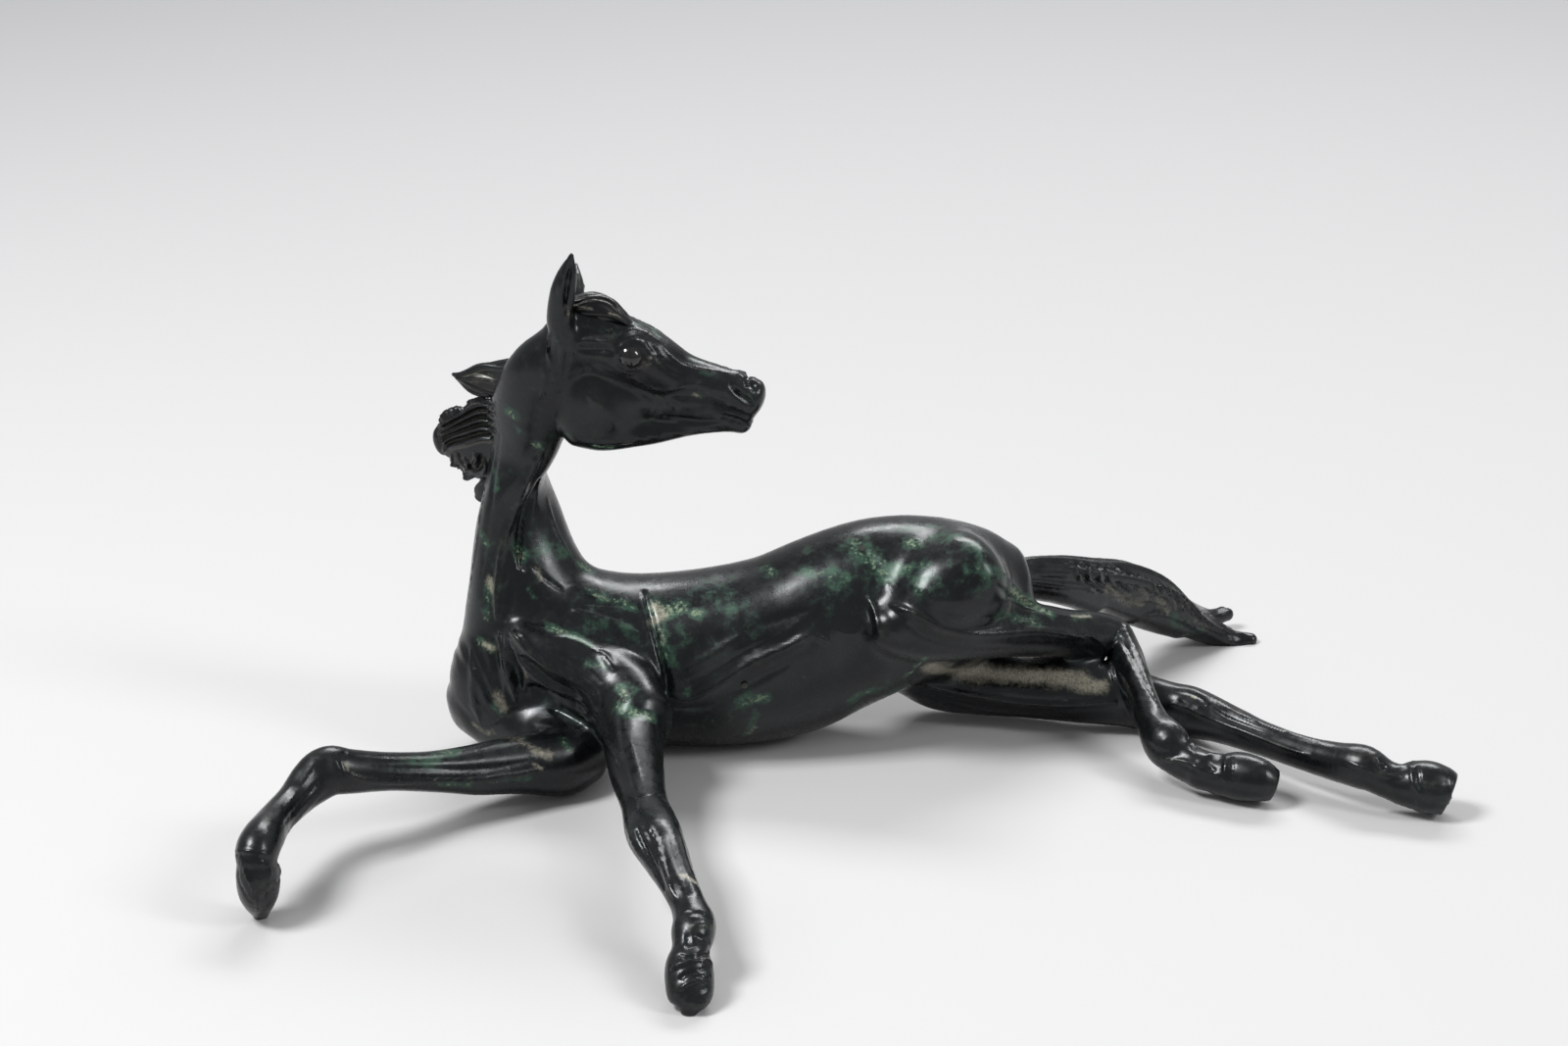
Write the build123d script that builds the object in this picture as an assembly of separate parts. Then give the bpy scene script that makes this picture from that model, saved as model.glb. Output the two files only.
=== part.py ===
from build123d import *
import math
import os

# Reclining horse, a hollow bronze made from separate castings that are pinned
# and sleeved together. Millimetres, +Z up, +X along the barrel towards the
# croup. The origin is the centre of the footprint at the height it rests on.

# ------------------------------------------------------------ driving sizes
WALL = 3.5              # casting wall of barrel and neck
HEAD_WALL = 3.2         # casting wall of the head
FIT = 0.06              # radial clearance of every spigot, sleeve and tenon
LEG_SPIGOT_R = 3.6      # round spigot cast on each leg root
LEG_SPIGOT_IN = 10.0    # how far it enters the barrel casting
LEG_SPIGOT_OUT = 8.0    # how far it is rooted in the leg
TAIL_SPIGOT_R = 3.0
TAIL_SPIGOT_IN = 11.0
NECK_SLEEVE_R = 13.2    # sleeve inside the neck seam, outer radius
NECK_SLEEVE_BORE_R = 10.8
NECK_SLEEVE_LENGTH = 16.0
HEAD_SLEEVE_R = 7.2     # sleeve inside the poll seam, outer radius
HEAD_SLEEVE_BORE_R = 5.2
HEAD_SLEEVE_LENGTH = 12.0
PIN_R = 1.0             # bronze cross pins, driven in and filed flush
PIN_LENGTH = 40.0       # before filing flush
TENON_R = 1.5           # ear and hair tenons
CORE_PIN_R = 1.25       # plugs where the core pins were drawn
PLUG_R = 8.0            # screw plug in the belly
PLUG_HEIGHT = 9.0
PLUG_SLOT = (12.0, 1.6, 1.2)    # screwdriver slot: length, width, depth
PATCH = (13.0, 10.0)    # inlaid repair patch in the flank, length and height

# Where the whole model is moved to, so that the origin is under its middle.
SHIFT = (-32.16, 55.27, 0.0)

# ------------------------------------------------------------ body sections
# Every row is one section through a limb or body:
# x, y, z of its centre, radii up / down / left / right, and the direction that
# "up" points. "Left" is the path direction crossed with "up".
SECTIONS = {
    "trunk": [
        [-128.11, -12, 20.77, 12, 12, 12, 16, 0, 0, 1],
        [-120.16, -12, 27.93, 22, 25, 18, 22, 0, 0, 1],
        [-105.27, -9, 32.77, 33, 32, 25, 29, 0, 0, 1],
        [-81.16, -4, 37.6, 37, 38, 30, 33, 0, 0, 1],
        [-56.97, 0, 38.01, 33.5, 39, 33, 34, 0, 0, 1],
        [-24.43, 1, 38.45, 36.5, 40, 34, 34, 0, 0, 1],
        [0, 3, 42.01, 38, 40, 34, 34, 0, 0, 1],
        [20.35, 5, 49.58, 38.5, 38, 33, 34, 0, 0, 1],
        [40.69, 7, 55.81, 38.5, 36, 31, 34, 0, 0, 1],
        [61.06, 9, 59.38, 35, 32, 29, 33, 0, 0, 1],
        [81.55, 12, 60.75, 28, 27, 26, 30, 0, 0, 1],
        [94, 15, 60.34, 20, 20, 19, 23, 0, 0, 1],
    ],
    "neck": [
        [-104.31, -8, 26.95, 34, 30, 24, 24, 1, 0, 0],
        [-103.08, -5, 47.83, 32, 29, 24, 24, 1, 0.1, 0],
        [-103.95, -2, 66.34, 27, 26, 22, 22, 1, 0.3, 0],
        [-106.52, 2, 84.3, 20.5, 22, 17, 16.5, 0.85, 0.6, 0],
        [-108.55, 4, 100.82, 19.5, 19.5, 13.5, 12.5, 0.55, 0.85, 0],
        [-108.86, 4, 115.84, 19, 18, 11, 11, 0.1, 1, 0],
        [-105.71, 1, 131.85, 18.5, 16.5, 11, 11, -0.6, 0.8, 0],
        [-99.51, -6, 149.09, 18, 15, 11, 11, -0.9, 0.45, 0],
        [-92.42, -11, 165.33, 16, 14, 10.5, 10.5, -1, 0.15, 0.25],
        [-84.98, -13, 177.46, 11, 12, 9, 9, -0.9, 0, 0.6],
    ],
    "cranium": [
        [-85.67, -14, 177.8, 9, 9, 8.5, 8.5, 0.36, 0, 0.93],
        [-77.15, -14, 179.43, 11, 10, 9.8, 9.8, 0.36, 0, 0.93],
        [-65.62, -14, 176.99, 12.3, 12, 12.5, 12.5, 0.36, 0, 0.93],
        [-54.13, -14, 172.1, 11.7, 12, 12.3, 12.3, 0.36, 0, 0.93],
        [-41.85, -14, 164.74, 10.2, 11, 9.6, 9.6, 0.36, 0, 0.93],
        [-29.1, -14, 160.63, 9.2, 9, 8, 8, 0.36, 0, 0.93],
        [-19.42, -14, 157.75, 8.8, 9, 7.9, 7.9, 0.36, 0, 0.93],
        [-13.22, -14, 154.87, 8.8, 9, 7.6, 7.6, 0.36, 0, 0.93],
    ],
    "cheek": [
        [-66.8, -14, 157.34, 8, 8, 7, 7, 0.36, 0, 0.93],
        [-52.47, -14, 154.87, 7.5, 7.5, 7.2, 7.2, 0.36, 0, 0.93],
        [-38.9, -14, 152.39, 6.5, 6, 6.4, 6.4, 0.36, 0, 0.93],
        [-26.07, -14, 151.15, 5, 5, 5.6, 5.6, 0.36, 0, 0.93],
        [-18.69, -14, 149.91, 4, 4, 4.6, 4.6, 0.36, 0, 0.93],
    ],
    "mandible": [
        [-81.92, -14, 143.28, 6, 7, 8, 8, 0.36, 0, 0.93],
        [-68.32, -14, 140.78, 6, 6, 8, 8, 0.36, 0, 0.93],
        [-52.69, -14, 141.61, 6, 5, 6.5, 6.5, 0.36, 0, 0.93],
        [-37.05, -14, 144.11, 5, 3.8, 5.5, 5.5, 0.36, 0, 0.93],
        [-23.39, -14, 145.77, 4.5, 4, 5.2, 5.2, 0.36, 0, 0.93],
        [-17.15, -14, 144.94, 4, 3.8, 4.8, 4.8, 0.36, 0, 0.93],
    ],
    "ear_near": [
        [-85.53, -21, 180.17, 5.5, 5.5, 4, 4, 1, -0.3, 0],
        [-87.45, -22.5, 190.33, 5.2, 5.2, 4.2, 4.2, 1, -0.3, 0],
        [-86.3, -24, 200.81, 5.4, 5, 3.6, 3.6, 1, -0.3, 0],
        [-83.7, -25, 210.25, 4, 4, 2.8, 2.8, 1, -0.3, 0],
        [-81.92, -26, 218.05, 1, 1, 0.9, 0.9, 1, -0.3, 0],
    ],
    "rf_humerus": [
        [-127.41, -12, 18.08, 10.14, 10.14, 9.74, 9.74, 0, 0.38, 0.93],
        [-112.81, -22, 17.06, 14.1, 14.1, 12.09, 12.09, 0, 0.38, 0.93],
        [-95.59, -38, 15.51, 14.34, 14.34, 11.95, 11.95, 0, 0.38, 0.93],
        [-83.89, -48, 12.5, 12.66, 12.66, 11.08, 11.08, 0, 0.38, 0.93],
    ],
    "lf_humerus": [
        [-106.83, -30, 57.3, 5.93, 5.93, 5.54, 5.54, 0, 0.38, 0.93],
        [-94.99, -32, 51.26, 10.69, 10.69, 8.71, 8.71, 0, 0.38, 0.93],
        [-79.25, -34, 42.6, 14.66, 14.66, 11.89, 11.89, 0, 0.38, 0.93],
        [-65.2, -40, 36.68, 16.2, 16.2, 13.44, 13.44, 0, 0.38, 0.93],
        [-58.03, -52, 32.4, 14.51, 14.51, 13.33, 13.33, 0, 0.38, 0.93],
    ],
    "lh_thigh": [
        [74.12, -6, 75.48, 20.03, 20.03, 24.04, 24.04, 0, 0.38, 0.93],
        [61.92, -12, 70.21, 19.17, 19.17, 21.57, 21.57, 0, 0.38, 0.93],
        [49.82, -18, 63.25, 12.75, 12.75, 16.74, 16.74, 0, 0.38, 0.93],
        [41.76, -22, 59.8, 8.75, 8.75, 11.93, 11.93, 0, 0.38, 0.93],
    ],
    "lh_leg": [
        [40.58, -22, 59.37, 7.96, 7.96, 9.55, 9.55, 0, 0.38, 0.93],
        [53.79, -21, 56.74, 10.76, 10.76, 11.95, 11.95, 0, 0.38, 0.93],
        [69.96, -17, 55.39, 11.19, 11.19, 11.19, 11.19, 0, 0.38, 0.93],
        [86.47, -10, 52.71, 10.86, 10.86, 10.05, 10.05, 0, 0.38, 0.93],
        [103.44, 0, 48.69, 10.95, 10.95, 9.33, 9.33, 0, 0.38, 0.93],
        [118.8, 11, 42.45, 10.04, 10.04, 8.19, 8.19, 0, 0.38, 0.93],
        [131.32, 20, 37.52, 9.91, 9.91, 7.43, 7.43, 0, 0.38, 0.93],
        [139.83, 25, 33.47, 8.71, 8.71, 7.05, 7.05, 0, 0.38, 0.93],
        [144.33, 15, 29.83, 7.42, 7.42, 6.6, 6.6, 0, 0.38, 0.93],
        [146.32, -2, 27.74, 6.52, 6.52, 5.71, 5.71, 0, 0.38, 0.93],
        [148.61, -16, 24.01, 6.26, 6.26, 5.65, 5.65, 0, 0.38, 0.93],
        [151.11, -28, 19.51, 7.21, 7.21, 6.81, 6.81, 0, 0.38, 0.93],
        [155.2, -39, 16, 9.55, 9.55, 8.75, 8.75, 0, 0.38, 0.93],
        [161.32, -46, 11.95, 7.93, 7.93, 7.13, 7.13, 0, 0.38, 0.93],
        [168.82, -53, 10.6, 7.49, 7.49, 7.1, 7.1, 0, 0.38, 0.93],
        [174.9, -55, 9.84, 8.27, 8.27, 8.27, 8.27, 0, 0.38, 0.93],
        [182.33, -58, 10.48, 9.82, 9.82, 9.04, 9.04, 0, 0.38, 0.93],
        [189.77, -61, 10.24, 9.02, 9.02, 8.63, 8.63, 0, 0.38, 0.93],
        [195.61, -62, 8.56, 6.66, 6.66, 6.66, 6.66, 0, 0.38, 0.93],
    ],
    "rh_thigh": [
        [78.25, 22, 51.51, 18.53, 18.53, 21.42, 21.42, 0, 0.38, 0.93],
        [68.32, 22, 33.46, 16.56, 16.56, 20.7, 20.7, 0, 0.38, 0.93],
        [60.21, 20, 18.43, 10.8, 10.8, 14.95, 14.95, 0, 0.38, 0.93],
    ],
    "rh_leg": [
        [52.89, 14, 20.3, 6.61, 6.61, 9.09, 9.09, 0, 0.38, 0.93],
        [66.45, 19, 15.24, 13.71, 10.8, 12.46, 12.46, 0, 0.38, 0.93],
        [83.02, 18, 14.79, 14.94, 12.04, 13.28, 13.28, 0, 0.38, 0.93],
        [103.53, 15, 15.28, 15.32, 12.42, 12.42, 12.42, 0, 0.38, 0.93],
        [123.77, 10, 15.8, 14.85, 12.79, 11.14, 11.14, 0, 0.38, 0.93],
        [144.29, 8, 13.56, 12.37, 11.54, 9.89, 9.89, 0, 0.38, 0.93],
        [160.51, 5, 11.79, 10.29, 10.29, 8.64, 8.64, 0, 0.38, 0.93],
        [171.16, -2, 11.95, 10.65, 10.65, 8.19, 8.19, 0, 0.38, 0.93],
        [182.29, -16, 13.72, 8.51, 8.51, 7.29, 7.29, 0, 0.38, 0.93],
        [196.47, -30, 13.37, 7.02, 7.02, 6.42, 6.42, 0, 0.38, 0.93],
        [210.25, -44, 14.05, 6.94, 6.94, 6.35, 6.35, 0, 0.38, 0.93],
        [222.38, -54, 15.05, 7.87, 7.87, 7.48, 7.48, 0, 0.38, 0.93],
        [231.71, -61, 15.92, 8.81, 8.81, 8.61, 8.61, 0, 0.38, 0.93],
        [239.61, -66, 13.2, 6.83, 6.83, 6.63, 6.63, 0, 0.38, 0.93],
        [245.57, -68, 12.04, 8.19, 8.19, 8.19, 8.19, 0, 0.38, 0.93],
        [253.74, -70, 12.18, 10.51, 10.51, 9.34, 9.34, 0, 0.38, 0.93],
        [259.87, -71, 10.95, 10.11, 10.11, 9.34, 9.34, 0, 0.38, 0.93],
        [263.66, -72, 9.72, 8.94, 8.94, 8.17, 8.17, 0, 0.38, 0.93],
    ],
    "tail": [
        [90.69, 16, 64.36, 6.94, 6.94, 6.13, 6.13, 0, -0.35, 0.94],
        [102.19, 27, 62.36, 7.83, 7.42, 5.77, 5.77, 0, -0.35, 0.94],
        [115.65, 38, 56.8, 8.74, 8.32, 6.24, 6.24, 0, -0.35, 0.94],
        [130.56, 52, 48.56, 9.27, 10.11, 7.16, 7.16, 0, -0.35, 0.94],
        [145.86, 66, 38.89, 11.52, 12.37, 8.1, 8.53, 0, -0.35, 0.94],
        [160.47, 78, 28.1, 12.08, 11.22, 8.63, 9.49, 0, -0.35, 0.94],
        [174.1, 87, 18.03, 8.71, 9.14, 7.83, 10.45, 0, -0.35, 0.94],
        [187.54, 93, 8.7, 5.26, 7.45, 5.7, 8.76, 0, -0.35, 0.94],
        [200.58, 96, 2.07, 3.08, 5.28, 4.4, 5.28, 0, -0.35, 0.94],
        [209.4, 96, 1.59, 2.64, 3.52, 3.08, 3.08, 0, -0.35, 0.94],
    ],
    "tail_tip": [
        [165.23, 88, 24.23, 6.52, 7.39, 5.22, 6.09, 0, -0.35, 0.94],
        [179.07, 98, 15.11, 4.83, 5.71, 4.83, 5.71, 0, -0.35, 0.94],
        [191.9, 106, 7.75, 3.54, 3.98, 3.98, 4.42, 0, -0.35, 0.94],
        [200.57, 111, 7, 3.11, 3.11, 2.66, 3.11, 0, -0.35, 0.94],
    ],
    "mane_tuft": [
        [-108.36, 1, 159.5, 7.6, 7.6, 3, 3, 0, 0, 1],
        [-115.87, 5, 156.85, 7.4, 7.2, 2.6, 2.6, 0, 0, 1],
        [-123.69, 8, 155.38, 5.6, 5.2, 2.2, 2.2, 0, 0, 1],
        [-129.79, 10, 155.94, 2.6, 3, 1.6, 1.6, 0, 0, 1],
        [-133.42, 11, 156.84, 0.9, 0.9, 0.8, 0.8, 0, 0, 1],
    ],
    "mane_main": [
        [-110.82, 1, 133.12, 15, 15, 5, 5, 0, 0, 1],
        [-118.45, 6, 131.26, 15.5, 16.5, 6, 6, 0, 0, 1],
        [-126.07, 10, 128.92, 14.5, 16.5, 6.5, 6.5, 0, 0, 1],
        [-133.56, 13, 128.65, 10.5, 12.5, 5.5, 5.5, 0, 0, 1],
        [-139.72, 14, 127.43, 6, 6.5, 4, 4, 0, 0, 1],
    ],
    "mane_low": [
        [-117.53, 6, 112.5, 4.5, 4.5, 3, 3, 0, 0, 1],
        [-122.27, 8, 107.85, 4.2, 5.2, 3, 3, 0, 0, 1],
        [-124.9, 9, 104.44, 2.2, 3.2, 2, 2, 0, 0, 1],
    ],
    "forelock": [
        [-81.36, -14, 195.6, 3.4, 3.4, 4.6, 4.6, 0, 0, 1],
        [-75.53, -15, 196.32, 4, 4, 6, 6, 0, 0, 1],
        [-69.76, -16, 194.63, 3.8, 3.6, 6, 6, 0.2, 0, 1],
        [-64.45, -16, 191.82, 2.6, 2.6, 5, 5, 0.3, 0, 1],
        [-60.28, -16, 189, 1.2, 1.2, 3, 3, 0.4, 0, 1],
    ],
    "ear_far": [
        [-86.59, -7, 175.44, 5.5, 5.5, 4, 4, 0.9, 0.3, 0.2],
        [-85.79, 0.53, 181.97, 5.2, 5.2, 4.2, 4.2, 0.9, 0.3, 0.2],
        [-84.98, 8.06, 188.49, 5.2, 5.2, 3.6, 3.6, 0.9, 0.3, 0.2],
        [-84.26, 14.84, 194.37, 4, 4, 2.8, 2.8, 0.9, 0.3, 0.2],
        [-83.62, 20.87, 199.59, 1, 1, 0.9, 0.9, 0.9, 0.3, 0.2],
    ],
    "rf_leg": [
        [-80.18, -44, 12.28, 10.32, 10.32, 9.53, 9.53, 0, 0.38, 0.93],
        [-89.92, -52, 13.61, 13.01, 13.01, 11.83, 11.83, 0, 0.38, 0.93],
        [-105.73, -60, 16.73, 11.75, 11.75, 10.57, 10.57, 0, 0.38, 0.93],
        [-122.31, -70, 19.56, 10.1, 10.1, 8.93, 8.93, 0, 0.38, 0.93],
        [-138.53, -80, 23.71, 8.08, 8.08, 7.31, 7.31, 0, 0.38, 0.93],
        [-154.25, -91, 29.24, 7.62, 7.62, 6.86, 6.86, 0, 0.38, 0.93],
        [-166.91, -100, 33.75, 8.69, 8.69, 7.18, 7.18, 0, 0.38, 0.93],
        [-174.93, -104, 35.76, 9.78, 9.78, 7.9, 7.9, 0, 0.38, 0.93],
        [-181.13, -109, 33.25, 9, 9, 7.5, 7.5, 0, 0.38, 0.93],
        [-186.34, -118, 30.32, 7.27, 7.27, 6.34, 6.34, 0, 0.38, 0.93],
        [-190.93, -132, 29.68, 7.19, 7.19, 6.27, 6.27, 0, 0.38, 0.93],
        [-193.54, -148, 29.86, 8.37, 8.37, 7.64, 7.64, 0, 0.38, 0.93],
        [-194.73, -155, 27.86, 8.69, 8.69, 7.96, 7.96, 0, 0.38, 0.93],
        [-194.71, -157, 23.22, 7.42, 7.42, 6.51, 6.51, 0, 0.38, 0.93],
        [-194.53, -157, 20.35, 9.42, 9.42, 7.97, 7.97, 0, 0.38, 0.93],
        [-194.92, -156, 11.17, 7.64, 7.64, 7.27, 7.27, 0, 0.38, 0.93],
        [-195.34, -153, 0.8, 2.56, 2.56, 2.93, 2.93, 0, 0.38, 0.93],
    ],
    "lf_leg": [
        [-59.82, -48, 30.47, 13.38, 13.38, 14.17, 14.17, 0, 0, 1],
        [-59.43, -66, 28.38, 12.04, 12.04, 12.04, 12.04, 0, 0, 1],
        [-57.2, -90, 27.88, 10.3, 10.3, 10.68, 10.68, 0, 0, 1],
        [-52.96, -118, 28.23, 8.58, 8.58, 9.14, 9.14, 0, 0, 1],
        [-48.59, -143, 29.67, 8.77, 8.77, 10.59, 10.59, 0, 0, 1],
        [-44.13, -156, 27.17, 7.6, 7.6, 9.04, 9.04, 0, 0, 1],
        [-37.7, -177, 25.61, 6.22, 6.22, 6.76, 6.76, 0, 0, 1],
        [-34.28, -186, 22.55, 6.01, 6.01, 6.54, 6.54, 0, 0, 1],
        [-32.34, -193, 20.06, 7.38, 7.38, 7.73, 7.73, 0, 0, 1],
        [-32.58, -198, 18.1, 7.71, 7.71, 7.88, 7.88, 0, 0, 1],
        [-33.17, -203, 15.37, 6.63, 6.63, 6.63, 6.63, 0, 0, 1],
        [-33.73, -209, 12.07, 7.3, 7.3, 8.35, 8.35, 0, 0, 1],
        [-33.24, -216, 7.43, 6.92, 6.92, 8.66, 8.66, 0, 0, 1],
        [-33.17, -220, 3.44, 5.53, 5.53, 7.26, 7.26, 0, 0, 1],
        [-33.49, -222, 0.67, 2.76, 2.76, 3.11, 3.11, 0, 0, 1],
    ],
}

# How far each body's rounded ends stand past its first and last section.
ENDS = {
    "trunk": (6, 8),
    "neck": (8, 8),
    "cranium": (6, 5),
    "cheek": (5, 4),
    "mandible": (5, 4),
    "ear_near": (4, 1.2),
    "rf_humerus": (10, 8),
    "lf_humerus": (5, 8),
    "lh_thigh": (14, 7),
    "lh_leg": (7, 1.5),
    "rh_thigh": (12, 8),
    "rh_leg": (7, 1.0),
    "tail": (6, 3),
    "tail_tip": (5, 3),
    "mane_tuft": (3, 1),
    "mane_main": (3, 3.5),
    "mane_low": (2, 1.5),
    "forelock": (2, 1.5),
    "ear_far": (4, 1.2),
    "rf_leg": (8, 2),
    "lf_leg": (8, 2),
}

# Rounded masses: centre, radii, direction of the first radius.
ROUND = {
    "jowl": ((-73.11, -14.0, 153.22), (18.5, 10.5, 18.5), (1, 0, 0)),
    "eye_near": ((-60.02, -22.6, 176.46), (5.3, 4.4, 5.0), (0.93, 0, -0.36)),
    "eye_far": ((-60.02, -5.399999999999999, 176.46), (5.3, 4.4, 5.0), (0.93, 0, -0.36)),
}


def add(a, b, k=1.0):
    return (a[0] + b[0] * k, a[1] + b[1] * k, a[2] + b[2] * k)


def sub(a, b):
    return (a[0] - b[0], a[1] - b[1], a[2] - b[2])


def mul(a, k):
    return (a[0] * k, a[1] * k, a[2] * k)


def dot(a, b):
    return a[0] * b[0] + a[1] * b[1] + a[2] * b[2]


def cross(a, b):
    return (a[1] * b[2] - a[2] * b[1], a[2] * b[0] - a[0] * b[2], a[0] * b[1] - a[1] * b[0])


def unit(a):
    return mul(a, 1.0 / math.sqrt(dot(a, a)))


def tangent(rows, i):
    """Path direction at section i."""
    a = rows[max(i - 1, 0)][:3]
    b = rows[min(i + 1, len(rows) - 1)][:3]
    return unit(sub(b, a))


def refined(rows, steps):
    """Rows with more sections between them, on a smooth path through the given ones."""
    if steps < 2:
        return [list(r) for r in rows]
    n = len(rows)
    first = [2 * a - b for a, b in zip(rows[0], rows[1])]
    last = [2 * a - b for a, b in zip(rows[-1], rows[-2])]
    p = [first] + [list(r) for r in rows] + [last]
    out = []
    for i in range(1, n):
        for k in range(steps):
            t = k / steps
            out.append([0.5 * (2 * b + (c - a) * t + (2 * a - 5 * b + 4 * c - d) * t * t + (3 * b - a - 3 * c + d) * t ** 3)
                        for a, b, c, d in zip(p[i - 1], p[i], p[i + 1], p[i + 2])])
    out.append(list(rows[-1]))
    return out


# sections added between the given ones, per step
STEPS = {"trunk": 1, "lf_leg": 1, "lh_thigh": 1, "ear_near": 4, "ear_far": 4, "ear_near_hollow": 3, "ear_far_hollow": 3, "mane_tuft": 4, "mane_main": 3, "mane_low": 3, "forelock": 3, "cheek": 3, "mandible": 3}


def outline(centre, t, n, up, down, left, right):
    """Closed outline of one section, as four smooth quarter curves."""
    n = unit(sub(n, mul(t, dot(n, t))))
    b = cross(t, n)
    edges = []
    for q in range(4):
        rn = up if q in (0, 3) else down
        rb = left if q in (0, 1) else right
        points, ways = [], []
        for j in range(4):
            a = math.radians(90 * q + 30 * j)
            c, s = math.cos(a), math.sin(a)
            points.append(Vector(*add(add(centre, n, c * rn), b, s * rb)))
            ways.append(Vector(*unit(add(mul(n, -s * rn), b, c * rb))))
        edges.append(Edge.make_spline(points, tangents=[ways[0], ways[-1]]))
    return Wire(edges)


def body(name, grow=0.0, first=0, last=None, ends=None):
    """Closed body lofted through its sections with rounded ends. grow widens every radius."""
    rows = SECTIONS[name]
    rows = refined(rows[first:(len(rows) if last is None else last + 1)], STEPS.get(name, 2))
    first, last = 0, len(rows) - 1
    caps = ends or ENDS[name]
    rings = []

    def section(i, along, k):
        r = rows[i]
        t = tangent(rows, i)
        radii = [max(v + grow, 0.4) * k for v in r[3:7]]
        rings.append(outline(add(tuple(r[:3]), t, along), t, tuple(r[7:10]), *radii))

    cap0, cap1 = max(caps[0] + grow, 0.4), max(caps[1] + grow, 0.4)
    for a in (68, 36):
        section(first, -cap0 * math.sin(math.radians(a)), math.cos(math.radians(a)))
    for i in range(first, last + 1):
        section(i, 0.0, 1.0)
    for a in (36, 68):
        section(last, cap1 * math.sin(math.radians(a)), math.cos(math.radians(a)))
    return Solid.make_loft(rings)


def egg(name, grow=0.0):
    """Ellipsoid."""
    c, r, x = ROUND[name]
    s = scale(Sphere(1.0), by=tuple(v + grow for v in r))
    return Plane(origin=c, x_dir=x, z_dir=cross(unit(x), (0, 1, 0))) * s


def rod(centre, direction, radius, back, front):
    """Cylinder along direction, from back behind the centre to front before it."""
    p = Plane(origin=add(centre, unit(direction), -back), z_dir=unit(direction))
    return p * Cylinder(radius, back + front, align=(Align.CENTER, Align.CENTER, Align.MIN))


def beyond(origin, direction, size=500.0):
    """Everything on the side of the plane that direction points to."""
    p = Plane(origin=origin, z_dir=unit(direction))
    return p * Box(size, size, size, align=(Align.CENTER, Align.CENTER, Align.MIN))


def solid_of(shape):
    """The largest solid of a shape; the rest would be loose slivers."""
    return max(shape.solids(), key=lambda s: s.volume)


def fuse(first, *others):
    out = first
    for o in others:
        out = out + o
    return solid_of(out)


def report(name, shape):
    print(name, len(shape.solids()), "solid(s)", round(shape.volume, 1), "mm3", "valid" if shape.is_valid else "NOT VALID")


GROUND = Pos(0, 0, -250) * Box(1000, 1000, 500)      # everything under the floor

# ------------------------------------------------------------ limbs, whole
# Each leg is one path; it is parted from the barrel on a plane square to it.
def leg_parts(name, row, share):
    """(root that stays on the barrel, leg beyond the seam, seam centre, seam direction)"""
    rows = SECTIONS[name]
    a, b = tuple(rows[row][:3]), tuple(rows[row + 1][:3])
    centre = add(a, sub(b, a), share)
    way = unit(sub(b, a))
    whole = body(name)
    outer = beyond(centre, way)
    return solid_of(whole - outer), solid_of(solid_of(whole & outer) - GROUND), centre, way


rf_root, foreleg_right, rf_c, rf_w = leg_parts("rf_leg", 2, 0.5)
lf_root, foreleg_left, lf_c, lf_w = leg_parts("lf_leg", 2, 0.0)
lh_root, hind_leg_left, lh_c, lh_w = leg_parts("lh_leg", 4, 0.3)
rh_root, hind_leg_right, rh_c, rh_w = leg_parts("rh_leg", 4, 0.0)
for n, s in (("rf", foreleg_right), ("lf", foreleg_left), ("lh", hind_leg_left), ("rh", hind_leg_right)):
    report(n, s)

# ------------------------------------------------------------ seams of the neck
neck_rows = SECTIONS["neck"]
neck_seam = tuple(neck_rows[3][:3])
neck_way = tangent(neck_rows, 3)
poll_seam = (-90.80, -11.00, 153.79)
poll_way = unit((35.17, 0.00, 5.37))

neck_whole = body("neck")
above_neck_seam = beyond(neck_seam, neck_way)
neck_low = solid_of(neck_whole - above_neck_seam)
neck_high = solid_of(neck_whole & above_neck_seam)

# ------------------------------------------------------------ barrel with neck root and limb roots
barrel = body("trunk")
trunk_outer = barrel
for part in (neck_low, body("rf_humerus"), body("lf_humerus"), body("lh_thigh"), body("rh_thigh"), rf_root, lf_root, lh_root, rh_root):
    trunk_outer = fuse(trunk_outer, part)
    report("barrel and roots", trunk_outer)
report("trunk outer", trunk_outer)
trunk_outer = solid_of(trunk_outer - GROUND)
report("trunk outer, on the ground", trunk_outer)
barrel_core = body("trunk", -WALL, 2, 9)
neck_core = body("neck", -WALL)
core = fuse(barrel_core, neck_core - above_neck_seam)
trunk_casting = trunk_outer - core

# ------------------------------------------------------------ neck and head
face = fuse(body("cranium"), egg("jowl"), body("cheek"), body("mandible"))
report("face", face)
upper_outer = fuse(neck_high, face)
report("neck and head outer", upper_outer)
head_core = body("cranium", -HEAD_WALL, 0, 5)
upper_core = fuse(neck_core & above_neck_seam, head_core)
upper = upper_outer - upper_core
beyond_poll = beyond(poll_seam, poll_way)
head_casting = solid_of(upper & beyond_poll)
neck_casting = solid_of(upper - beyond_poll)
report("head", head_casting)
report("neck", neck_casting)

# ------------------------------------------------------------ sleeves in the seams
def sleeve(centre, way, outer, inner, length):
    return rod(centre, way, outer, length / 2, length / 2) - rod(centre, way, inner, length, length)


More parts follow.
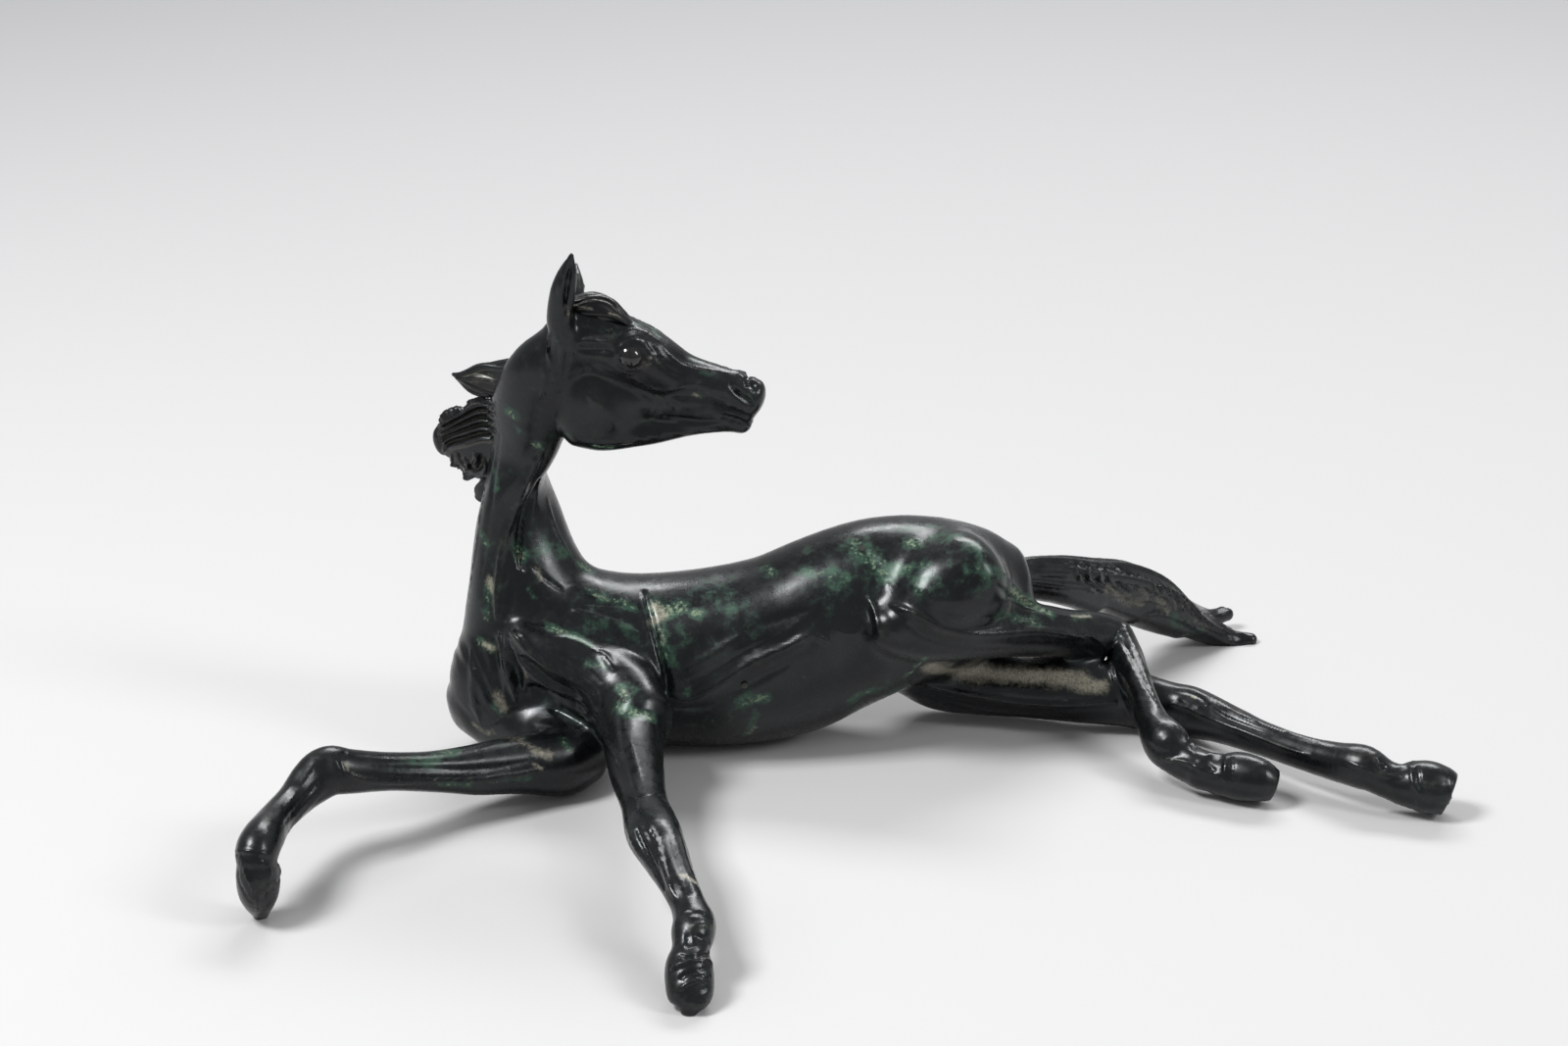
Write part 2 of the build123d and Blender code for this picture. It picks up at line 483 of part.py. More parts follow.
neck_sleeve = sleeve(neck_seam, neck_way, NECK_SLEEVE_R, NECK_SLEEVE_BORE_R, NECK_SLEEVE_LENGTH)
neck_seat = rod(neck_seam, neck_way, NECK_SLEEVE_R + FIT, NECK_SLEEVE_LENGTH / 2 + FIT, NECK_SLEEVE_LENGTH / 2 + FIT)
head_sleeve = sleeve(poll_seam, poll_way, HEAD_SLEEVE_R, HEAD_SLEEVE_BORE_R, HEAD_SLEEVE_LENGTH)
head_seat = rod(poll_seam, poll_way, HEAD_SLEEVE_R + FIT, HEAD_SLEEVE_LENGTH / 2 + FIT, HEAD_SLEEVE_LENGTH / 2 + FIT)
trunk_casting = solid_of(trunk_casting - neck_seat)
neck_casting = solid_of(solid_of(neck_casting - neck_seat) - head_seat)
head_casting = solid_of(head_casting - head_seat)

# ------------------------------------------------------------ leg spigots and sockets
def spigot(centre, way, radius, inside, outside):
    return rod(centre, way, radius, inside, outside)


hind_leg_right = solid_of(hind_leg_right - hind_leg_left)      # the upper leg lies in a seat on the lower one
joints = {"foreleg_right": (rf_c, rf_w), "foreleg_left": (lf_c, lf_w), "hind_leg_left": (lh_c, lh_w), "hind_leg_right": (rh_c, rh_w)}
legs = {"foreleg_right": foreleg_right, "foreleg_left": foreleg_left, "hind_leg_left": hind_leg_left, "hind_leg_right": hind_leg_right}
pins = []
for name, (c, w) in joints.items():
    legs[name] = fuse(legs[name], spigot(c, w, LEG_SPIGOT_R, LEG_SPIGOT_IN, LEG_SPIGOT_OUT))
    trunk_casting = trunk_casting - rod(c, w, LEG_SPIGOT_R + FIT, LEG_SPIGOT_IN + FIT, 0.0)

# ------------------------------------------------------------ tail
tail_rows = SECTIONS["tail"]
tail_way = tangent(tail_rows, 1)
tail_root = tuple(tail_rows[1][:3])
tail_casting = solid_of(fuse(body("tail"), body("tail_tip")) - trunk_outer - GROUND)
tail_casting = fuse(tail_casting, rod(tail_root, tail_way, TAIL_SPIGOT_R, TAIL_SPIGOT_IN, 6.0))
trunk_casting = solid_of(trunk_casting - rod(tail_root, tail_way, TAIL_SPIGOT_R + FIT, TAIL_SPIGOT_IN + FIT, 0.0))
tail_casting = solid_of(tail_casting)

# ------------------------------------------------------------ ears, eyes, hair
def planted(shape, host_outer, foot, way, inside=4.0, outside=3.0):
    """(piece with a tenon, hole to cut in the host)"""
    piece = solid_of(shape - host_outer)
    piece = fuse(piece, rod(foot, way, TENON_R, inside, outside))
    return piece, rod(foot, way, TENON_R + FIT, inside + FIT, outside + FIT)


def cupped_ear(name, opening):
    rows = SECTIONS[name]
    hollow = SECTIONS[name + "_hollow"] = [[r[0] + opening[0] * r[3] * 0.95, r[1] + opening[1] * r[3] * 0.95, r[2] + opening[2] * r[3] * 0.95, r[3] * 0.72, r[4] * 0.72, r[5] * 0.66, r[6] * 0.66] + list(r[7:10]) for r in rows[1:4]]
    ENDS[name + "_hollow"] = (3.0, 6.0)
    return solid_of(body(name) - body(name + "_hollow"))


skin = upper_outer
ear_r_rows, ear_l_rows = SECTIONS["ear_near"], SECTIONS["ear_far"]
ear_right, hole = planted(cupped_ear("ear_near", (0.958, -0.287, 0.0)), skin, tuple(ear_r_rows[0][:3]), tangent(ear_r_rows, 0), 3.5, 5.0)
head_casting = head_casting - hole
ear_left, hole = planted(cupped_ear("ear_far", (0.93, 0.31, 0.2)), skin, tuple(ear_l_rows[0][:3]), tangent(ear_l_rows, 0), 3.5, 6.0)
head_casting = head_casting - hole
eye_right, eye_left = egg("eye_near"), egg("eye_far")
head_casting = head_casting - eye_right - eye_left
forelock, hole = planted(body("forelock"), skin, (-73.71, -15.00, 191.89), (0, 0, 1), 3.0, 2.0)
forelock = solid_of(forelock - ear_right - ear_left)
head_casting = solid_of(head_casting - hole)

whole_outer = neck_high + neck_low
mane_upper_tuft, hole = planted(body("mane_tuft"), upper_outer, (-109.24, 2.00, 159.15), (-1, 0.25, 0), 3.0, 4.0)
neck_casting = neck_casting - hole
mane_main_lock, hole = planted(body("mane_main"), upper_outer, (-114.18, 3.00, 132.37), (-1, 0.25, 0), 3.0, 4.0)
neck_casting = neck_casting - hole
mane_lower_lock, hole = planted(body("mane_low"), upper_outer, (-118.61, 5.00, 113.32), (-1, 0.25, 0), 3.0, 3.0)
mane_lower_lock = solid_of(mane_lower_lock - mane_main_lock)
neck_casting = solid_of(neck_casting - hole)

# ------------------------------------------------------------ belly plug, flank patch
PLUG_AT = (-26.57, 2.0, 0.0)
belly_plug = Pos(*PLUG_AT) * Cylinder(PLUG_R, PLUG_HEIGHT, align=(Align.CENTER, Align.CENTER, Align.MIN))
belly_plug = solid_of(belly_plug - Pos(*PLUG_AT) * Box(PLUG_SLOT[0], PLUG_SLOT[1], 2 * PLUG_SLOT[2]))
trunk_casting = solid_of(trunk_casting - Pos(*PLUG_AT) * Cylinder(PLUG_R + 0.02, 2 * PLUG_HEIGHT + 20))

PATCH_AT = (-11.60, -28.00, 26.60)
patch_tool = Plane(origin=PATCH_AT, x_dir=(1, 0, 0), z_dir=(0, -1, -0.35)) * Box(PATCH[0], PATCH[1], 24.0)
belly_patch = solid_of(solid_of(trunk_casting) & patch_tool)
trunk_casting = solid_of(trunk_casting - patch_tool)

# ------------------------------------------------------------ pins and core plugs
def flush(tool, outer):
    """A rod filed flush with the skin it goes through."""
    return solid_of(tool & outer)


def across(way):
    """Direction square to a leg's axis, level with the ground as far as it can be."""
    v = cross(way, (0, 0, 1))
    return unit(v)


pin_tools = []
joint_pins = []
for name, (c, w) in joints.items():
    tool = rod(add(c, w, -LEG_SPIGOT_IN * 0.5), across(w), PIN_R, PIN_LENGTH / 2, PIN_LENGTH / 2)
    joint_pins.append(flush(tool, trunk_outer))
    legs[name] = solid_of(legs[name] - tool)
    trunk_casting = trunk_casting - tool
tool = rod(add(tail_root, tail_way, -TAIL_SPIGOT_IN * 0.55), (0, 0, 1), PIN_R, 6.0, 30.0)
joint_pins.append(flush(tool, trunk_outer))
tail_casting = solid_of(tail_casting - tool)
trunk_casting = trunk_casting - tool
trunk_casting = solid_of(trunk_casting)
for seam, way, sleeve_r in ((neck_seam, neck_way, "neck"), (poll_seam, poll_way, "head")):
    side = unit(cross(way, (0, 1, 0)))
    for off in (-1, 1):
        c = add(seam, way, off * 4.0)
        tool = rod(c, (0, -1, 0), PIN_R, 0.0, PIN_LENGTH / 2) - rod(seam, way, 1.0, 1, 1)
        if sleeve_r == "neck":
            tool = rod(c, (0, -1, 0), PIN_R, 0.0, PIN_LENGTH) - rod(seam, way, NECK_SLEEVE_BORE_R, 20, 20)
            tool = solid_of(tool)
            joint_pins.append(flush(tool, fuse(neck_high, neck_low)))
            neck_sleeve = neck_sleeve - tool
            neck_casting = neck_casting - tool
            trunk_casting = trunk_casting - tool
        else:
            tool = rod(c, (0, -1, 0), PIN_R, 0.0, PIN_LENGTH) - rod(seam, way, HEAD_SLEEVE_BORE_R, 20, 20)
            tool = solid_of(tool)
            joint_pins.append(flush(tool, upper_outer))
            head_sleeve = head_sleeve - tool
            neck_casting = neck_casting - tool
            head_casting = head_casting - tool
trunk_casting, neck_casting, head_casting = solid_of(trunk_casting), solid_of(neck_casting), solid_of(head_casting)
neck_sleeve, head_sleeve = solid_of(neck_sleeve), solid_of(head_sleeve)

core_pin_plugs = []
for at, way in [((-35.39, -33.00, 70.28), (0, -1, 0.35)), ((-43.60, -20.00, 76.25), (0, -0.5, 0.8)), ((31.72, -12.00, 95.25), (0, -0.5, 0.8)), ((-15.88, -33.00, 38.64), (0, -1, -0.1)), ((0.00, 30.00, 54.80), (0, 1, 0.5))]:
    tool = rod(at, way, CORE_PIN_R, 14.0, 14.0)
    plug = solid_of(trunk_casting & tool)
    core_pin_plugs.append(plug)
    trunk_casting = solid_of(trunk_casting - tool)

# ------------------------------------------------------------ the set
nodes = {
    "trunk_casting": [trunk_casting],
    "neck_casting": [neck_casting],
    "head_casting": [head_casting],
    "ear_right": [ear_right],
    "ear_left": [ear_left],
    "eye_right": [eye_right],
    "eye_left": [eye_left],
    "forelock": [forelock],
    "mane_upper_tuft": [mane_upper_tuft],
    "mane_main_lock": [mane_main_lock],
    "mane_lower_lock": [mane_lower_lock],
    "tail_casting": [tail_casting],
    "foreleg_right": [legs["foreleg_right"]],
    "foreleg_left": [legs["foreleg_left"]],
    "hind_leg_left": [legs["hind_leg_left"]],
    "hind_leg_right": [legs["hind_leg_right"]],
    "neck_sleeve": [neck_sleeve],
    "head_sleeve": [head_sleeve],
    "joint_pins": joint_pins,
    "core_pin_plugs": core_pin_plugs,
    "belly_plug": [belly_plug],
    "belly_patch": [belly_patch],
}

os.makedirs("parts", exist_ok=True)
low, high = [1e9] * 3, [-1e9] * 3
for name, solids in nodes.items():
    shape = Compound(children=[Pos(*SHIFT) * s for s in solids]) if len(solids) > 1 else Pos(*SHIFT) * solids[0]
    b = shape.bounding_box()
    low = [min(u, v) for u, v in zip(low, (b.min.X, b.min.Y, b.min.Z))]
    high = [max(u, v) for u, v in zip(high, (b.max.X, b.max.Y, b.max.Z))]
    report(name, shape)
    export_step(shape, "parts/" + name + ".step")
print("box", [round(v, 2) for v in low], [round(v, 2) for v in high])
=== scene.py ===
"""Reclining foal, cast bronze, with its stand-alone floor, light and camera. Lengths in the tables below are millimetres."""
import math
import bpy
import numpy as np
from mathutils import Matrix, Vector


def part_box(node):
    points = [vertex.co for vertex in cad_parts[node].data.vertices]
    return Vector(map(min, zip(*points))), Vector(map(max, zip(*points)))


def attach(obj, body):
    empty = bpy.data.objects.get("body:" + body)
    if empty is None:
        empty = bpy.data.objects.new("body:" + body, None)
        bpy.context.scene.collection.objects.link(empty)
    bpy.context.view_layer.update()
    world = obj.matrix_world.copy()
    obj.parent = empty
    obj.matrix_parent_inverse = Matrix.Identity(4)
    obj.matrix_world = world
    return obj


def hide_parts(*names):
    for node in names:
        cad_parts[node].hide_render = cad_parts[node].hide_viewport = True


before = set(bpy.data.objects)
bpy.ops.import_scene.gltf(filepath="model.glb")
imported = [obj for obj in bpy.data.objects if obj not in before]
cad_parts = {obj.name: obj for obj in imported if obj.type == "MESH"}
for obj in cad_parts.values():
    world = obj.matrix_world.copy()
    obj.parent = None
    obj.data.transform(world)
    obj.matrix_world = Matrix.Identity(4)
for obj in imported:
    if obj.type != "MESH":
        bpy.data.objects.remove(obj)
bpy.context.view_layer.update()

# ------------------------------------------------------------------ implicit sculpting kit (numpy)


def _n(v):
    v = np.asarray(v, float)
    return v / max(np.linalg.norm(v), 1e-12)


def _resample(rows, per=6):
    """Catmull-Rom through rows of numbers; returns many rows."""
    a = np.asarray(rows, float)
    if len(a) < 3:
        t = np.linspace(0, 1, per + 1)[:, None]
        return a[0] * (1 - t) + a[-1] * t
    p = np.vstack([2 * a[0] - a[1], a, 2 * a[-1] - a[-2]])
    out = []
    for i in range(1, len(p) - 2):
        p0, p1, p2, p3 = p[i - 1], p[i], p[i + 1], p[i + 2]
        for t in np.linspace(0, 1, per, endpoint=False):
            out.append(0.5 * (2 * p1 + (p2 - p0) * t + (2 * p0 - 5 * p1 + 4 * p2 - p3) * t * t + (3 * p1 - p0 - 3 * p2 + p3) * t ** 3))
    out.append(p[-2])
    return np.array(out)


class Tube:
    """Curved body along sections (x, y, z, up, down, left, right radii, nx, ny, nz); n is the way 'up' points."""

    def __init__(self, rows, caps=(None, None), per=5, power=2.0):
        r = _resample(rows, per)
        r[:, 3:7] = np.maximum(r[:, 3:7], 0.15)
        self.c, self.r = r[:, :3], r[:, 3:7]
        t = np.gradient(self.c, axis=0)
        t /= np.linalg.norm(t, axis=1)[:, None]
        n = r[:, 7:10] - (r[:, 7:10] * t).sum(1)[:, None] * t
        n /= np.linalg.norm(n, axis=1)[:, None]
        self.t, self.n, self.b = t, n, np.cross(t, n)
        m = self.r.mean(1)
        self.cap = (caps[0] if caps[0] else m[0], caps[1] if caps[1] else m[-1])
        big = self.r.max(1)
        e = max(self.cap)
        self.lo = (self.c - np.maximum(big, e)[:, None]).min(0)
        self.hi = (self.c + np.maximum(big, e)[:, None]).max(0)
        self.power = power

    def frame(self, p):
        best = np.full(len(p), 1e30)
        seg = np.zeros(len(p), int)
        par = np.zeros(len(p))
        for i in range(len(self.c) - 1):
            a, d = self.c[i], self.c[i + 1] - self.c[i]
            L = d @ d
            q = p - a
            s = q @ d / L
            sc = np.clip(s, 0, 1)
            dd = ((q - sc[:, None] * d) ** 2).sum(1)
            k = dd < best
            best[k], seg[k], par[k] = dd[k], i, sc[k]
        return seg, par

    def __call__(self, p):
        seg, par = self.frame(p)
        w = par[:, None]
        mix = lambda a: a[seg] * (1 - w) + a[seg + 1] * w
        c, n, b, t, r = mix(self.c), mix(self.n), mix(self.b), mix(self.t), mix(self.r)
        q = p - c
        qn, qb, qt = (q * n).sum(1), (q * b).sum(1), (q * t).sum(1)
        rn = np.where(qn > 0, r[:, 0], r[:, 1])
        rb = np.where(qb > 0, r[:, 2], r[:, 3])
        end = ((seg == 0) & (par <= 0)) | ((seg == len(self.c) - 2) & (par >= 1))
        rt = np.where(seg == 0, self.cap[0], self.cap[1])
        x, y, z = qn / rn, qb / rb, np.where(end, qt / rt, 0)
        k0 = np.sqrt(x * x + y * y + z * z)
        k1 = np.sqrt((x / rn) ** 2 + (y / rb) ** 2 + (z / rt) ** 2)
        if self.power != 2.0:
            m = self.power
            k0 = (np.abs(x) ** m + np.abs(y) ** m + np.abs(z) ** m) ** (1 / m)
            k1 = k0 / np.maximum(np.minimum(rn, rb), 0.2)
            return (k0 - 1) * np.minimum(rn, rb)
        return np.where(k1 > 1e-9, k0 * (k0 - 1) / np.maximum(k1, 1e-9), -np.minimum(rn, rb))


class Ball:
    """Ellipsoid: centre, three radii, and the axes of the first two."""

    def __init__(self, c, r, x=(1, 0, 0), y=(0, 1, 0)):
        self.c, self.rr = np.array(c, float), np.array(r, float)
        x = _n(x)
        y = np.array(y, float)
        y = _n(y - (y @ x) * x)
        self.m = np.array([x, y, np.cross(x, y)])
        e = np.abs(self.m.T) @ self.rr
        self.lo, self.hi = self.c - e, self.c + e

    def __call__(self, p):
        q = (p - self.c) @ self.m.T
        k0 = np.sqrt(((q / self.rr) ** 2).sum(1))
        k1 = np.sqrt(((q / self.rr ** 2) ** 2).sum(1))
        return np.where(k1 > 1e-9, k0 * (k0 - 1) / np.maximum(k1, 1e-9), -self.rr.min())


class Line:
    """Round stroke through (x, y, z, radius) rows."""

    def __init__(self, rows, per=4):
        r = _resample(rows, per)
        self.c, self.r = r[:, :3], np.maximum(r[:, 3], 0.02)
        self.lo = (self.c - self.r[:, None]).min(0)
        self.hi = (self.c + self.r[:, None]).max(0)

    def __call__(self, p):
        out = np.full(len(p), 1e3)
        for i in range(len(self.c) - 1):
            a, d = self.c[i], self.c[i + 1] - self.c[i]
            q = p - a
            s = np.clip(q @ d / (d @ d + 1e-9), 0, 1)
            dist = np.sqrt(((q - s[:, None] * d) ** 2).sum(1)) - (self.r[i] * (1 - s) + self.r[i + 1] * s)
            out = np.minimum(out, dist)
        return out


class Half:
    """Everything behind a plane."""

    def __init__(self, point, normal):
        self.p, self.nn = np.array(point, float), _n(normal)
        self.lo, self.hi = np.full(3, -1e4), np.full(3, 1e4)

    def __call__(self, p):
        return (p - self.p) @ self.nn


def smin(a, b, k):
    if k <= 0:
        return np.minimum(a, b)
    h = np.maximum(k - np.abs(a - b), 0) / k
    return np.minimum(a, b) - h * h * h * k / 6


class Sculpt:
    def __init__(self):
        self.ops = []

    def add(self, shape, k=0.0):
        self.ops.append(("add", shape, k))
        return self

    def cut(self, shape, k=0.0):
        self.ops.append(("cut", shape, k))
        return self

    def __call__(self, p, far=14.0):
        d = np.full(len(p), far)
        for op, s, k in self.ops:
            pad = k + (far if op == "add" else 0.5)
            m = np.all((p > s.lo - pad) & (p < s.hi + pad), axis=1)
            if not m.any():
                continue
            v = s(p[m])
            if op == "add":
                d[m] = smin(d[m], v, k)
            else:
                d[m] = -smin(-d[m], v, k)
        return d


def polygonise(f, lo, hi, h, levels=4, margin=2.2, chunk=400000):
    """Surface nets on a narrow band. Returns vertices and quads."""
    H = h * 2 ** (levels - 1)
    n0 = np.ceil((np.array(hi) - np.array(lo)) / H).astype(int) + 1
    base = np.array(lo, float)
    g = np.stack(np.meshgrid(*[np.arange(k) for k in n0], indexing="ij"), -1).reshape(-1, 3)
    size = H
    for lv in range(levels):
        d = np.empty(len(g))
        for s in range(0, len(g), chunk):
            d[s:s + chunk] = f(base + (g[s:s + chunk] + 0.5) * size, far=size * 1.4 + margin)
        g = g[np.abs(d) < size * 0.9 + (margin if lv < levels - 1 else 0.8 * h)]
        if lv < levels - 1:
            off = np.array([[i, j, k] for i in (0, 1) for j in (0, 1) for k in (0, 1)])
            g = (g[:, None] * 2 + off).reshape(-1, 3)
            size /= 2
    # cells g of size h
    off = np.array([[i, j, k] for i in (0, 1) for j in (0, 1) for k in (0, 1)])
    corner = (g[:, None] + off).reshape(-1, 3)
    B = 1 << 20
    key = lambda a: (a[:, 0].astype(np.int64) * B + a[:, 1]) * B + a[:, 2]
    ck = key(corner)
    uk, first, inv = np.unique(ck, return_index=True, return_inverse=True)
    cp = base + corner[first] * h
    cv = np.empty(len(cp))
    for s in range(0, len(cp), chunk):
        cv[s:s + chunk] = f(cp[s:s + chunk], far=4 * h + margin)
    val = cv[inv].reshape(-1, 8)
    inside = val < 0
    mixed = inside.any(1) & ~inside.all(1)
    g, val = g[mixed], val[mixed]
    edges = [(a, b) for a in range(8) for b in range(a + 1, 8) if bin(a ^ b).count("1") == 1]
    acc = np.zeros((len(g), 3))
    cnt = np.zeros(len(g))
    offs = off.astype(float)
    for a, b in edges:
        va, vb = val[:, a], val[:, b]
        m = (va < 0) != (vb < 0)
        t = np.where(m, va / np.where(m, va - vb, 1), 0)
        acc += m[:, None] * (offs[a] + (offs[b] - offs[a]) * t[:, None])
        cnt += m
    v = base + (g + acc / cnt[:, None]) * h
    gk = key(g)
    order = np.argsort(gk)
    sk = gk[order]
    quads = []
    # for each cell, edges from its low corner (index 0) along each axis
    ax_corner = {0: 4, 1: 2, 2: 1}
    for ax in range(3):
        a, b = val[:, 0], val[:, ax_corner[ax]]
        m = (a < 0) != (b < 0)
        gg = g[m]
        o1, o2 = np.eye(3, dtype=int)[(ax + 1) % 3], np.eye(3, dtype=int)[(ax + 2) % 3]
        ids = []
        ok = np.ones(len(gg), bool)
        for o in (0 * o1, -o1, -o1 - o2, -o2):
            kk = key(gg + o)
            pos = np.clip(np.searchsorted(sk, kk), 0, len(sk) - 1)
            ok &= sk[pos] == kk
            ids.append(order[pos])
        q = np.stack(ids, 1)[ok]
        flip = (a[m] < 0)[ok]
        q[~flip] = q[~flip][:, ::-1]
        quads.append(q)
    return v, np.vstack(quads)


def project(f, v, steps=2, e=0.05, limit=0.6, chunk=300000):
    v = v.copy()
    for _ in range(steps):
        for s in range(0, len(v), chunk):
            p = v[s:s + chunk]
            d = f(p, far=5.0)
            gr = np.stack([f(p + np.eye(3)[i] * e, far=5.0) - f(p - np.eye(3)[i] * e, far=5.0) for i in range(3)], 1) / (2 * e)
            g2 = np.maximum((gr ** 2).sum(1), 0.05)
            step = -(d / g2)[:, None] * gr
            L = np.linalg.norm(step, axis=1)
            step *= np.minimum(1, limit / np.maximum(L, 1e-9))[:, None]
            v[s:s + chunk] = p + step
    return v


